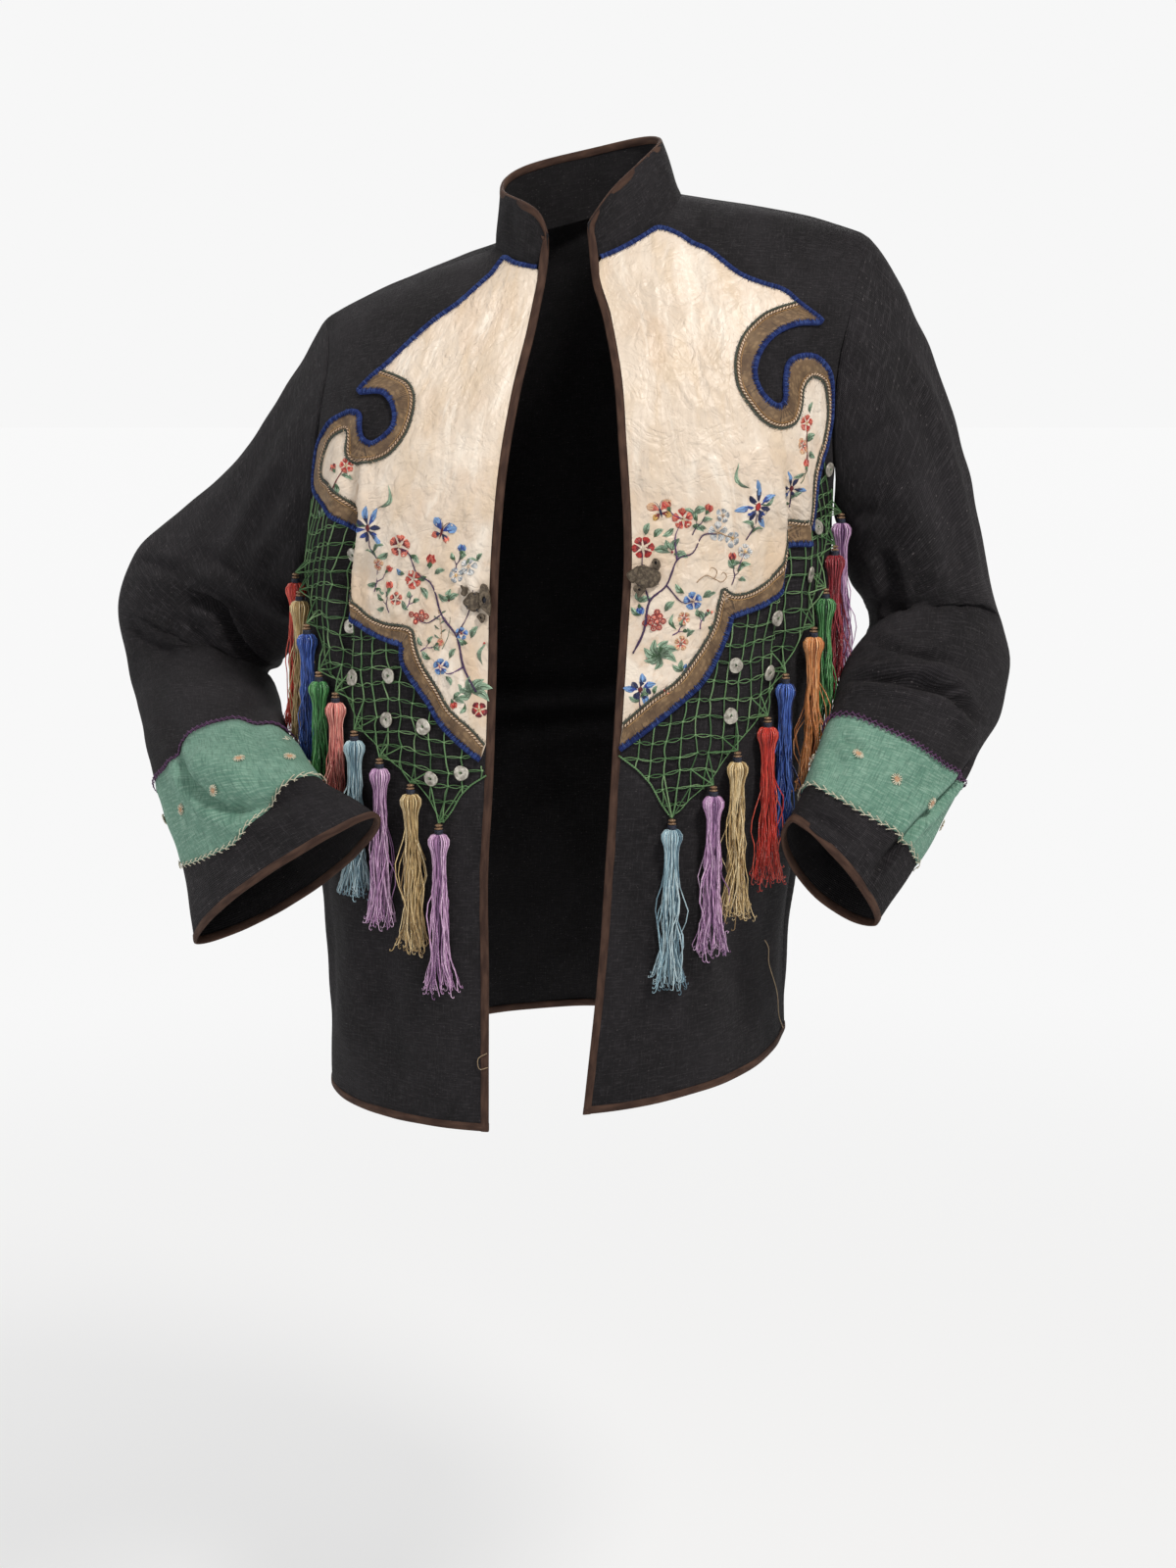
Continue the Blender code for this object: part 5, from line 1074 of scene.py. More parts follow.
for line, depth, width, lip, lean in [
        ([(-0.52, 0.16), (-0.44, 0.34), (-0.40, 0.52)], 3.2, 15, 0.3, 0.1),
        ([(0.50, 0.18), (0.42, 0.36), (0.46, 0.55)], 3.4, 15, 0.3, -0.1),
        ([(-0.10, 0.14), (-0.06, 0.34), (-0.12, 0.52)], -2.0, 18, 0.2, 0.0),
        ([(-0.93, 0.24), (-0.74, 0.31), (-0.58, 0.36)], 4.2, 9, 0.4, 0.2),
        ([(0.93, 0.23), (0.75, 0.29), (0.60, 0.33)], 4.0, 9, 0.4, 0.2),
        ([(-0.95, 0.34), (-0.80, 0.40), (-0.66, 0.47)], 3.4, 8, 0.4, 0.0),
        ([(0.95, 0.35), (0.79, 0.42), (0.63, 0.48)], 3.6, 8, 0.4, 0.0),
        ([(-0.52, 0.535), (-0.20, 0.55), (0.16, 0.54), (0.47, 0.555)], 2.6, 9, 0.4, 0.1),
        ([(-0.30, 0.60), (0.02, 0.585), (0.34, 0.60)], 1.9, 8, 0.4, 0.0),
        ([(-0.78, 0.58), (-0.70, 0.78), (-0.76, 0.99)], 4.6, 18, 0.3, 0.0),
        ([(-0.44, 0.62), (-0.40, 0.80), (-0.46, 0.99)], -4.2, 20, 0.2, 0.0),
        ([(-0.10, 0.63), (-0.08, 0.82), (-0.04, 0.99)], 4.0, 18, 0.3, 0.0),
        ([(0.28, 0.62), (0.32, 0.80), (0.28, 0.99)], -4.4, 20, 0.2, 0.0),
        ([(0.62, 0.60), (0.66, 0.80), (0.62, 0.99)], 4.6, 18, 0.3, 0.0),
        ([(-0.24, 0.07), (0.0, 0.075), (0.25, 0.07)], 1.5, 7, 0.4, 0.0),
        ([(-0.80, 0.07), (-0.66, 0.12), (-0.56, 0.20)], 1.8, 8, 0.4, 0.0),
        ([(0.82, 0.08), (0.68, 0.13), (0.57, 0.21)], 1.8, 8, 0.4, 0.0)]:
    back.crease(line, depth * 1.5, width, lip, lean)
back.uneven(41, 130, 1.3)
back.uneven(42, 40, 0.35)
aa, bb = np.meshgrid(np.abs(back.a), back.b)
back.settle(smoothstep((1 - aa) * 230, 0, 20) * smoothstep(bb * 640, 0, 16))

SLEEVE_FOLDS = {
    "right": [
        ([(0.45, 0.385), (0.80, 0.365), (1.20, 0.332)], 2.6, 5.5, 0.5, 0.2),
        ([(1.35, 0.352), (1.75, 0.319), (1.99, 0.331), (2.44, 0.363), (2.95, 0.408)], 8.6, 5.2, 0.6, 0.35),
        ([(1.17, 0.712), (1.22, 0.74), (1.29, 0.765), (1.40, 0.79), (1.50, 0.81), (1.61, 0.83), (1.71, 0.835), (1.82, 0.826), (1.93, 0.808)], 4.6, 5.0, 0.5, 0.25),
        ([(1.42, 0.745), (1.62, 0.775), (1.80, 0.795)], -3.8, 8, 0.2, 0.0),
        ([(1.10, 0.322), (1.82, 0.266), (2.55, 0.219), (3.25, 0.19)], -4.6, 9, 0.35, 0.2),
        ([(2.05, 0.455), (2.5, 0.47), (3.1, 0.49)], 4.0, 7, 0.4, 0.2),
        ([(0.70, 0.480), (1.00, 0.525), (1.35, 0.575)], 3.0, 5.5, 0.5, 0.2),
        ([(1.30, 0.44), (1.70, 0.50), (1.90, 0.60)], -2.8, 11, 0.2, 0.0),
        ([(0.85, 0.04), (1.05, 0.16), (1.20, 0.28)], 2.2, 13, 0.3, 0.0),
        ([(1.95, 0.05), (1.75, 0.14), (1.62, 0.24)], 3.0, 9, 0.4, 0.1),
        ([(2.55, 0.06), (2.30, 0.13), (2.05, 0.20)], 2.6, 7, 0.4, 0.1),
        ([(1.30, 0.742), (1.70, 0.750), (2.02, 0.800)], -5.0, 9, 0.2, 0.1),
        ([(1.55, 0.835), (2.02, 0.850), (2.45, 0.815), (2.8, 0.78)], 5.0, 7, 0.3, 0.1),
        ([(2.5, 0.60), (2.3, 0.68), (2.25, 0.76)], 2.8, 8, 0.4, 0.0),
        ([(0.9, 0.62), (1.2, 0.68), (1.25, 0.74)], 1.8, 8, 0.4, 0.0),
        ([(3.30, 0.34), (3.90, 0.365), (4.55, 0.345)], 6.0, 7, 0.5, 0.3),
        ([(3.5, 0.43), (4.2, 0.45), (5.0, 0.425)], 5.0, 7, 0.5, -0.2),
        ([(4.3, 0.28), (4.9, 0.30), (5.5, 0.325)], -3.6, 10, 0.3, 0.0),
        ([(4.6, 0.51), (5.1, 0.535), (5.6, 0.51)], 4.0, 8, 0.4, 0.0),
        ([(3.7, 0.58), (4.3, 0.61), (4.8, 0.66)], 3.2, 9, 0.4, 0.0),
        ([(4.9, 0.06), (5.0, 0.16), (5.2, 0.26)], 2.8, 12, 0.3, 0.0),
        ([(3.9, 0.08), (4.2, 0.15), (4.5, 0.21)], 3.4, 8, 0.4, 0.0),
        ([(4.4, 0.72), (4.7, 0.82), (4.6, 0.94)], 3.0, 9, 0.3, 0.0),
        ([(5.5, 0.62), (5.6, 0.74), (5.4, 0.86)], 2.2, 9, 0.3, 0.0)],
    "left": [
        ([(2.85, 0.655), (2.10, 0.676), (1.45, 0.678), (1.00, 0.690)], -4.4, 7.5, 0.35, 0.2),
        ([(3.20, 0.692), (2.62, 0.700), (2.23, 0.702), (1.95, 0.705), (1.64, 0.702), (1.36, 0.708), (1.01, 0.718), (0.72, 0.712)], 8.2, 4.8, 0.6, 0.35),
        ([(2.95, 0.618), (2.72, 0.625), (2.30, 0.647), (1.99, 0.655), (1.60, 0.648)], 5.2, 4.2, 0.6, 0.3),
        ([(2.75, 0.802), (2.44, 0.805), (2.20, 0.822)], 3.5, 3.8, 0.5, 0.3),
        ([(0.36, 0.745), (0.52, 0.79), (0.77, 0.84), (0.94, 0.875), (1.03, 0.915), (1.16, 0.995)], 4.8, 3.8, 0.4, 0.45),
        ([(2.24, 0.31), (2.30, 0.381), (2.46, 0.47)], 5.5, 6.5, 0.4, 0.3),
        ([(2.65, 0.42), (2.45, 0.50), (2.40, 0.58)], 3.6, 7, 0.4, 0.2),
        ([(2.30, 0.050), (1.85, 0.11), (1.40, 0.160)], 2.6, 7, 0.4, 0.1),
        ([(2.75, 0.08), (2.45, 0.15), (2.15, 0.20)], 3.2, 6.5, 0.4, 0.1),
        ([(1.05, 0.08), (1.15, 0.28), (1.22, 0.50)], 3.0, 12, 0.35, 0.1),
        ([(1.75, 0.18), (1.82, 0.38), (1.68, 0.58)], -2.8, 12, 0.25, 0.0),
        ([(0.48, 0.14), (0.55, 0.36), (0.62, 0.58)], 2.8, 12, 0.3, 0.0),
        ([(1.45, 0.50), (1.62, 0.56), (2.00, 0.60)], 2.4, 6, 0.4, 0.1),
        ([(2.60, 0.966), (2.10, 0.960), (1.62, 0.955)], 3.3, 3.8, 0.5, 0.2),
        ([(2.9, 0.80), (2.5, 0.85), (2.3, 0.93)], 2.2, 7, 0.3, 0.0),
        ([(3.5, 0.50), (4.1, 0.53), (4.7, 0.505)], 5.5, 7, 0.5, 0.3),
        ([(3.6, 0.60), (4.3, 0.62), (5.0, 0.59)], 5.0, 7, 0.5, -0.2),
        ([(4.2, 0.43), (4.9, 0.45), (5.5, 0.47)], -3.4, 10, 0.3, 0.0),
        ([(4.7, 0.68), (5.2, 0.70), (5.7, 0.67)], 3.6, 8, 0.4, 0.0),
        ([(3.8, 0.10), (4.1, 0.19), (4.5, 0.26)], 3.6, 8, 0.4, 0.0),
        ([(4.9, 0.06), (5.0, 0.22), (5.1, 0.38)], 2.8, 13, 0.3, 0.0),
        ([(3.5, 0.30), (3.9, 0.34), (4.4, 0.36)], 3.2, 8, 0.4, 0.0),
        ([(4.3, 0.76), (4.6, 0.86), (4.5, 0.96)], 3.0, 9, 0.3, 0.0)],
}
for side, seed in (("right", 61), ("left", 71)):
    f = sleeves[side]
    for line, depth, width, lip, lean in SLEEVE_FOLDS[side]:
        f.crease(line, depth * (1.4 if abs(depth) > 3.4 else 1.15), width, lip * 1.2, lean)
    f.uneven(seed, 90, 0.9)
    f.uneven(seed + 5, 32, 0.34)
    aa, bb = np.meshgrid(f.a, f.b)
    f.settle(smoothstep(bb * 430, 0, 20))
    f.p[:, -1] = f.p[:, 0]
    f.refresh()


# ------------------------------------------------------------------ body cloth
def rolled(*edges):
    """Height of cloth that dips where it is turned under along a seam; edges give mm from each seam for every point."""
    def shape(ab):
        out = np.zeros(len(ab))
        for far in edges:
            out -= 1.0 * np.exp(-(far(ab) / 2.6) ** 2)
        return out
    return shape


EDGE_IN = 2.5
panels = {}
for side, sign in (("right", -1), ("left", 1)):
    f = fronts[side]
    start = shifted(f, [(0.0, v) for v in np.linspace(-1, -0.066, 60)], -sign * EDGE_IN)
    hem = shifted(f, [(w, -1.0) for w in f.a[::3]], EDGE_IN)
    if sign > 0:
        hem = hem[::-1]
    hem_inner = [p for p in hem if abs(start[0][0]) + 0.01 < abs(p[0]) < 0.995]
    if abs(hem_inner[0][0]) < 0.5:
        hem_inner = hem_inner[::-1]
    v_hem = hem_inner[-1][1]
    start = [(start[0][0], v_hem)] + [p for p in start if p[1] > v_hem + 0.004]
    neck = shifted(f, neck_line(0, 3, 16) if side == "right" else neck_line(10, 7, 16), 0.4 if side == "right" else -0.4)
    neck = [p for p in neck if abs(p[0]) > abs(start[-1][0]) + 0.006 and p[1] < -0.003]
    outer = [(sign * 1.0, v) for v in np.linspace(0, hem_inner[0][1], 60)]
    outline = start + neck + [(neck[-1][0] + sign * 0.004, 0.0)] + outer + hem_inner
    panels[side] = lay("front_" + side + "_cloth", f, outline, 0.0, 1.2, [MAT["cloth"], MAT["cloth_in"]], ["front_" + side],
                       step=3.8, mat_in=1, shape=rolled(lambda ab: (1 - np.abs(ab[:, 0])) * 225, lambda ab: -ab[:, 1] * 640))

neck = shifted(back, neck_line(3, 7, 30), 0.4)
neck = [p for p in neck if p[1] > 0.004]
hem = shifted(back, [(w, 1.0) for w in back.a[::3]], -EDGE_IN)
hem = [p for p in hem if abs(p[0]) < 0.995][::-1]
outline = ([(neck[0][0] - 0.006, 0.0)] + neck + [(neck[-1][0] + 0.006, 0.0)] + [(1.0, v) for v in np.linspace(0, hem[0][1], 60)]
           + hem + [(-1.0, v) for v in np.linspace(hem[-1][1], 0, 60)])
panels["back"] = lay("back_cloth", back, outline, 0.0, 1.2, [MAT["cloth"], MAT["cloth_in"]], ["back"],
                     step=4.3, mat_in=1, shape=rolled(lambda ab: (1 - np.abs(ab[:, 0])) * 230, lambda ab: ab[:, 1] * 640))


def tube(name, sheet, s0, s1, height, thick, mats, nodes, around=150, rows=None, mat_in=None, roll=()):
    """A cloth tube on a sleeve from line s0 to line s1, each a function of theta; roll names the ends that are turned under."""
    ts = np.linspace(0, 2 * math.pi, around, endpoint=False)
    top, end = np.array([s0(t) for t in ts]), np.array([s1(t) for t in ts])
    rows = rows or max(4, int((end - top).mean() * 460 / 3.2))
    share = np.linspace(0, 1, rows)
    ab = np.stack([np.tile(ts, rows), (top[None] + (end - top)[None] * share[:, None]).ravel()], -1)
    up = np.full(len(ab), float(height))
    length = (end - top).mean() * 460
    for which in roll:
        far = (share if which == "top" else 1 - share) * length
        up -= np.repeat(0.9 * np.exp(-(far / 2.4) ** 2), around)
    outer, _ = sheet.put(ab, up)
    inner, _ = sheet.put(ab, up - thick)
    i, k = np.meshgrid(np.arange(rows - 1), np.arange(around), indexing="ij")
    l = (k + 1) % around
    faces = np.stack([i * around + k, i * around + l, (i + 1) * around + l, (i + 1) * around + k], -1).reshape(-1, 4)
    if sheet.sign < 0:
        faces = faces[:, ::-1]
    build = Build()
    uv = sheet.uv(ab[:, 0], ab[:, 1])
    build.add(np.concatenate([outer, inner]), [], 0, np.concatenate([uv, uv]))
    n = len(ab)
    for q in faces.tolist():
        build.f.append(tuple(q)); build.m.append(0)
    for q in faces[:, ::-1].tolist():
        build.f.append(tuple(x + n for x in q)); build.m.append(0 if mat_in is None else mat_in)
    for row in (0, rows - 1):
        for x in range(around):
            p, q = row * around + x, row * around + (x + 1) % around
            face = (p, q, q + n, p + n) if (row == 0) == (sheet.sign < 0) else (q, p, p + n, q + n)
            build.f.append(face); build.m.append(0)
    obj = build.make(name, mats, nodes)
    return obj


FOUR = [(h, l) for h in ("outer", "inner") for l in ("upper", "lower")]
for side in ("right", "left"):
    f = sleeves[side]
    inset = shifted(f, [(t, 1.0) for t in np.linspace(0, 2 * math.pi, 61)], -EDGE_IN)
    at_t, at_s = [p[0] for p in inset], [p[1] for p in inset]
    panels["sleeve_" + side] = tube(
        f"sleeve_{side}_cloth", f, lambda t: 0.001, lambda t: float(np.interp(t, at_t, at_s)), 0.0, 1.2,
        [MAT["cloth"], MAT["cloth_in"]], [f"sleeve_{side}_{h}_{l}" for h, l in FOUR], around=150, mat_in=1, roll=("top",))
    panels["band_" + side] = tube(
        f"sleeve_band_{side}_linen", f, lambda t: float(band_line(side, "top", t)),
        lambda t: float(band_line(side, "end", t)), 1.15, 0.8, [MAT["band"]], ["sleeve_band_" + side],
        around=150, rows=22, roll=("top", "end"))

# ------------------------------------------------------------------ collar
def foot_of(k):
    side, u, v = neck_uv(k)
    w = u if side == "left" else -u
    p, n = fronts[side].at(w, v) if v < 0 else back.at(w, v)
    return p


ks, hs = np.linspace(0, 10, 161), np.linspace(0, 1, 15)
feet, tops = np.array([foot_of(k) for k in ks]) - [0, 0, 1.6], np.array([table_value(COLLAR_TOP, k) for k in ks])
for _ in range(2):
    feet[1:-1] = (feet[:-2] + 2 * feet[1:-1] + feet[2:]) / 4
collar = Sheet(ks, hs, feet[None] + (tops - feet)[None] * hs[:, None, None], 1)
if (collar.n[7] * (collar.p[7] - collar.p[7].mean(0)) * [1, 1, 0]).sum(1).mean() < 0:
    collar.sign = -1
    collar.refresh()
collar.crease([(1.9, 0.1), (2.3, 0.5), (2.2, 0.9)], 1.4, 6, 0.4)
collar.crease([(8.0, 0.05), (7.6, 0.5), (7.9, 0.9)], 1.2, 6, 0.4)
collar.crease([(5.1, 0.1), (5.0, 0.5), (5.3, 0.9)], -1.0, 8, 0.3)
collar.uneven(91, 46, 0.5)
aa, bb = np.meshgrid(collar.a, collar.b)
collar.settle(smoothstep(bb, 0, 0.25))
outline = [(k, 0.0) for k in np.linspace(0.03, 9.97, 80)] + [(k, 0.97) for k in np.linspace(9.97, 0.03, 80)]
panels["collar"] = lay("collar_cloth", collar, outline, 0.8, 1.9, [MAT["cloth"], MAT["cloth_in"]], ["collar"], step=3.2, mat_in=1)


# ------------------------------------------------------------------ bindings: a strip folded over the edge
def folded(build, path, inward, out, width, thick, mat=0, closed=False, seed=0):
    """A folded strip: its two long edges are tucked against the cloth and its fold is the garment's edge."""
    rng = np.random.default_rng(seed)
    n = len(path)
    loose = wobble(np.asarray(path, float), seed, 30) * 0.12
    h = thick / 2
    base = np.array([(width, -0.55 * h), (width - 0.5, -0.92 * h), (width * 0.6, -1.0 * h), (width * 0.25, -0.98 * h), (0.5, -0.72 * h), (0.0, -0.3 * h),
                     (0.0, 0.3 * h), (0.5, 0.72 * h), (width * 0.25, 0.98 * h), (width * 0.6, 1.0 * h), (width - 0.5, 0.92 * h), (width, 0.55 * h)])
    section = np.repeat(base[None], n, 0)
    section[..., 0] += (loose[:, None] * (base[:, 0] > 1))
    section[..., 1] *= (1 + loose * 0.5)[:, None]
    section[..., 1] -= 0.6
    points = np.asarray(path)[:, None] + np.asarray(inward)[:, None] * section[..., :1] + np.asarray(out)[:, None] * section[..., 1:2]
    m = section.shape[1]
    i, k = np.meshgrid(np.arange(n if closed else n - 1), np.arange(m - 1), indexing="ij")
    j, l = (i + 1) % n, k + 1
    faces = np.stack([i * m + k, i * m + l, j * m + l, j * m + k], -1).reshape(-1, 4).tolist()
    across = np.concatenate([[0], np.cumsum(np.linalg.norm(np.diff(base, axis=0), axis=1))])
    run = np.concatenate([[0], np.cumsum(np.linalg.norm(np.diff(np.asarray(path), axis=0), axis=1))])
    build.add(points.reshape(-1, 3), faces, mat, np.stack([np.repeat(run, m), np.tile(across, n)], -1) * MM)


def rows_unit(x):
    return x / np.maximum(np.linalg.norm(x, axis=-1, keepdims=True), 1e-9)


def smooth_rows(x, times, closed=False):
    x = np.array(x, float)
    for _ in range(times):
        if closed:
            x = (np.roll(x, 1, 0) + 2 * x + np.roll(x, -1, 0)) / 4
        else:
            x[1:-1] = (x[:-2] + 2 * x[1:-1] + x[2:]) / 4
    return x


path, inward, out = [], [], []


def along_front(side, sign, vs):
    f = fronts[side]
    for v in vs:
        p, n = f.at(0.0, v)
        q, _ = f.at(sign * 0.06, v)
        path.append(p); inward.append(unit(q - p)); out.append(n)


along_front("right", -1, np.linspace(-1.0, -0.072, 170))
for k, h in [(0.0, h) for h in np.linspace(0.3, 0.9, 6)] + [(k, 1.0) for k in np.linspace(0.05, 9.95, 130)] + [(10.0, h) for h in np.linspace(0.9, 0.3, 6)]:
    p, n = collar.at(k, h)
    if h < 1:
        q, _ = collar.at(0.4 if k < 5 else 9.6, h)
    else:
        q, _ = collar.at(min(max(k, 0.3), 9.7), 0.4)
    path.append(p); inward.append(unit(q - p)); out.append(n)
along_front("left", 1, np.linspace(-0.072, -1.0, 170))
path = np.array(path)
keep = np.concatenate([[True], np.linalg.norm(np.diff(path, axis=0), axis=1) > 0.6])
path, inward, out = path[keep], np.array(inward)[keep], np.array(out)[keep]
path = smooth_rows(path, 3)
inward, out = rows_unit(smooth_rows(inward, 6)), rows_unit(smooth_rows(out, 6))
build = Build()
folded(build, path, inward, out, 6.1, 3.1, seed=5)
binding_front = build.make("binding_front_and_collar", [MAT["binding"]], ["front_binding_right", "front_binding_left", "collar_binding"])
FRONT_LENGTH = float(np.linalg.norm(np.diff(path, axis=0), axis=1).sum())

path, inward, out = [], [], []
for f, ws, v, v_in in ((fronts["right"], np.linspace(-0.0, -1.0, 70), -1.0, -0.965), (back, np.linspace(-1.0, 1.0, 140), 1.0, 0.965),
                       (fronts["left"], np.linspace(1.0, 0.0, 70), -1.0, -0.965)):
    for w in ws:
        p, n = f.at(w, v)
        q, _ = f.at(w, v_in)
        path.append(p); inward.append(unit(q - p)); out.append(n)
path = np.array(path)
keep = np.concatenate([[True], np.linalg.norm(np.diff(path, axis=0), axis=1) > 0.6])
path, inward, out = smooth_rows(path[keep], 4), rows_unit(smooth_rows(np.array(inward)[keep], 8)), rows_unit(smooth_rows(np.array(out)[keep], 8))
build = Build()
folded(build, path, inward, out, 6.4, 3.1, seed=6)
binding_hem = build.make("binding_hem", [MAT["binding"]], ["hem_binding_right", "hem_binding_left", "hem_binding_back"])
HEM_LENGTH = float(np.linalg.norm(np.diff(path, axis=0), axis=1).sum())

CUFF_LENGTH = {}
for side in ("right", "left"):
    f = sleeves[side]
    ts = np.linspace(0, 2 * math.pi, 130, endpoint=False)
    path, out = f.at(ts, np.ones(len(ts)))
    inner, _ = f.at(ts, np.full(len(ts), 0.93))
    build = Build()
    folded(build, smooth_rows(path, 2, True), rows_unit(smooth_rows(inner - path, 3, True)), rows_unit(smooth_rows(out, 3, True)), 6.4, 3.0, closed=True, seed=7)
    build.make("binding_cuff_" + side, [MAT["binding"]], ["cuff_binding_" + side])
    CUFF_LENGTH[side] = float(np.linalg.norm(np.diff(np.vstack([path, path[:1]]), axis=0), axis=1).sum())


# ------------------------------------------------------------------ yoke outlines
TASSEL_LENGTH = 122.0
TASSEL_STAND_OFF, TASSEL_STAND_OFF_HIGH = 9.5, 8.6


def signed(points, sign):
    return [(sign * u, v) for u, v in points]


def stopped(line, w_min):
    """The line up to where it comes within w_min of the front edge."""
    out = []
    for p, q in zip(line, line[1:]):
        out.append(p)
        if abs(q[0]) <= abs(w_min):
            t = (abs(p[0]) - abs(w_min)) / (abs(p[0]) - abs(q[0]))
            return out + [(w_min, p[1] + (q[1] - p[1]) * t)]
    return out + [line[-1]]


def even(f, line, spacing):
    """The line with its points spread evenly, this far apart in mm."""
    line = np.asarray(line, float)
    p, _ = f.at(line[:, 0], line[:, 1])
    run = np.concatenate([[0], np.cumsum(np.linalg.norm(np.diff(p, axis=0), axis=1))])
    n = max(2, int(run[-1] / spacing) + 1)
    t = np.linspace(0, run[-1], n)
    return np.stack([np.interp(t, run, line[:, 0]), np.interp(t, run, line[:, 1])], -1)


def at_mm(f, sign, v, mm):
    (w0, v0), (w1, v1) = shifted(f, [(0.0, v), (0.0, v + 0.01)], -sign * mm)
    return abs(w0 + (w1 - w0) * (v - v0) / (v1 - v0))


def cord(build, f, line, height, radius, mat=0, sides=6, spacing=1.6, wave_mm=0.0, wave_len=3.0, plies=0, ply_len=5.0, phase=0.0, rough=0.0, seed=0, hug=0.9):
    """A cord lying on the cloth: plain, wavy in the cloth's plane, or twisted from plies."""
    ab = even(f, line, spacing)
    p, n = f.at(ab[:, 0], ab[:, 1])
    p, n = smooth_rows(p, 1), smooth_rows(n, 2)
    t, s, u = frames(p, n)
    run = np.concatenate([[0], np.cumsum(np.linalg.norm(np.diff(p, axis=0), axis=1))])
    base = p + u * height
    if wave_mm:
        base = base + s * (wave_mm * np.sin(2 * math.pi * run / wave_len + phase))[:, None]
    jitter = np.random.default_rng(seed)
    for k in range(max(plies, 1)):
        path = base
        r = radius * np.ones(len(base))
        if plies:
            turn = 2 * math.pi * (run / ply_len + k / plies) + phase
            path = base + (s * np.cos(turn)[:, None] + u * (np.sin(turn) * hug)[:, None]) * radius * 0.62
            r = r * 0.72
        if rough:
            r = r * (1 + jitter.normal(0, rough, len(r)))
        sweep(build, path, r, sides, mat, up=u, start=k * 37.0)


YOKE = {}
for side, sign in (("right", -1), ("left", 1)):
    f = fronts[side]
    way = 1 if side == "right" else -1
    w_in = sign * at_mm(f, sign, -0.55, 4.8)
    turn = {"right": (4,), "left": (7,)}[side]
    upper = smooth_line(signed(YOKE_UPPER_EDGE[side], sign), 6, corners=turn)
    notch = {"right": (4,), "left": (6,)}[side]
    lower = stopped(smooth_line(signed(YOKE_LOWER_EDGE[side], sign), 6, corners=notch), w_in)
    line = neck_line(0, 3, 27) if side == "right" else neck_line(10, 7, 27)
    neck = shifted(f, line, 5.2 if side == "right" else -5.2)
    w_neck = sign * at_mm(f, sign, -0.08, 6.2)
    neck = [p for p in neck if abs(w_neck) + 0.004 < abs(p[0]) < abs(upper[0][0]) - 0.02]
    neck.insert(0, (w_neck, neck[0][1] - 0.003))
    front_line = [(sign * at_mm(f, sign, v, 6.2), v) for v in np.linspace(-0.555, -0.075, 30)]
    satin = neck + upper + lower + front_line
    inner_up = smooth_line(signed(RIBBON_UPPER[side], sign), 6)
    cusp = {"right": (5,), "left": (7,)}[side]
    inner_low = stopped(smooth_line(signed(RIBBON_LOWER[side], sign), 6, corners=cusp), w_in)
    first = {"right": 18, "left": 36}[side]
    YOKE[side] = dict(w_in=w_in, way=way, upper=upper, lower=lower, neck=neck, satin=satin, inner_up=inner_up, inner_low=inner_low,
                      ribbon_up=upper[first:], first=first)


# ------------------------------------------------------------------ satin
def crumpled(f, y, seed):
    def place(line):
        return f.at(*np.asarray(line, float).T)[0]
    rim = place(y["satin"])
    outer = [place(y["ribbon_up"]), place(y["lower"])]
    inner = [place(y["inner_up"]), place(y["inner_low"])]

    def shape(ab):
        p, _ = f.at(ab[:, 0], ab[:, 1])
        far, _, _ = far_from(p, rim, closed=True)
        under = np.minimum(far_from(p, outer[0])[0], far_from(p, outer[1])[0])
        beside = np.minimum(far_from(p, inner[0])[0], far_from(p, inner[1])[0])
        fade = smoothstep(far, 1.5, 13.0) * smoothstep(under, 13.0, 22.0) * smoothstep(beside, 1.0, 8.0)
        soft = 0.45 * wobble(p, seed, 34, 8)
        sharp = 1 - np.abs(wobble(p * [1, 1, 0.62], seed + 1, 24, 6))
        sharp2 = 1 - np.abs(wobble(p * [1, 1, 0.8], seed + 2, 14, 7))
        slant = 1 - np.abs(wobble(p @ np.array([[0.9, 0, 0.42], [0, 1, 0], [-0.16, 0, 0.34]]), seed + 3, 17, 7))
        ridges = 1.1 * np.clip(sharp, 0, 1) ** 6 + 0.8 * np.clip(sharp2, 0, 1) ** 6 + 1.1 * np.clip(slant, 0, 1) ** 7
        return np.clip((0.3 + soft + 1.3 * ridges) * fade, -0.2, 3.4)
    return shape


SATIN = {}
for side, sign in (("right", -1), ("left", 1)):
    y, f = YOKE[side], fronts[side]
    SATIN[side] = crumpled(f, y, 300 if sign < 0 else 320)
    panels["satin_" + side] = lay(f"yoke_satin_{side}_cloth", f, y["satin"], 0.5, 0.6, [MAT["satin"]], ["yoke_satin_" + side],
                                  step=2.5, line_step=2.4, inward=False, shape=SATIN[side])


def on_satin(side, ab, height=0.0):
    """Points in mm and normals on the satin's upper face."""
    ab = np.asarray(ab, float)
    f = fronts[side]
    flat = ab.reshape(-1, 2)
    up = SATIN[side](flat) + 1.1
    p, n = f.at(flat[:, 0], flat[:, 1])
    return (p + n * (up + height)[:, None]).reshape(ab.shape[:-1] + (3,)), n.reshape(ab.shape[:-1] + (3,))


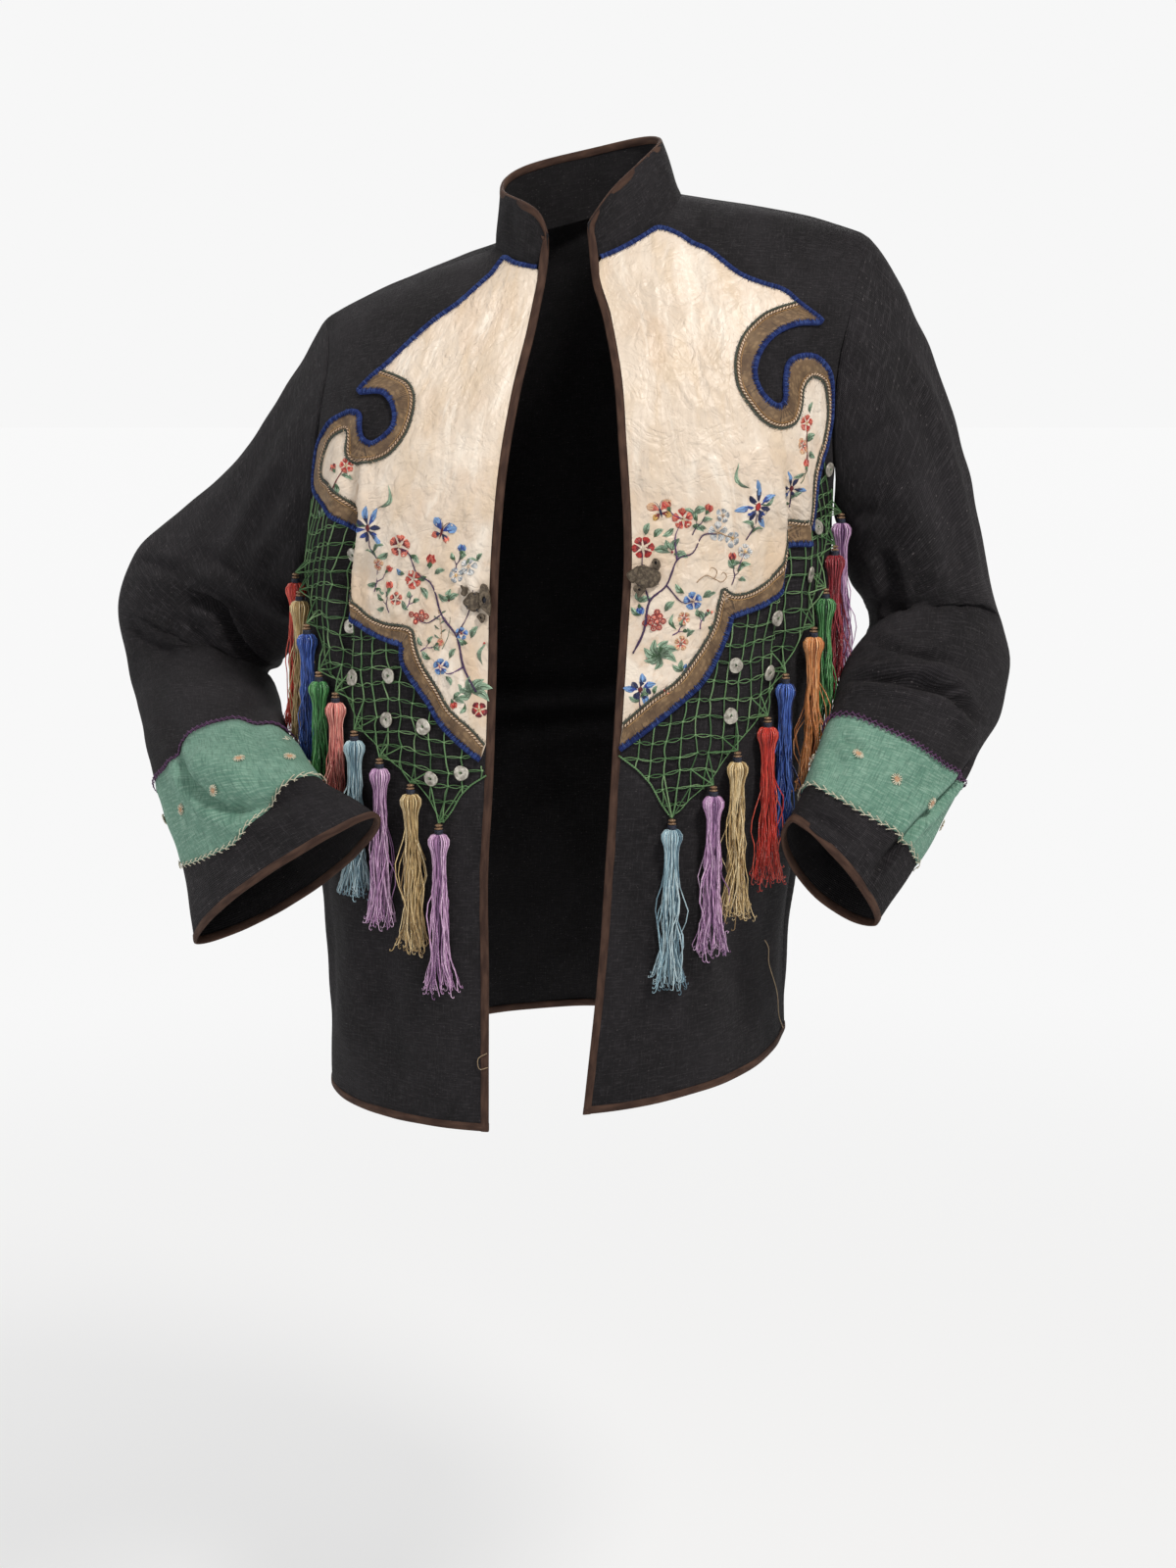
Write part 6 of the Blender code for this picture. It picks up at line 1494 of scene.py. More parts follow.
# ------------------------------------------------------------------ ribbon, couched edges, piping
def ribbon(build, f, outer, inner, height, thick, spacing=2.2, across=7, mat=0):
    """A woven ribbon between two lines, a little raised in its middle."""
    a = even(f, outer, spacing)
    b = even(f, inner, spacing * 0.5)
    pa, _ = f.at(a[:, 0], a[:, 1])
    pb, _ = f.at(b[:, 0], b[:, 1])
    _, along, _ = far_from(pa, pb)
    along = np.maximum.accumulate(along)
    even_share = np.linspace(0, 1, len(a))
    along = 0.72 * along + 0.28 * even_share
    along[0], along[-1] = 0.0, 1.0
    along = np.maximum.accumulate(along)
    share = np.linspace(0, 1, len(b))
    b2 = np.stack([np.interp(along, share, b[:, 0]), np.interp(along, share, b[:, 1])], -1)
    cross = np.linspace(0, 1, across)
    ab = a[:, None] * (1 - cross)[None, :, None] + b2[:, None] * cross[None, :, None]
    p, n = f.at(ab[..., 0], ab[..., 1])
    rise = height + thick + 0.35 * np.sin(math.pi * cross) ** 0.5
    wave = 0.16 * wobble(p.reshape(-1, 3), 9, 22).reshape(ab.shape[:2])
    top = p + n * (rise[None] + wave)[..., None]
    edge0, edge1 = p[:, :1] + n[:, :1] * (height - 0.7), p[:, -1:] + n[:, -1:] * (height - 0.7)
    ring = np.concatenate([edge0, top, edge1], 1)
    m = ring.shape[1]
    run = np.concatenate([[0], np.cumsum(np.linalg.norm(np.diff(pa, axis=0), axis=1))])
    width = np.linalg.norm(pa - f.at(b2[:, 0], b2[:, 1])[0], axis=1)
    v = np.concatenate([[-0.05], cross, [1.05]])[None] * np.maximum(width, 2)[:, None]
    uv = np.stack([np.repeat(run, m), v.ravel()], -1) * MM
    i, k = np.meshgrid(np.arange(len(a) - 1), np.arange(m - 1), indexing="ij")
    faces = np.stack([i * m + k, (i + 1) * m + k, (i + 1) * m + k + 1, i * m + k + 1], -1).reshape(-1, 4)
    mid_face = ring[0, 1], ring[0, 2], ring[1, 2]
    facing = np.cross(ring[1, 1] - ring[0, 1], ring[0, 2] - ring[0, 1]) @ n[0, 0]
    if facing < 0:
        faces = faces[:, ::-1]
    build.add(ring.reshape(-1, 3), faces.tolist(), mat, uv)
    return float(run[-1]), float(width.mean())


RIBBON_SIZE = {}
for side, sign in (("right", -1), ("left", 1)):
    y, f = YOKE[side], fronts[side]
    way = y["way"]
    for which, outer, inner in (("upper", y["ribbon_up"], y["inner_up"]), ("lower", y["lower"], y["inner_low"])):
        build = Build()
        RIBBON_SIZE[side, which] = ribbon(build, f, outer, inner, 1.1, 0.7)
        build.make(f"yoke_ribbon_{which}_{side}_woven", [MAT["ribbon"]], [f"yoke_ribbon_{which}_{side}"])
        # on the satin side a cream and brown cord, then a dark looped gimp; a gold cord on the other side
        build = Build()
        spaced = [tuple(p) for p in even(f, inner, 3.0)]
        edge_line = shifted(f, spaced, 0.9 * way)
        cord(build, f, edge_line, 1.9, 0.5, mat=1, sides=5, spacing=0.72, wave_mm=0.8, wave_len=2.6)
        cord(build, f, edge_line, 1.7, 0.42, mat=1, sides=5, spacing=0.72, wave_mm=0.8, wave_len=2.6, phase=math.pi)
        rope = shifted(f, spaced, -1.35 * way)
        cord(build, f, rope, 2.0, 0.84, mat=0, sides=6, spacing=0.9, plies=1, ply_len=2.6, hug=0.5)
        cord(build, f, rope, 2.0, 0.84, mat=3, sides=6, spacing=0.9, plies=1, ply_len=2.6, phase=math.pi, hug=0.5)
        cord(build, f, shifted(f, spaced, -3.1 * way), 2.1, 0.26, mat=2, sides=5, spacing=1.2, wave_mm=0.3, wave_len=2.3)
        # slanting stitches that hold the ribbon down
        rng = np.random.default_rng(31)
        ab = even(f, inner, 4.6)
        p, n = f.at(ab[:, 0], ab[:, 1])
        t, s, u = frames(p, n)
        for i in range(1, len(p) - 1):
            over = s[i] * way
            reach = rng.uniform(0.6, 2.6)
            slip = rng.uniform(0.6, 2.2)
            q = p[i] + u[i] * 2.35 - over * 3.0
            sweep(build, [q + over * 0.4, q + over * reach * 0.5 + t[i] * slip * 0.5 + u[i] * 0.15, q + over * reach + t[i] * slip], 0.2, 4, 4 if rng.random() < 0.65 else 0, caps=False)
        build.make(f"yoke_couching_{which}_{side}", [MAT["couch"], MAT["gimp"], MAT["gold_cord"], MAT["brown_cord"], MAT["dark_thread"]], [])
    for which, line in (("upper", y["neck"][1:] + y["upper"]), ("lower", y["lower"])):
        build = Build()
        laid = shifted(f, [tuple(p) for p in even(f, line, 2.4)], -1.5 * way)
        if which == "lower":
            laid = stopped(laid, y["w_in"] * 1.05)
        cord(build, f, laid, 1.5, 1.75, sides=7, spacing=0.7, rough=0.07, seed=21)
        # close stitches in the same floss run from the cord over the ribbon's edge
        rng = np.random.default_rng(77 + len(laid))
        ab = even(f, laid, 0.9)
        p, n = f.at(ab[:, 0], ab[:, 1])
        t, s, u = frames(p, n)
        for i in range(len(p)):
            over = -s[i] * way
            reach = rng.uniform(2.0, 3.7)
            slip = rng.uniform(-0.7, 0.7)
            q = p[i]
            sweep(build, [q - over * 1.5 + u[i] * 1.5, q - over * 0.6 + u[i] * 3.1, q + over * 0.9 + u[i] * 3.05 + t[i] * slip * 0.4, q + over * reach + u[i] * 2.05 + t[i] * slip],
                  [0.3, 0.36, 0.34, 0.2], 4, 0, caps=False)
            if i % 3 == 0:
                a = rng.uniform(0.2, math.pi - 0.2)
                out = -over * math.cos(a) + u[i] * math.sin(a)
                root = q + u[i] * 1.5 + out * 1.6
                tip = root + out * rng.uniform(0.4, 1.1) + t[i] * rng.uniform(-1.5, 1.5)
                sweep(build, [root, (root + tip) / 2 + t[i] * rng.uniform(-0.2, 0.2), tip], [0.15, 0.12, 0.07], 3, 0, caps=False)
        build.make(f"yoke_piping_{which}_{side}_cord", [MAT["piping"]], [f"yoke_piping_{which}_{side}"])


# ------------------------------------------------------------------ net
def ball(build, centre, up, side_way, radii, mat=0, rings=5, sides=8, squash=1.0):
    third = np.cross(up, side_way)
    points, faces = [], []
    for j in range(rings + 1):
        a = math.pi * j / rings
        for k in range(sides):
            b = 2 * math.pi * k / sides
            points.append(centre + side_way * radii[0] * math.sin(a) * math.cos(b) + third * radii[1] * math.sin(a) * math.sin(b) + up * radii[2] * math.cos(a))
    for j in range(rings):
        for k in range(sides):
            l = (k + 1) % sides
            faces.append((j * sides + k, (j + 1) * sides + k, (j + 1) * sides + l, j * sides + l))
    build.add(points, faces, mat, np.zeros((len(points), 2)) + [centre[0] * MM, centre[2] * MM])


DISCS = {"right": [(.312, -.482), (.319, -.532), (.197, -.537), (.456, -.488), (.493, -.431), (.506, -.349), (.174, -.595), (.084, -.588)],
         "left": [(.918, -.303), (.754, -.376), (.685, -.418), (.537, -.455), (.394, -.497), (.539, -.508), (.392, -.545)]}
NET_AREA = {}
for side, sign in (("right", -1), ("left", 1)):
    y, f = YOKE[side], fronts[side]
    way, w_in = y["way"], y["w_in"]
    rng = np.random.default_rng(500 + sign)
    under = [tuple(p) for p in even(f, y["lower"], 5.0)]
    lobe_from = {"right": 17, "left": 22}[side]
    lobe = signed(YOKE_UPPER_EDGE[side], sign)[lobe_from:]
    lobe = shifted(f, lobe, -2.4 * way)
    under = stopped(shifted(f, under, -2.4 * way), w_in * 1.05)
    foot = smooth_line(signed(NET_LOWER_EDGE[side], sign), 2)
    foot[0] = (w_in * 1.05, foot[0][1])
    net = lobe + under + foot
    build = Build()
    du, dv = 0.0480, 0.0176
    nodes = {}
    for i in range(22):
        for j in range(30):
            u = 0.034 + du * i + 0.004 * math.sin(j * 1.3 + i) + rng.normal(0, 0.0035)
            v = -0.215 - dv * j - 0.0035 * math.sin(i * 0.9) + 0.010 * (i / 21) + rng.normal(0, 0.0012)
            nodes[i, j] = np.array([sign * u, v])
    keys = list(nodes)
    flags = in_outline(np.array([nodes[k][0] for k in keys]), np.array([nodes[k][1] for k in keys]), net)
    inside = dict(zip(keys, flags))
    knots = {}

    def height_at(ab):
        return 1.25

    def clipped(a, b):
        """From a, inside the net, toward b outside it, up to the net's edge."""
        lo, hi = 0.0, 1.0
        for _ in range(12):
            mid = (lo + hi) / 2
            q = a + (b - a) * mid
            if in_outline(np.array([q[0]]), np.array([q[1]]), net)[0]:
                lo = mid
            else:
                hi = mid
        return a + (b - a) * lo

    def thread(a, b, radius, bow=0.0, mat=0, sag=0.0, n=6):
        ab = a + (b - a) * np.linspace(0, 1, n)[:, None]
        p, nn = f.at(ab[:, 0], ab[:, 1])
        t, s, u = frames(p, nn)
        hump = np.sin(np.linspace(0, math.pi, n))
        p = p + nn * (1.25 + 0.5 * hump * rng.uniform(0.2, 1.2))[:, None] + s * (bow * hump)[:, None]
        p[:, 2] -= sag * hump
        sweep(build, p, radius, 5, mat, up=nn, caps=False)

    for (i, j), a in nodes.items():
        if not inside[i, j]:
            for step in ((1, 0), (0, 1)):
                k = (i + step[0], j + step[1])
                if inside.get(k):
                    b = clipped(nodes[k], a)
                    if step == (0, 1):
                        thread(nodes[k], b, 0.5, rng.normal(0, 0.3), 0)
                    else:
                        thread(nodes[k], b, 0.38, 1.0, 1); thread(nodes[k], b, 0.38, -1.0, 0)
            continue
        knots[i, j] = a
        down = nodes.get((i, j + 1))
        if down is not None:
            end = down if inside.get((i, j + 1)) else clipped(a, down)
            thread(a, end, 0.54 * rng.uniform(0.85, 1.15), rng.normal(0, 0.45), int(rng.random() < 0.3))
        over = nodes.get((i + 1, j))
        if over is not None:
            end = over if inside.get((i + 1, j)) else clipped(a, over)
            gap = rng.uniform(0.6, 1.7)
            thread(a, end, 0.34, gap, int(rng.random() < 0.35))
            thread(a, end, 0.34, -gap * rng.uniform(0.5, 1.1), int(rng.random() < 0.35))
    for a in knots.values():
        p, n = f.at(a[0], a[1])
        ga, gb = f.slopes(a[0], a[1])
        ball(build, p + n * 1.3, n, unit(ga), (1.0 * rng.uniform(0.8, 1.2), 0.95, 0.8), 0, 4, 7)
    # the edge thread and the threads that gather into each tassel
    cord(build, f, foot, 1.3, 0.6, mat=0, sides=5, spacing=2.0, plies=2, ply_len=4)
    cord(build, f, lobe + under, 1.0, 0.55, mat=1, sides=5, spacing=2.0)
    for u, v in TASSELS[side]:
        tip = np.array([sign * u, v])
        p, n = f.at(*tip)
        bead_at = p + n * (TASSEL_STAND_OFF if v < -0.44 else TASSEL_STAND_OFF_HIGH) + np.array([0, 0, 0.5])
        near = sorted(knots.values(), key=lambda k: np.linalg.norm((k - tip) * [225, 640]))[:5]
        for k in near:
            q, m2 = f.at(*k)
            if np.linalg.norm(q - p) < 34:
                mid = (q + m2 * 1.4) * 0.5 + bead_at * 0.5 + m2 * 0.6
                sweep(build, [q + m2 * 1.3, mid + rng.normal(0, 0.6, 3), bead_at], 0.5, 5, int(rng.random() < 0.4), caps=False)
        sweep(build, [p + n * 1.2, (p + n * 1.5 + bead_at) / 2 + [0, 0, 0.8], bead_at], 0.7, 6, 0, caps=False)
    build.make(f"net_{side}_knotted", [MAT["net"], MAT["net_dark"]], ["net_" + side])

    # domed discs sewn on the net
    build = Build()
    for u, v in DISCS[side]:
        p, n = f.at(sign * u, v)
        ga, gb = f.slopes(sign * u, v)
        n = unit(n + rng.normal(0, 0.10, 3))
        x = unit(ga - (ga @ n) * n)
        z = np.cross(n, x)
        a0 = rng.uniform(0, 3)
        x, z = x * math.cos(a0) + z * math.sin(a0), z * math.cos(a0) - x * math.sin(a0)
        rx, rz = rng.uniform(5.6, 6.3), rng.uniform(5.2, 6.0)
        profile = [(0.13, 0.2), (0.15, 1.25), (0.24, 1.55), (0.5, 1.5), (0.74, 1.25), (0.86, 1.28), (0.94, 1.35), (1.0, 1.0), (1.0, 0.2), (0.9, -0.1), (0.13, 0.0)]
        pts, faces = [], []
        sides = 22
        for r, h in profile:
            for k in range(sides):
                b = 2 * math.pi * k / sides
                wob = 1 + 0.035 * math.sin(3 * b + a0) + 0.02 * math.sin(5 * b)
                pts.append(p + n * (2.5 + h) + x * rx * r * wob * math.cos(b) + z * rz * r * wob * math.sin(b))
        for j in range(len(profile)):
            for k in range(sides):
                l, j2 = (k + 1) % sides, (j + 1) % len(profile)
                faces.append((j * sides + k, j * sides + l, j2 * sides + l, j2 * sides + k))
        build.add(pts, faces, 0)
        sweep(build, [p + n * 1.0, p + n * 4.2, p + n * 4.3 + x * 1.2, p + n * 3.0 + x * 2.4], 0.35, 5, 1, caps=False)
    build.make(f"net_discs_{side}", [MAT["disc"], MAT["net_dark"]], [])


# ------------------------------------------------------------------ tassels
def tassel(name, top, colour, seed, tilt):
    rng = np.random.default_rng(seed)
    build = Build()
    x, _, z = np.eye(3)
    # two small cast rings on the cord, then a dark wrapped neck
    for h0, r in ((-1.3, 2.5), (-3.7, 2.8)):
        ball(build, top + [0, 0, h0], z, x, (r, r, 1.25), 1, 6, 12)
        for k in range(8):
            a = 2 * math.pi * k / 8 + h0
            ball(build, top + np.array([math.cos(a) * r * 0.93, math.sin(a) * r * 0.93, h0]), z, x, (0.55, 0.55, 0.6), 1, 3, 5)
    for k in range(4):
        turn = [top + np.array([2.75 * math.cos(a), 2.75 * math.sin(a), -5.4 - k * 0.95 + 0.25 * a / 6.28]) for a in np.linspace(0, 2 * math.pi, 15)[:-1]]
        sweep(build, turn, 0.66, 5, 2, closed=True)
    # a core under the strands in the dark copy of the silk: painted shade in the gaps between strands
    core = [(0.2, -7.6), (3.8, -9.4), (5.6, -12.4), (5.4, -15.5), (3.8, -19.5), (2.7, -24.0), (2.5, -50.0), (2.5, -75.0), (2.0, -92.0), (0.6, -104.0)]
    path = [top + np.array([tilt[0] * (-h / TASSEL_LENGTH) ** 1.3, tilt[1] * (-h / TASSEL_LENGTH) ** 1.3, h]) for _, h in core]
    sweep(build, path, [r for r, _ in core], 10, 3)
    strands = 64
    locks = [(rng.uniform(0, 6.28), rng.uniform(0.06, 0.11), rng.uniform(0.5, 1.3), rng.uniform(-0.8, 0.8)) for _ in range(9)]
    profile = [(2.0, -7.8), (5.3, -9.0), (7.3, -12.2), (7.2, -15.6), (5.6, -20.0), (4.7, -25), (4.4, -33), (4.5, -42), (4.8, -51), (5.0, -60), (5.2, -69), (5.4, -78),
               (5.7, -87), (6.2, -96), (7.0, -104), (8.0, -111), (8.8, -117)]
    for k in range(strands):
        a = 2 * math.pi * (k + rng.uniform(-0.6, 0.6)) / strands
        deep = (1.0, 0.90, 0.72)[k % 3] * rng.uniform(0.95, 1.05)
        phase0, pace, amp, lean = locks[int(rng.integers(0, 9))]
        own, kink = rng.uniform(0, 6.28), rng.uniform(0.20, 0.36)
        swirl = rng.normal(0, 0.45)
        stray = rng.random() < 0.14
        reach_out, from_ = rng.uniform(3.5, 8.5), rng.uniform(0.25, 0.5)
        end = -TASSEL_LENGTH + rng.normal(-0.5, 3.2) - (rng.random() < 0.15) * rng.uniform(-12, 3)
        spread = rng.uniform(-0.35, 1.0)
        pts = []
        for r, h in profile + [(9.4, end)]:
            share = -h / TASSEL_LENGTH
            gain = min(1.0, max(0.0, share - 0.16) * 4)
            wave = (amp * math.sin(phase0 + h * pace) + 0.45 * math.sin(own + h * kink)) * gain
            foot_ = max(0.0, share - 0.72) / 0.28
            rr = r * deep + wave + foot_ ** 1.6 * spread * 4.6
            if stray:
                rr += reach_out * math.sin(math.pi * min(1, max(0, (share - from_) / 0.5))) ** 2
            aa = a + swirl * gain * share + 0.30 * gain * math.sin(phase0 * 2 + h * 0.07)
            out = np.array([rr * math.cos(aa), rr * math.sin(aa) * (0.92 if share < 0.2 else 0.68), h])
            out[0] += tilt[0] * share ** 1.3 + gain * (0.8 * math.sin(own + h * 0.13) + lean * math.sin(phase0 + h * 0.05))
            out[1] += tilt[1] * share ** 1.3 + gain * 0.3 * math.sin(own * 2 + h * kink)
            pts.append(top + out)
        radii = [0.6] + [0.64] * 3 + [0.55, 0.50, 0.47, 0.46, 0.45, 0.44, 0.43, 0.42, 0.41, 0.40, 0.38, 0.36, 0.34, 0.32]
        if rng.random() < 0.7:
            way_out = unit(pts[-1] - pts[-3])
            side_ = unit(np.cross(way_out, [0.2, 1.0, 0.1])) * (1 if rng.random() < 0.5 else -1)
            tip = pts[-1]
            pts += [tip + way_out * 1.4 + side_ * 0.8, tip + way_out * 1.8 + side_ * 2.0, tip + way_out * 0.4 + side_ * 2.2]
            radii += [0.30, 0.29, 0.26]
        sweep(build, pts, radii, 4, 0, start=rng.uniform(0, 900), caps=False)
    return build.make(name, [MAT["silk_" + colour], MAT["bead"], MAT["dark_thread"], MAT["shade_core_" + colour]], [name.replace("_silk", "")])


for side, sign in (("right", -1), ("left", 1)):
    f = fronts[side]
    for number, ((u, v), colour) in enumerate(zip(TASSELS[side], TASSEL_COLOUR[side]), 1):
        p, n = f.at(sign * u, v)
        top = p + n * (TASSEL_STAND_OFF if v < -0.44 else TASSEL_STAND_OFF_HIGH)
        rng = np.random.default_rng(900 + number * 7 + (sign > 0) * 100)
        tassel(f"tassel_{side}_{number}_silk", top, colour, 1000 + number + 50 * (sign > 0), (rng.uniform(-2.5, 2.5), rng.uniform(-1.5, 0.5)))


# ------------------------------------------------------------------ clasp
def plate(build, o, x, y_, n, radius, lobes, depth, size=(1.0, 1.0), thick=1.6, dome=1.5, mat=0, turn=0.0, seg=60):
    """A cast plate with lobes and a raised, grooved face."""
    rings = (0.0, 0.18, 0.34, 0.5, 0.66, 0.8, 0.9, 0.97, 1.0)
    pts, faces = [], []
    for r in rings:
        for k in range(seg):
            a = 2 * math.pi * k / seg
            rr = (radius + depth * math.cos(lobes * (a + turn))) * r
            groove = 0.5 * (1 + math.cos(lobes * (a + turn)))
            h = thick + dome * (math.sqrt(max(1 - r * r, 0)) * (0.45 + 0.55 * groove)) + 0.35 * math.cos(r * 12)
            if r > 0.95:
                h = thick * (0.8 if r < 1 else 0.4)
            pts.append(o + x * rr * math.cos(a) * size[0] + y_ * rr * math.sin(a) * size[1] + n * h)
    for k in range(seg):
        a = 2 * math.pi * k / seg
        rr = radius + depth * math.cos(lobes * (a + turn))
        pts.append(o + x * rr * math.cos(a) * size[0] + y_ * rr * math.sin(a) * size[1])
    m = len(rings)
    for j in range(m):
        for k in range(seg):
            l = (k + 1) % seg
            faces.append((j * seg + k, (j + 1) * seg + k, (j + 1) * seg + l, j * seg + l))
    faces.append(tuple(m * seg + k for k in range(seg))[::-1])
    build.add(pts, faces, mat)


def slab(build, o, x, y_, n, outline, thick=1.5, dome=0.6, mat=0, hole=None, tilt=0.0):
    """A flat cast plate with a rounded rim over an outline in mm; hole is (x, y, rx, ry) of an eye cut through it."""
    line = closed_line(outline, 6)
    seg = len(line)
    if hole is None:
        mid = line.mean(0)
        first = np.repeat(mid[None], seg, 0)
        steps = ((0.0, dome), (0.4, dome), (0.75, dome * 0.8), (0.93, dome * 0.4), (0.985, -0.25), (1.0, -0.8))
    else:
        mid = np.array(hole[:2])
        way = line - mid
        way = way / np.linalg.norm(way, axis=1, keepdims=True)
        first = mid + way * np.array(hole[2:])
        steps = ((0.0, -1.4), (0.0, -0.1), (0.06, 0.35), (0.2, 0.5), (0.34, 0.1), (0.6, 0.15), (0.88, 0.25), (0.97, -0.1), (1.0, -0.8))
    pts, faces = [], []
    for share, h in steps:
        for k in range(seg):
            q = first[k] + (line[k] - first[k]) * share
            pts.append(o + x * q[0] + y_ * q[1] + n * (thick + h + tilt * q[0]))
    m = len(steps)
    for j in range(m - 1):
        for k in range(seg):
            l = (k + 1) % seg
            faces.append((j * seg + k, (j + 1) * seg + k, (j + 1) * seg + l, j * seg + l))
    for k in range(seg):
        pts.append(o + x * line[k][0] + y_ * line[k][1] + n * (tilt * line[k][0] - 0.6))
    for k in range(seg):
        l = (k + 1) % seg
        faces.append(((m - 1) * seg + k, m * seg + k, m * seg + l, (m - 1) * seg + l))
    build.add(pts, faces, mat)


def closed_line(points, times):
    """A smooth closed outline through the points, with rounded corners."""
    p = np.asarray(points, float)
    out = []
    for k in range(len(p)):
        a, b, c, d = p[k - 1], p[k], p[(k + 1) % len(p)], p[(k + 2) % len(p)]
        for t in np.arange(times) / times:
            out.append(0.5 * (2 * b + (c - a) * t + (2 * a - 5 * b + 4 * c - d) * t ** 2 + (3 * b - a - 3 * c + d) * t ** 3))
    out = np.array(out)
    area = np.sum(out[:, 0] * np.roll(out[:, 1], -1) - out[:, 1] * np.roll(out[:, 0], -1))
    return out if area > 0 else out[::-1]


CAST = {  # (height over the cloth, outline in mm, eye)
    "right": [
        (0.0, [(-11.0, -1.0), (-8.6, 3.0), (-5.6, 6.4), (-2.0, 6.6), (1.9, 6.0), (2.9, 0.8), (2.6, -3.6), (-0.2, -6.4), (-2.6, -7.4), (-6.9, -5.4)], None, 0.02),
        (1.5, [(1.7, 3.0), (2.3, 8.0), (2.7, 12.2), (5.1, 13.6), (8.0, 11.0), (10.0, 5.0), (10.9, -2.3), (10.6, -9.6), (7.1, -6.9), (3.0, -3.4)], (5.9, 1.7, 1.6, 2.4), 0.0),
        (0.5, [(3.0, -8.0), (5.6, -9.2), (6.4, -12.4), (4.2, -15.2), (2.2, -13.0), (0.4, -10.6)], (3.6, -11.4, 0.7, 0.8), 0.0),
        (0.5, [(-12.8, 11.6), (-11.4, 8.2), (-12.2, 5.0), (-9.4, 3.6), (-7.6, 6.6), (-8.0, 10.0), (-10.4, 10.4)], None, 0.0)],
    "left": [
        (0.8, [(-4.0, 9.4), (0.2, 9.6), (4.4, 8.7), (8.4, 7.2), (11.4, 5.0), (12.0, 1.2), (10.4, -2.4), (7.6, -5.2), (1.8, -6.4), (-2.1, -5.8), (-6.4, -2.7), (-5.4, 3.1)], None, -0.02),
        (0.2, [(-4.6, 9.4), (-8.4, 7.2), (-12.8, 3.8), (-12.2, 0.6), (-8.6, -3.2), (-6.4, -1.4), (-4.2, 3.0)], None, 0.0),
        (0.4, [(6.4, 8.6), (5.0, 12.4), (6.8, 15.2), (10.2, 14.0), (11.6, 10.2), (10.2, 7.0), (8.2, 7.4)], (8.0, 12.0, 0.9, 1.2), 0.0),
        (0.4, [(-7.4, -5.3), (-4.4, -4.6), (-0.6, -5.4), (1.2, -7.4), (-1.0, -10.6), (-4.0, -13.4), (-5.2, -10.4), (-7.4, -8.4)], (-3.4, -7.6, 0.8, 0.9), 0.0)],
}
for side, sign in (("right", -1), ("left", 1)):
    f = fronts[side]
    u, v = CLASP[side]
    p, n = f.at(sign * u, v)
    up = unit(f.at(sign * u, v + 0.02)[0] - p)
    right = unit(np.cross(up, n))
    up = np.cross(n, right)
    o = p + n * 2.5
    build = Build()
    for high, outline, eye, tilt in CAST[side]:
        slab(build, o + n * high, right, up, n, outline, hole=eye, tilt=tilt)
        ring = closed_line(outline, 6)
        mid = ring.mean(0)
        for share, r in ((0.9, 0.24), (0.72, 0.15)):
            path = [o + n * (high + 1.5 + 0.45 + tilt * q[0]) + right * q[0] + up * q[1] for q in mid + (ring - mid) * share]
            if eye is None:
                sweep(build, path, r, 5, 0, closed=True)
        if eye is not None:
            ball(build, o + n * (high + 0.1) + right * eye[0] + up * eye[1], n, right, (eye[2] * 1.1, eye[3] * 1.1, 0.3), 1, 4, 10)
    for x, y in ((-7.4, -3.6), (-1.4, 5.4), (0.6, -5.6)) if side == "right" else ((-1.0, 8.4), (9.8, -1.6), (-3.2, -4.6)):
        q = o + right * x + up * y
        for g in (-0.5, 0.5):
            sweep(build, [q - n * 1.2 - up * 2.2 + right * g, q + n * 2.75 + right * g * 0.6, q - n * 1.2 + up * 2.2 + right * g], 0.28, 4, 1, caps=False)
    build.make(f"clasp_{side}_cast", [MAT["pewter"], MAT["dark_thread"]], ["clasp_" + side])


# ------------------------------------------------------------------ stitching on the cuff bands
def stitch(build, sheet, a, b, height, radius, mat=0, bulge=0.5, n=5):
    line = np.asarray(a, float) + (np.asarray(b, float) - np.asarray(a, float)) * np.linspace(0, 1, n)[:, None]
    hump = np.sin(np.linspace(0, math.pi, n))
    p, nn = sheet.put(line, height + bulge * (hump - 0.6))
    sweep(build, p, radius, 5, mat, up=nn, caps=False)


def mm_step(sheet, t, s, across_mm, down_mm):
    """A step of so many mm round the sleeve and down it, as a change of (theta, s)."""
    ga, gb = sheet.slopes(t, s)
    gt, gs = ga, gb
    x = unit(gt)
    yv = unit(gs - (gs @ x) * x)
    want = x * across_mm + yv * down_mm
    m2 = np.array([[gt @ gt, gt @ gs], [gt @ gs, gs @ gs]])
    return np.linalg.solve(m2, np.array([gt @ want, gs @ want]))


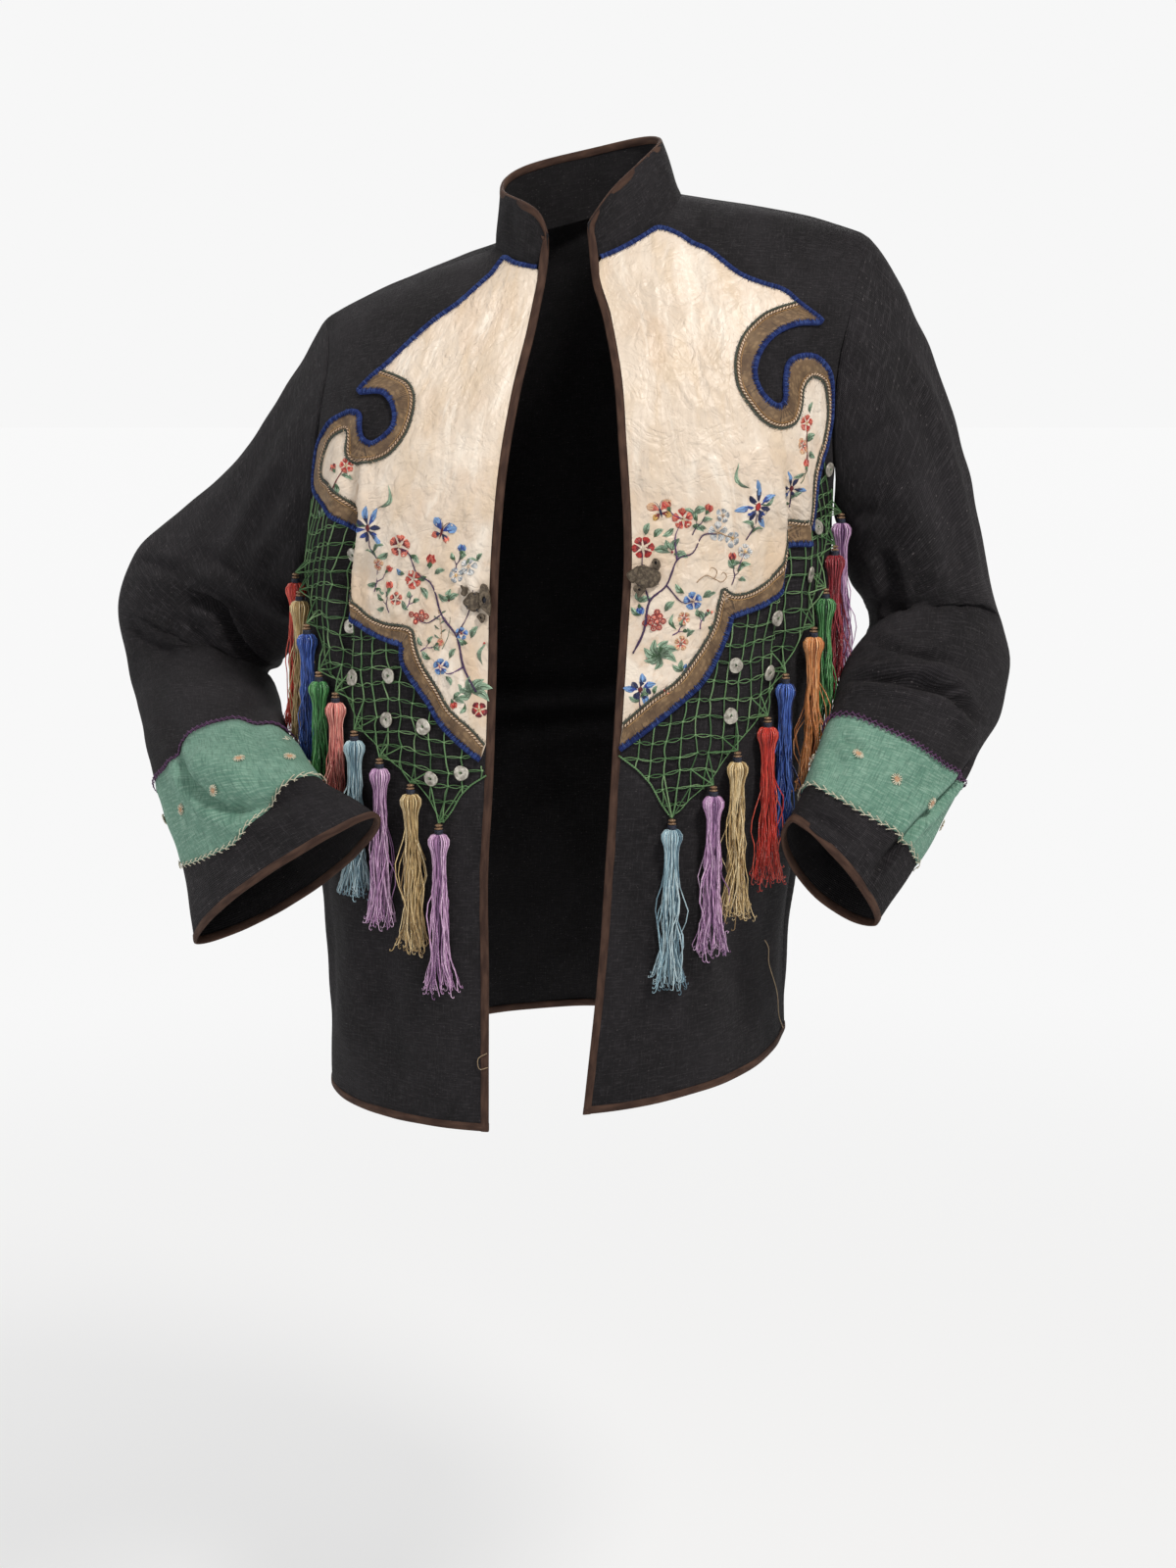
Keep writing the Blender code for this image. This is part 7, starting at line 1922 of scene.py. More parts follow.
ROSETTES = {"right": [(0.98, .806), (1.98, .752), (1.62, .797), (2.62, .735), (3.55, .712), (4.35, .752), (5.15, .785), (5.85, .808), (0.15, .800)],
            "left": [(1.64, .840), (1.03, .846), (2.30, .825), (3.35, .832), (4.15, .836), (4.95, .846), (5.70, .850), (0.25, .852)]}
for side in ("right", "left"):
    f = sleeves[side]
    build = Build()
    rng = np.random.default_rng(40)
    ts = np.linspace(0, 2 * math.pi, 700)
    for which in ("top", "end"):
        ss = band_line(side, which, ts)
        p, _ = f.at(ts, ss)
        run = np.concatenate([[0], np.cumsum(np.linalg.norm(np.diff(p, axis=0), axis=1))])
        pitch = 4.4 if which == "top" else 3.7
        n = int(run[-1] / pitch)
        at = np.interp(np.linspace(0, run[-1], n + 1), run, ts)
        for k in range(n):
            t0, t1 = at[k], at[k + 1]
            s0 = band_line(side, which, t0)
            s1 = band_line(side, which, t1)
            def spot(t, s, x, yy):
                return np.array([t, s]) + mm_step(f, t, s, x, yy)
            j = rng.normal(0, 0.25, 8)
            h = 2.25
            if which == "top":
                hi, lo = -2.3, 2.4
                stitch(build, f, spot(t0, s0, -0.7, lo + j[0]), spot(t1, s1, 0.7, hi + j[1]), h, 0.33, 0)
                stitch(build, f, spot(t0, s0, -0.7, hi + j[2]), spot(t1, s1, 0.7, lo + j[3]), h + 0.3, 0.33, 0)
            else:
                e = 1 if k % 2 else -1
                stitch(build, f, spot(t0, s0, 0.0, 0.9 * e + j[0] * .5), spot(t1, s1, 0.0, -0.9 * e + j[1] * .5), h, 0.34, 1)
                stitch(build, f, spot(t0, s0, 0.0, 0.9 * e + j[0] * .5), spot(t1, s1, -0.5, 2.4 * e + j[2]), h, 0.32, 1)
                stitch(build, f, spot(t0, s0, 0.0, 0.9 * e), spot(t0, s0, 0.9, 1.7 * e + j[3]), h, 0.28, 1)
    for t, s in ROSETTES[side]:
        p, n = f.at(t, s)
        ex = unit(np.cross(np.array([0.0, 0.0, 1.0]), n))
        ey = np.cross(n, ex)
        spin = rng.uniform(0, 0.5)
        for k in range(14):
            a = 2 * math.pi * k / 14 + spin + rng.uniform(-0.07, 0.07)
            way = ex * math.cos(a) + ey * math.sin(a)
            far = 4.5 + rng.uniform(-0.3, 0.4)
            sweep(build, [p + way * 2.0 + n * 1.9, p + way * 3.2 + n * 2.75, p + way * far + n * 1.9], 0.42, 5, 1, up=n, caps=False)
        for k in range(7):
            x0 = -1.7 + 0.57 * k
            half = math.sqrt(max(2.1 ** 2 - x0 ** 2, 0.3))
            sweep(build, [p + ex * x0 - ey * half + n * 2.0, p + ex * x0 + n * 2.9, p + ex * x0 + ey * half + n * 2.0], 0.42, 5, 2, up=n, caps=False)
    if side == "right":
        curl = [np.array([2.62, 0.705]) + mm_step(f, 2.62, 0.705, 3.0 * math.cos(a) + a * 0.9, 2.2 * math.sin(a) - a * 1.1) for a in np.linspace(-1.5, 4.6, 26)]
        p, n = f.put(np.array(curl), 2.6 + np.sin(np.linspace(0, 3.1, 26)) * 2.0)
        sweep(build, p, 0.3, 5, 1)
    build.make(f"sleeve_band_{side}_stitches", [MAT["purple"], MAT["ivory"], FLOSS["peach"]], [])

# ------------------------------------------------------------------ seams and the loose thread
build = Build()
f = fronts["left"]
way_points = smooth_line([(0.742, -0.835), (0.767, -0.853), (0.800, -0.878), (0.843, -0.916), (0.900, -0.955), (0.942, -0.987)], 8)
p, n = f.put(np.array(way_points), 1.0 + 0.8 * np.sin(np.linspace(0, 9, len(way_points))))
p = p + n * 0.2 + np.array([1, 0, 0]) * (1.1 * np.sin(np.linspace(0, 13, len(way_points))))[:, None]
sweep(build, p, 0.36, 5, 0)
f = fronts["right"]
p, n = f.put(np.array(smooth_line([(-0.004, -0.915), (-0.03, -0.921), (-0.026, -0.932), (0.0, -0.930)], 6)), 2.2)
sweep(build, p, 0.3, 5, 0)
build.make("loose_threads", [MAT["tan_thread"]], [])


# ------------------------------------------------------------------ embroidery: sprigs of flowers, leaves and berries in silk floss
FLOSS_NAMES = list(FLOSS)


class Needle:
    """Stitching about a place on the satin, in local mm: x toward the wearer's left, y up, then turned and scaled."""

    def __init__(self, build, side, u, v, size=1.0, turn=0.0, seed=0):
        self.build, self.side, self.size = build, side, size * 1.32
        sign = -1 if side == "right" else 1
        f = fronts[side]
        self.origin = np.array([sign * u, v])
        ga, gb = f.slopes(*self.origin)
        n = f.at(*self.origin)[1]
        ex = unit(np.array([1.0, 0, 0]) - n[0] * n)
        ey = np.cross(n, ex)
        if ey[2] < 0:
            ey = -ey
        c, s = math.cos(math.radians(turn)), math.sin(math.radians(turn))
        ex, ey = ex * c + ey * s, ey * c - ex * s
        gram = np.array([[ga @ ga, ga @ gb], [ga @ gb, gb @ gb]])
        self.m = np.linalg.solve(gram, np.array([[ga @ ex, ga @ ey], [gb @ ex, gb @ ey]]))
        self.rng = np.random.default_rng(seed)

    def spot(self, xy, height):
        ab = self.origin + (np.asarray(xy, float) * self.size) @ self.m.T
        return on_satin(self.side, ab, height)

    def petal(self, p0, p1, width, base, tip=None, bend=0.0, split=0.5, round_at=0.62, dome=0.55, lift=0.1, point=0.8):
        """A satin-stitched petal or leaf from p0 to p1, in one floss or in two that run into each other."""
        p0, p1 = np.asarray(p0, float), np.asarray(p1, float)
        along = p1 - p0
        side = np.array([-along[1], along[0]])
        n, m = 9, 9
        s = np.linspace(0, 1, n)[:, None]
        t = np.linspace(-1, 1, m)[None]
        peak = s ** (math.log(0.5) / math.log(round_at))
        half = width * np.sin(math.pi * peak) ** point + 0.02
        mid = p0 + along * s + side * (bend * np.sin(math.pi * s))
        cross = side / max(np.linalg.norm(side), 1e-6)
        jag = 1 + self.rng.normal(0, 0.035, (n, m)) * (np.abs(t) > 0.9)
        xy = mid[:, None, :] + cross * (half * t * jag)[..., None]
        height = lift + dome * np.sqrt(np.maximum(1 - t ** 2, 0)) * np.sin(math.pi * np.clip(peak, 0.06, 0.94)) ** 0.5
        points, _ = self.spot(xy.reshape(-1, 2), height.ravel())
        length = float(np.linalg.norm(along)) * self.size
        shift = self.rng.uniform(0, 300, 2)
        uv = np.stack([(s * length + 0 * t).ravel() + shift[0], (half * t * self.size).ravel() + shift[1]], -1) * MM
        first, second = [], []
        tongue = self.rng.uniform(-0.13, 0.13, m)
        for i in range(n - 1):
            for k in range(m - 1):
                face = (i * m + k, i * m + k + 1, (i + 1) * m + k + 1, (i + 1) * m + k)
                late = tip is not None and (i + 0.5) / (n - 1) > split + tongue[k]
                (second if late else first).append(face)
        a = points[m + 1] - points[0]
        facing = np.cross(points[1] - points[0], points[m] - points[0]) @ self.spot([[0, 0]], [0.0])[1][0]
        if facing < 0:
            first, second = [q[::-1] for q in first], [q[::-1] for q in second]
        start = self.build.n
        self.build.add(points, first, FLOSS_NAMES.index(base), uv)
        for face in second:
            self.build.f.append(tuple(k + start for k in face)); self.build.m.append(FLOSS_NAMES.index(tip))

    def stem(self, points, radius, colour, taper=0.55, height=0.35):
        path = np.array(smooth_line([tuple(p) for p in points], 5), float)
        spots, n = self.spot(path, np.full(len(path), height))
        r = radius * self.size ** 0.5 * np.linspace(1, taper, len(path)) * (1 + 0.08 * self.rng.normal(size=len(path)))
        sweep(self.build, smooth_rows(spots, 1), r, 6, FLOSS_NAMES.index(colour), up=n, flat=0.7)

    def knot(self, xy, r, colour, height=0.6):
        p, n = self.spot([xy], [height])
        ball(self.build, p[0], n[0], unit(np.cross(n[0], [0.2, 0.3, 1.0])), (r, r, r * 0.7), FLOSS_NAMES.index(colour), 4, 7)

    def ring(self, xy, r, colour, inner, thick=0.42):
        angles = np.linspace(0, 2 * math.pi, 15)[:-1]
        xy = np.asarray(xy, float)
        p, n = self.spot(xy + np.stack([np.cos(angles), np.sin(angles)], -1) * r, np.full(14, 0.45))
        sweep(self.build, p, thick, 5, FLOSS_NAMES.index(colour), up=n, closed=True)
        self.knot(xy, r * 0.55 * self.size, inner, 0.35)

    def leaf(self, at, angle, length, width, colour="grey_green", tip="mint", bend=0.12, vein="leaf"):
        a = math.radians(angle)
        at = np.asarray(at, float)
        end = at + np.array([math.cos(a), math.sin(a)]) * length
        self.petal(at, end, width, colour, tip, bend, split=0.42, round_at=0.45)
        side = np.array([-math.sin(a), math.cos(a)]) * length * bend
        self.stem([at, (at + end) / 2 + side, at + (end - at) * 0.86 + side * 0.4], 0.22, vein, 0.6, 0.85)

    def blossom(self, at, r, base, tip, heart="gold", petals=5, width=0.42, turn=0.0, start=0.22, missing=()):
        at = np.asarray(at, float)
        for k in range(petals):
            if k in missing:
                continue
            a = math.radians(turn) + 2 * math.pi * k / petals
            w = np.array([math.cos(a), math.sin(a)])
            rr = r * self.rng.uniform(0.9, 1.08)
            self.petal(at + w * rr * start, at + w * rr, r * width, base, tip, self.rng.uniform(-0.06, 0.06), split=0.48, round_at=0.68, point=0.62)
        for k in range(5):
            a = 2 * math.pi * k / 5 + 0.3
            self.knot(at + np.array([math.cos(a), math.sin(a)]) * r * 0.17, 0.42, heart, 0.8)
        self.knot(at, 0.5, heart, 1.0)

    def star(self, at, r, base, tip, heart="wine", spread=150, turn=90, petals=6, width=0.125):
        """A flower of separate pointed petals, long two-coloured ones and short dark ones by turns."""
        at = np.asarray(at, float)
        for k in range(petals):
            a = math.radians(turn + 360 * k / petals + self.rng.uniform(-9, 9))
            w = np.array([math.cos(a), math.sin(a)])
            long = k % 2 == 0
            rr = r * (1.0 if long else 0.66) * self.rng.uniform(0.92, 1.08)
            self.petal(at + w * r * 0.13, at + w * rr, r * width * (1.0 if long else 0.95), (base if k % 4 else "navy") if long else "navy", tip if long else "navy",
                       self.rng.uniform(-0.14, 0.14), split=0.45 if long else 0.6, round_at=0.55)
        self.petal(at - np.array([r * 0.02, r * 0.17]), at + np.array([r * 0.04, r * 0.19]), r * 0.13, heart, None, 0, round_at=0.5, lift=0.45, dome=0.7)

    def spray(self, at, angle, length, curl=0.3, colour="grey_green", tip="mint", width=1.3):
        """A long arching leaf."""
        a = math.radians(angle)
        at = np.asarray(at, float)
        self.petal(at, at + np.array([math.cos(a), math.sin(a)]) * length, width, colour, tip, curl, split=0.5, round_at=0.5)

    def twig(self, at, angle, length, colour="violet", side=1, radius=0.42):
        """A short crooked twig with a thorn and two small leaves."""
        a = math.radians(angle)
        w, s = np.array([math.cos(a), math.sin(a)]), np.array([-math.sin(a), math.cos(a)])
        at = np.asarray(at, float)
        self.stem([at, at + w * length * 0.4 + s * side * 0.7, at + w * length * 0.7 - s * side * 0.4, at + w * length], radius, colour)
        self.stem([at + w * length * 0.4 + s * side * 0.7, at + w * length * 0.62 + s * side * 2.4], radius * 0.7, colour)
        self.leaf(at + w * length * 0.62 + s * side * 2.2, angle + 40 * side, length * 0.5, 1.3, "leaf", "mint")
        self.leaf(at + w * length * 0.75, angle - 45 * side, length * 0.5, 1.3)

    def bud(self, at, angle, r, base, tip, calyx="leaf"):
        a = math.radians(angle)
        w, s = np.array([math.cos(a), math.sin(a)]), np.array([-math.sin(a), math.cos(a)])
        at = np.asarray(at, float)
        self.petal(at, at + w * r + s * r * 0.22, r * 0.26, base, tip, 0.12)
        self.petal(at, at + w * r - s * r * 0.22, r * 0.26, base, tip, -0.12)
        self.petal(at - w * r * 0.1, at + w * r * 0.95, r * 0.24, tip, base, 0, lift=0.4)
        self.petal(at - w * r * 0.28, at + w * r * 0.34, r * 0.2, calyx, None, 0, lift=0.6)


STITCHED = {}
for side in ("right", "left"):
    build = Build()

    def needle(u, v, size=1.0, turn=0.0, seed=0, b=build, s=side):
        return Needle(b, s, u, v, size, turn, seed)

    def branch(points, radius, colour, taper=0.4, b=build, s=side):
        sign = -1 if s == "right" else 1
        path = np.array(smooth_line([(sign * u, v) for u, v in points], 6), float)
        spots, n = on_satin(s, path, 0.45)
        r = 0.72 * radius * np.linspace(1, taper, len(path)) * (1 + 0.12 * wobble(spots, 8, 9))
        sweep(b, smooth_rows(spots, 1), r, 7, FLOSS_NAMES.index(colour), up=n, flat=0.7)

    if side == "right":
        # a flowering branch that rises from the lower front corner
        branch([(.050, -.497), (.085, -.470), (.105, -.438), (.150, -.415), (.175, -.385), (.225, -.372), (.262, -.350), (.300, -.343)], 1.25, "violet")
        branch([(.150, -.415), (.190, -.424), (.225, -.418)], 0.8, "violet")
        branch([(.105, -.438), (.075, -.415), (.062, -.390)], 0.85, "violet")
        branch([(.085, -.470), (.125, -.478), (.150, -.470)], 0.8, "purple")
        n = needle(.300, -.340, seed=1)
        n.blossom((0, 0), 6.4, "wine", "coral", "gold", turn=12)
        n.leaf((-7, -4.5), 205, 8, 1.9); n.leaf((6, -5), -40, 7, 1.7, "leaf", "mint")
        n = needle(.238, -.378, seed=2)
        n.blossom((0, 0), 5.6, "red", "coral", "cream", turn=40)
        n.leaf((4.5, -4.5), -60, 7.5, 1.8); n.leaf((-5.5, 3), 150, 6.5, 1.6, "grey_green", "sky")
        n = needle(.188, -.364, seed=3)
        n.bud((0, 0), 80, 6.5, "coral", "red"); n.leaf((2.5, -4.5), 20, 6.5, 1.5); n.leaf((-3, -6), 190, 6, 1.4, "leaf", "grey_green")
        n = needle(.222, -.416, seed=4)
        for k, (x, y) in enumerate(((0, 0), (3.3, 1.6), (3.0, -2.0), (-0.5, -3.4), (6.0, -0.4), (-3.2, 0.6))):
            n.ring((x, y), 1.35, "red", "coral")
        n.leaf((-5, 3), 130, 7, 1.7, "mint", "grey_green")
        n = needle(.078, -.366, seed=5)
        n.blossom((0, 0), 4.8, "grey", "white", "tan", turn=5); n.blossom((-7.4, -5.0), 4.1, "white", "grey", "gold", turn=30)
        n.leaf((-2.5, 6.5), 110, 6, 1.4, "mint", "grey_green"); n.leaf((4.6, 3.4), 50, 5, 1.3)
        n = needle(.148, -.470, seed=6)
        n.blossom((0, 0), 5.0, "cobalt", "sky", "coral", turn=20)
        n.leaf((-6.5, 4), 140, 7, 1.8, "leaf", "mint"); n.leaf((5, 4.8), 55, 6.5, 1.5); n.leaf((3, -5.4), -60, 6, 1.5, "grey_green", "mint")
        # a leafy clump at the branch's foot
        n = needle(.062, -.497, seed=7)
        for a, l, w in ((10, 12, 2.4), (45, 10, 2.2), (95, 9, 2.0), (150, 9, 2.0), (-28, 11, 2.2), (200, 8, 1.9)):
            n.leaf((0, 0), a, l, w, "grey_green", "mint", 0.18)
        n.blossom((4, -10), 4.6, "red", "wine", "gold", turn=50)
        n.petal((-4, -6), (-7, -12), 1.2, "leaf", "mint", 0.2)
        # a spray of thin grass and pale blossoms between
        n = needle(.110, -.425, seed=8)
        n.stem([(-10, -14), (-8, -4), (-10, 8)], 0.28, "tan"); n.stem([(-8, -14), (-4, -6), (-3, 4)], 0.25, "grey_green")
        for k in range(6):
            n.petal((-9.0, -8 + k * 2.6), (-9.0 + (3.4 if k % 2 else -3.4), -5.6 + k * 2.6), 0.5, "grey_green", None, 0.1)
        # a flower that stands apart higher up, and small ones beside it
        n = needle(.445, -.318, seed=9, turn=8)
        n.stem([(3.5, -20), (0.5, -12), (0, -3)], 0.5, "violet")
        n.star((0, 0), 13, "cobalt", "sky", "wine", spread=190, turn=96, petals=7)
        n.petal((0, -1), (-5.5, -5), 1.3, "navy", "cobalt", 0.1); n.petal((0, -1), (6, -4), 1.3, "navy", "cobalt", -0.1)
        n.leaf((1.5, -14), 25, 9, 1.3, "grey_green", "mint", 0.25); n.leaf((2.5, -17), 150, 8, 1.2, "leaf", "mint", -0.25)
        n = needle(.365, -.372, seed=10, turn=-12)
        n.stem([(0, -10), (1, -3), (0, 4)], 0.45, "purple"); n.stem([(1, -4), (5, -1), (6.5, 3)], 0.35, "purple")
        n.blossom((0, 6.5), 3.9, "coral", "peach", "wine", turn=20); n.bud((6.8, 3.5), 60, 4.4, "red", "coral")
        n.leaf((0.5, -5), 200, 7, 1.5); n.leaf((0.5, -8), -20, 7.5, 1.6, "leaf", "mint")
        n = needle(.452, -.300, seed=40); n.spray((4, 1), 62, 15, -0.32); n.spray((-3, -9), 150, 10, 0.3, "leaf", "mint", 1.1)
        n = needle(.312, -.402, seed=41); n.twig((0, -6), 100, 12); n.bud((0.5, 6.5), 95, 5.2, "red", "coral"); n.leaf((-3, -3), 190, 6, 1.4)
        n = needle(.268, -.402, seed=42); n.twig((2, -4), 60, 9, "purple", -1); n.blossom((-4, 2), 3.8, "wine", "coral", "cream", turn=15)
        n = needle(.105, -.366, seed=43); n.twig((-2, -3), 75, 10, "violet", 1); n.bud((1, 7.5), 80, 5, "cobalt", "sky"); n.spray((3, 0), 20, 9, 0.3, "grey_green", "mint", 1.1)
        n = needle(.130, -.400, seed=44); n.leaf((0, 0), 30, 7, 1.7); n.leaf((0, 0), 80, 6.5, 1.6, "leaf", "mint"); n.leaf((0, 0), 150, 7, 1.7, "mint", "grey_green"); n.knot((0, 0), 1.0, "wine")
        n = needle(.190, -.452, seed=45); n.twig((-4, -1), 20, 10, "purple", 1); n.bud((6, 3), 30, 4.4, "coral", "peach"); n.leaf((-3, 2), 120, 5.5, 1.3)
        n = needle(.075, -.445, seed=46); n.leaf((0, 0), 160, 7, 1.7, "leaf", "mint"); n.leaf((2, 3), 60, 7.5, 1.8); n.blossom((-3.5, 5.5), 3.6, "cobalt", "sky", "wine", turn=12)
        n = needle(.040, -.460, seed=47); n.spray((1, -4), 80, 12, 0.25, "grey_green", "mint", 1.1); n.knot((2, 8), 0.9, "red")
        n = needle(.110, -.505, seed=48); n.leaf((0, 0), -20, 6.5, 1.5); n.leaf((0, 0), 40, 6, 1.4, "leaf", "mint"); n.bud((-1, -1), -70, 4.6, "red", "coral")
        # a butterfly in flight
        n = needle(.170, -.330, seed=11, turn=-20, size=0.92)
        n.petal((0, 0.8), (8.2, 6.2), 3.1, "cobalt", "sky", 0.06, round_at=0.66); n.petal((0, 0.8), (-7.6, 6.6), 2.9, "cobalt", "sky", -0.06, round_at=0.66)
        n.petal((0, -0.6), (6.0, -4.6), 2.3, "navy", "coral", 0.05, round_at=0.64); n.petal((0, -0.6), (-5.6, -4.4), 2.2, "navy", "coral", -0.05, round_at=0.64)
        n.petal((0, -4.2), (0, 3.4), 0.8, "wine", None, 0, lift=0.6)
        n.stem([(0.2, 3.2), (1.4, 6), (3.2, 7.6)], 0.2, "violet"); n.stem([(-0.2, 3.2), (-1.2, 6), (-2.8, 7.8)], 0.2, "violet")
        # the lobe by the scroll
        n = needle(.675, -.262, seed=12, turn=20)
        n.stem([(-7, -6), (-2, -2), (3, 2)], 0.5, "wine"); n.blossom((5, 3), 4.4, "red", "coral", "gold", turn=10)
        n.bud((-3, 2.5), 110, 5, "coral", "wine"); n.leaf((-4.5, -4), 250, 6.5, 1.5, "leaf", "mint"); n.leaf((0.5, -0.5), -50, 6, 1.4)
        n = needle(.742, -.300, seed=13, turn=0)
        n.leaf((0, 0), 70, 6.5, 1.5, "leaf", "mint"); n.leaf((0, 0), 140, 6, 1.4); n.knot((0, -0.8), 0.9, "wine")
    else:
        branch([(.045, -.478), (.075, -.455), (.085, -.425), (.135, -.410), (.165, -.385), (.215, -.380), (.250, -.362), (.300, -.362)], 1.3, "violet")
        branch([(.085, -.425), (.060, -.400), (.058, -.375)], 0.9, "violet")
        branch([(.165, -.385), (.160, -.362), (.185, -.345)], 0.85, "purple")
        branch([(.135, -.410), (.185, -.428), (.225, -.428)], 0.9, "violet")
        n = needle(.302, -.360, seed=21)
        n.blossom((0, 0), 5.6, "grey", "white", "tan", turn=15); n.blossom((9, -4.5), 4.4, "white", "grey", "gold", turn=40)
        n.blossom((3.5, 8.8), 4.0, "white", "grey", "tan", turn=0); n.leaf((-6.5, 2.5), 160, 7, 1.6); n.stem([(0, 0), (6, -3), (9, -4)], 0.35, "tan")
        n = needle(.190, -.343, seed=22)
        n.blossom((0, 0), 5.8, "red", "coral", "gold", turn=25); n.bud((-7.5, 5), 120, 5.4, "coral", "red"); n.stem([(-0, 0), (-5, 2), (-7, 4.5)], 0.4, "purple")
        n.leaf((6, 3), 20, 8, 2.0); n.leaf((5, -3.5), -30, 7.5, 1.8, "leaf", "mint"); n.leaf((-5, -5), 215, 7, 1.7)
        n = needle(.060, -.370, seed=23)
        n.blossom((0, 0), 6.2, "wine", "red", "cream", turn=5, petals=6, width=0.36); n.leaf((6, -1), -10, 9, 2.2, "mint", "grey_green"); n.leaf((1.5, 7), 70, 7, 1.7)
        n.leaf((6, 6), 40, 7, 1.7, "leaf", "mint")
        n = needle(.222, -.428, seed=24)
        n.blossom((0, 0), 5.4, "cobalt", "sky", "wine", turn=30); n.leaf((5.5, 2), 15, 8, 1.9); n.leaf((3, -5.5), -60, 7, 1.6, "grey_green", "mint"); n.leaf((-5, 4.5), 130, 7, 1.6, "leaf", "mint")
        # berries
        n = needle(.095, -.447, seed=25)
        for x, y in ((0, 0), (3.2, 0.6), (1.6, 3.2), (-1.7, 2.8), (4.8, 3.6), (-3.2, -0.3), (1.4, -3.0), (6.6, 0.8), (4.4, -2.6), (3.2, 6.0)):
            n.ring((x, y), 1.35, "red", "coral")
        n.leaf((7.4, 6.4), 45, 7.5, 1.9); n.leaf((-5.5, 4), 140, 7, 1.7, "leaf", "mint")
        # a clump of broad leaves by the edge, and blue and red flowers under it
        n = needle(.130, -.482, seed=26)
        for a, l, w in ((20, 11, 2.5), (62, 10, 2.3), (105, 10, 2.2), (150, 10, 2.3), (-20, 10, 2.2), (195, 9, 2.0), (250, 8, 1.9)):
            n.leaf((0, 0), a, l, w, "leaf" if a in (62, 150) else "grey_green", "mint", 0.2)
        n = needle(.075, -.515, seed=27)
        n.star((0, 0), 9.5, "cobalt", "sky", "wine", spread=220, turn=80, petals=7, width=0.2); n.stem([(0, -10), (-0.5, -5), (0, -1)], 0.45, "violet")
        n.leaf((0, -6), 160, 6.5, 1.5); n.leaf((0, -4), 20, 6, 1.4, "leaf", "mint")
        n = needle(.195, -.470, seed=28)
        n.blossom((0, 0), 4.2, "coral", "peach", "wine", turn=10); n.leaf((3.5, 3.5), 40, 5.5, 1.3); n.stem([(-8, -4), (-3, -3), (0, -1)], 0.3, "purple")
        # a moth and tendrils over the branch
        n = needle(.120, -.335, seed=29, turn=15, size=0.85)
        n.petal((0, 0.8), (8.4, 5.6), 3.0, "coral", "peach", 0.06, round_at=0.66); n.petal((0, 0.8), (-7.8, 6.2), 2.8, "coral", "peach", -0.06, round_at=0.66)
        n.petal((0, -0.6), (6.2, -4.2), 2.2, "wine", "gold", 0.05, round_at=0.64); n.petal((0, -0.6), (-5.8, -4.0), 2.1, "wine", "gold", -0.05, round_at=0.64)
        n.petal((0, -4.0), (0, 3.2), 0.8, "navy", None, 0, lift=0.6)
        n.stem([(0.2, 3.0), (1.6, 5.8), (3.4, 7.2)], 0.2, "violet"); n.stem([(-0.2, 3.0), (-1.0, 5.8), (-2.6, 7.4)], 0.2, "violet")
        n = needle(.262, -.405, seed=30)
        n.stem([(-6, -3), (-1, 1), (4, -1), (6, 3), (3, 5), (1.4, 3)], 0.28, "tan"); n.stem([(4, -1), (9, -3), (12, 0), (10, 2.4), (8.4, 1)], 0.26, "tan")
        n = needle(.478, -.318, seed=50); n.spray((-4, 2), 118, 15, 0.32); n.spray((3, -8), 30, 10, -0.3, "leaf", "mint", 1.1)
        n = needle(.350, -.405, seed=51); n.twig((0, -6), 80, 12, "violet", -1); n.bud((0.5, 6.5), 85, 5.2, "wine", "coral"); n.leaf((3, -3), -10, 6, 1.4)
        n = needle(.270, -.450, seed=52); n.twig((-3, -4), 70, 10, "purple", 1); n.leaf((2, -3), -40, 6, 1.5); n.knot((1.5, 6), 1.1, "red"); n.knot((4, 5), 1.0, "coral")
        n = needle(.150, -.375, seed=53); n.leaf((0, 0), 60, 8, 2.0, "mint", "grey_green"); n.leaf((0, 0), 120, 7, 1.8); n.leaf((1, -2), -15, 8, 2.0, "grey_green", "mint"); n.knot((0, -1), 1.0, "wine")
        n = needle(.245, -.345, seed=54); n.twig((-4, -8), 55, 12, "violet", 1); n.bud((4, 4), 60, 5, "red", "coral"); n.spray((-3, 0), 140, 9, -0.3, "grey_green", "mint", 1.1)
        n = needle(.175, -.452, seed=55); n.spray((0, -2), 100, 9, 0.25, "leaf", "mint", 1.2); n.blossom((4.5, 4), 3.8, "coral", "peach", "wine", turn=50); n.twig((-2, -5), 40, 9, "purple", -1)
        n = needle(.055, -.425, seed=56); n.leaf((0, 0), 20, 7, 1.8, "grey_green", "mint"); n.leaf((0, 0), 95, 6.5, 1.6); n.bud((0, -2), -80, 5, "cobalt", "sky")
        n = needle(.210, -.498, seed=57); n.leaf((0, 0), 150, 7, 1.6); n.leaf((0, 0), 100, 6.5, 1.5, "leaf", "mint"); n.blossom((3.5, 1), 3.4, "cobalt", "sky", "wine", turn=0)
        n = needle(.120, -.525, seed=58); n.twig((-4, -2), 30, 10, "violet", 1); n.leaf((-3, 2), 110, 6, 1.4); n.knot((6, 5), 1.0, "red"); n.knot((8, 3.4), 0.9, "coral")
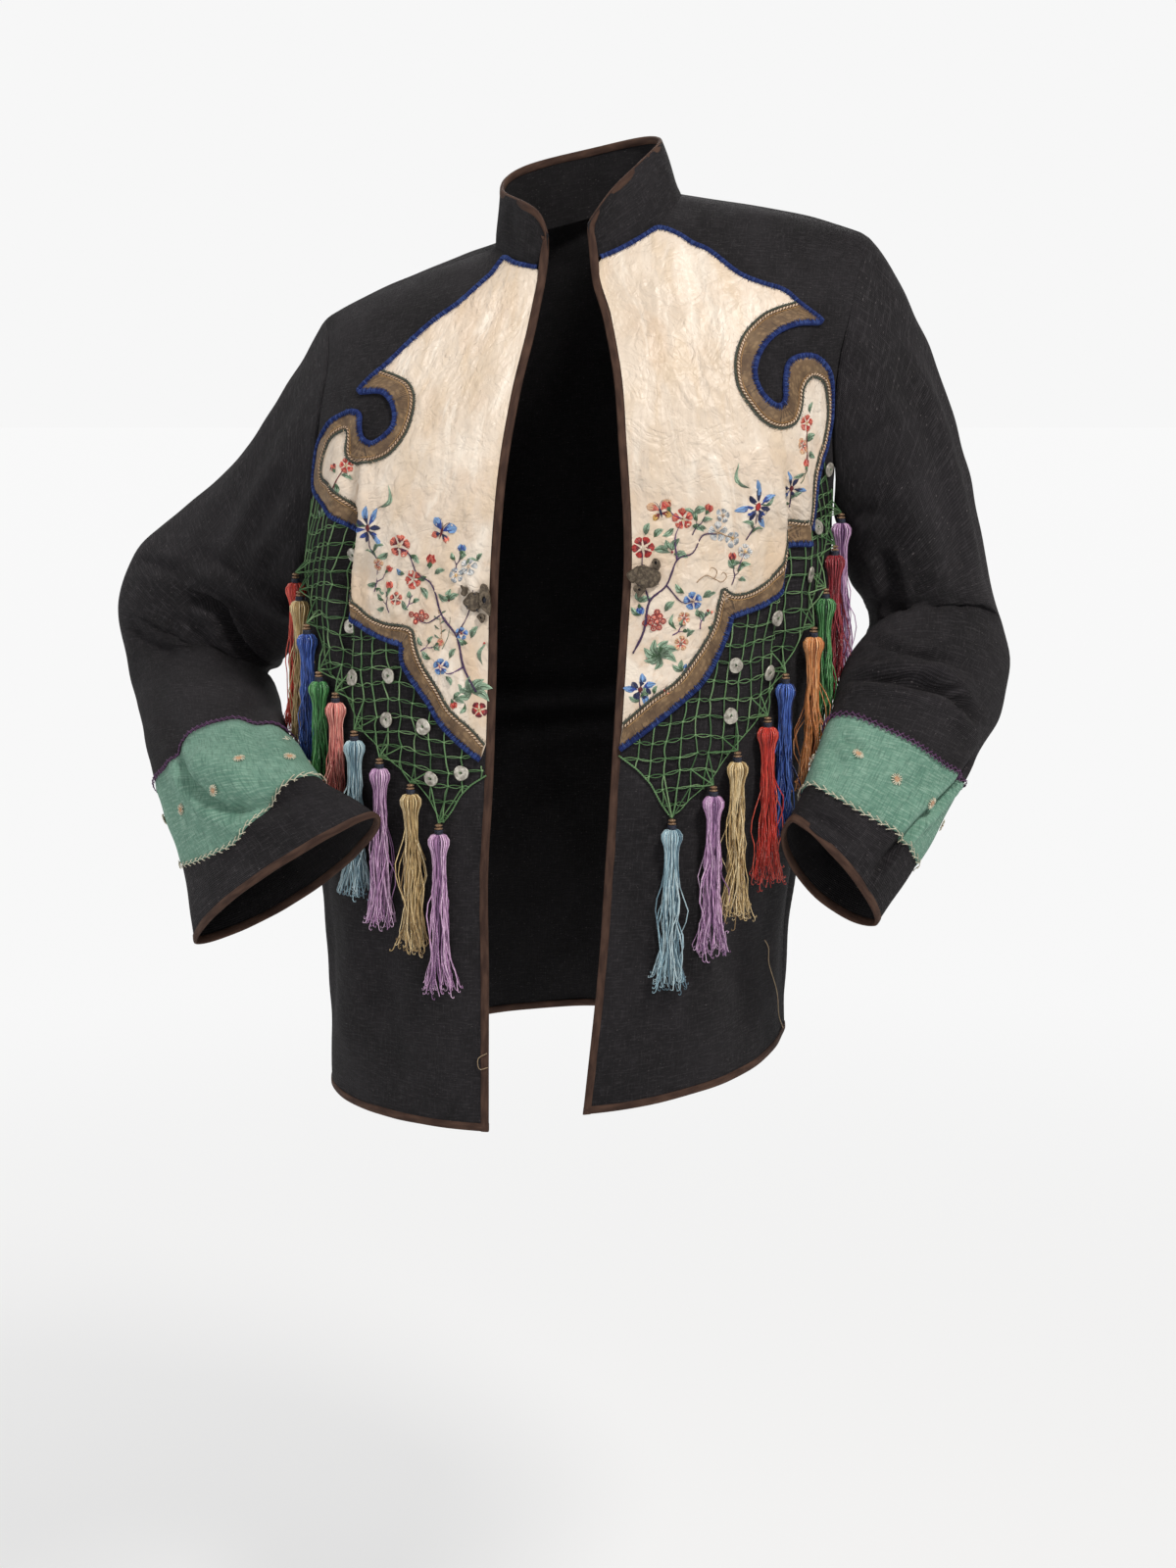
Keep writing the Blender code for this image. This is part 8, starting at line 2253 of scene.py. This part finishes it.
        # the flower that stands apart, and those on the lobe
        n = needle(.470, -.335, seed=31, turn=-6)
        n.stem([(-3, -19), (0, -11), (0, -3)], 0.5, "violet")
        n.star((0, 0), 13.5, "cobalt", "sky", "red", spread=200, turn=88, petals=7)
        n.petal((0, -1), (-6, -4.5), 1.3, "navy", "cobalt", 0.1); n.petal((0, -1), (5.5, -5), 1.3, "navy", "cobalt", -0.1)
        n.leaf((-0.5, -13), 150, 9, 1.3, "grey_green", "mint", -0.25); n.leaf((-1.5, -16), 20, 8, 1.2, "leaf", "mint", 0.25)
        n = needle(.395, -.385, seed=32)
        n.blossom((0, 0), 4.4, "grey", "white", "gold", turn=10); n.stem([(-4, -10), (-2, -5), (0, -1)], 0.4, "purple"); n.leaf((-2.5, -6), 170, 6.5, 1.5); n.leaf((-3, -8), 10, 6.5, 1.5, "leaf", "mint")
        n = needle(.812, -.262, seed=33)
        n.stem([(-4, -20), (-1, -11), (0, -2)], 0.6, "wine"); n.blossom((0, 2), 5.2, "red", "coral", "gold", turn=5); n.blossom((-4.5, -10), 4.2, "coral", "peach", "wine", turn=30)
        n.leaf((0, -8), 20, 8, 1.9, "leaf", "mint"); n.leaf((-1, -15), -15, 7.5, 1.7); n.leaf((2, 7.5), 70, 6.5, 1.5)
        n = needle(.665, -.318, seed=34, turn=10)
        n.stem([(-3, -12), (-1, -5), (0, 0)], 0.5, "violet"); n.star((0, 0), 9.5, "cobalt", "sky", "wine", spread=170, turn=95, petals=6); n.leaf((-1.5, -6), 20, 7.5, 1.5); n.leaf((-2.2, -9), 165, 7, 1.4, "leaf", "mint")
        n = needle(.742, -.300, seed=35)
        n.bud((0, 0), 70, 5.5, "coral", "red"); n.leaf((-1, -2.5), 200, 6, 1.4); n.stem([(-2, -8), (-0.6, -4), (0, -1)], 0.35, "leaf")
    STITCHED[side] = build.make("embroidery_" + side, [FLOSS[k] for k in FLOSS_NAMES], [])
# ------------------------------------------------------------------ what each cloth piece was cut from, in metres; cut() gathers the values and keeps none of them
def cut(flat, area, held, rests_on=(), with_pieces=()):
    kw = dict(flat=flat, held=held, rests_on=list(rests_on))
    if area is not None:
        kw["area"] = area
    if with_pieces:
        kw["with_pieces"] = list(with_pieces)


# body: each front is one width from the neck to the hem, the back is one piece
cut((0.540, 0.700), 0.3300, "hung", ["collar_cloth"])
cut((0.250, 0.690), 0.1460, "hung", ["back_cloth"])
cut((0.250, 0.690), 0.1465, "hung", ["back_cloth"])
cut((0.450, 0.052), 0.0177, "stretched", ["back_cloth"])
# each sleeve is one tube with a seam under the arm, and its band lies on it
cut((0.480, 0.660), 0.1810, "hung", ["back_cloth", "front_right_cloth"])
cut((0.520, 0.630), 0.1560, "hung", ["back_cloth", "front_left_cloth"])
cut((0.430, 0.110), 0.0272, "laid", ["sleeve_right_cloth"])
cut((0.350, 0.085), 0.0215, "laid", ["sleeve_left_cloth"])
# the cloud-shaped satin and its ribbons lie on the fronts
cut((0.220, 0.360), 0.0375, "laid", ["front_right_cloth"])
cut((0.230, 0.360), 0.0455, "laid", ["front_left_cloth"])
cut((0.0148, 0.276), None, "laid", ["yoke_satin_right_cloth"])
cut((0.0126, 0.170), None, "laid", ["yoke_satin_right_cloth"])
cut((0.0124, 0.328), None, "laid", ["yoke_satin_left_cloth"])
cut((0.0140, 0.238), None, "laid", ["yoke_satin_left_cloth"])
# bias strips folded over the edges
cut((0.0145, 1.750), None, "folded", ["front_right_cloth", "collar_cloth", "front_left_cloth"])
cut((0.0150, 0.945), None, "folded", ["front_right_cloth", "back_cloth", "front_left_cloth"])
cut((0.0145, 0.430), None, "folded", ["sleeve_right_cloth"])
cut((0.0145, 0.262), None, "folded", ["sleeve_left_cloth"])


# ------------------------------------------------------------------ floor, light and camera
def plane(name, size, z, mat):
    mesh = bpy.data.meshes.new(name)
    mesh.from_pydata([(-size, -size, z), (size, -size, z), (size, size, z), (-size, size, z)], [], [(0, 1, 2, 3)])
    mesh.materials.append(mat)
    obj = bpy.data.objects.new(name, mesh)
    bpy.context.scene.collection.objects.link(obj)
    return obj


floor_mat = bpy.data.materials.new("pale_floor")
floor_mat.use_nodes = True
tree = floor_mat.node_tree
shader = tree.nodes["Principled BSDF"]
shader.inputs["Roughness"].default_value = 0.9
shader.inputs["Specular IOR Level"].default_value = 0.1
place = tree.nodes.new("ShaderNodeNewGeometry")
flat_place = tree.nodes.new("ShaderNodeVectorMath")
flat_place.operation = "MULTIPLY"
flat_place.inputs[1].default_value = (1, 1, 0)
far = tree.nodes.new("ShaderNodeVectorMath")
far.operation = "LENGTH"
pale = tree.nodes.new("ShaderNodeMapRange")
pale.interpolation_type = "SMOOTHSTEP"
pale.inputs["From Min"].default_value = 0.3
pale.inputs["From Max"].default_value = 3.2
base = tree.nodes.new("ShaderNodeMix")
base.data_type = "RGBA"
base.inputs[6].default_value = (0.46, 0.46, 0.46, 1)
base.inputs[7].default_value = (0.0, 0.0, 0.0, 1)
shader.inputs["Emission Color"].default_value = (1, 1, 1, 1)
glow = tree.nodes.new("ShaderNodeMath")
glow.operation = "MULTIPLY_ADD"
glow.inputs[1].default_value = 0.51
glow.inputs[2].default_value = 0.42
tree.links.new(place.outputs["Position"], flat_place.inputs[0])
tree.links.new(flat_place.outputs[0], far.inputs[0])
tree.links.new(far.outputs["Value"], pale.inputs["Value"])
tree.links.new(pale.outputs[0], base.inputs[0])
tree.links.new(base.outputs[2], shader.inputs["Base Color"])
tree.links.new(pale.outputs[0], glow.inputs[0])
tree.links.new(glow.outputs[0], shader.inputs["Emission Strength"])
plane("floor", 60.0, -1.42, floor_mat)

world = bpy.data.worlds.new("studio")
world.use_nodes = True
tree = world.node_tree
soft = tree.nodes["Background"]
soft.inputs["Color"].default_value = (1.0, 0.99, 0.975, 1)
soft.inputs["Strength"].default_value = 0.35
seen = tree.nodes.new("ShaderNodeBackground")
seen.inputs["Color"].default_value = (1, 1, 1, 1)
seen.inputs["Strength"].default_value = 0.93
kind = tree.nodes.new("ShaderNodeLightPath")
both = tree.nodes.new("ShaderNodeMixShader")
tree.links.new(kind.outputs["Is Camera Ray"], both.inputs[0])
tree.links.new(soft.outputs[0], both.inputs[1])
tree.links.new(seen.outputs[0], both.inputs[2])
tree.links.new(both.outputs[0], tree.nodes["World Output"].inputs["Surface"])
bpy.context.scene.world = world
scene = bpy.context.scene
scene.view_settings.view_transform = "Standard"
scene.view_settings.look = "None"


def area(name, place, target, size, power, colour=(1, 1, 1)):
    data = bpy.data.lights.new(name, "AREA")
    data.shape = "DISK"
    data.size = size
    data.energy = power
    data.color = colour
    obj = bpy.data.objects.new(name, data)
    obj.location = place
    obj.rotation_euler = (Vector(target) - Vector(place)).to_track_quat("-Z", "Y").to_euler()
    bpy.context.scene.collection.objects.link(obj)


area("key", (1.15, -1.75, 2.0), (0, 0, -0.35), 0.62, 76, (1.0, 0.975, 0.94))
area("fill", (-2.0, -1.7, 0.5), (0, 0, -0.35), 1.3, 13, (0.97, 0.985, 1.0))
area("rear", (0.5, 2.3, 1.5), (0, 0, -0.35), 1.1, 34)
area("rim", (-1.9, 1.2, 1.2), (0, 0, -0.35), 1.0, 12)

camera = bpy.data.cameras.new("camera")
camera.lens = 52.875
camera.sensor_fit = "VERTICAL"
camera.sensor_height = 36.0
camera.dof.use_dof = False
camera.clip_start, camera.clip_end = 0.05, 100.0
obj = bpy.data.objects.new("camera", camera)
obj.location = (0.0, -1.8, -0.121)
obj.rotation_euler = (math.radians(80.0), 0.0, 0.0)
bpy.context.scene.collection.objects.link(obj)
bpy.context.scene.camera = obj
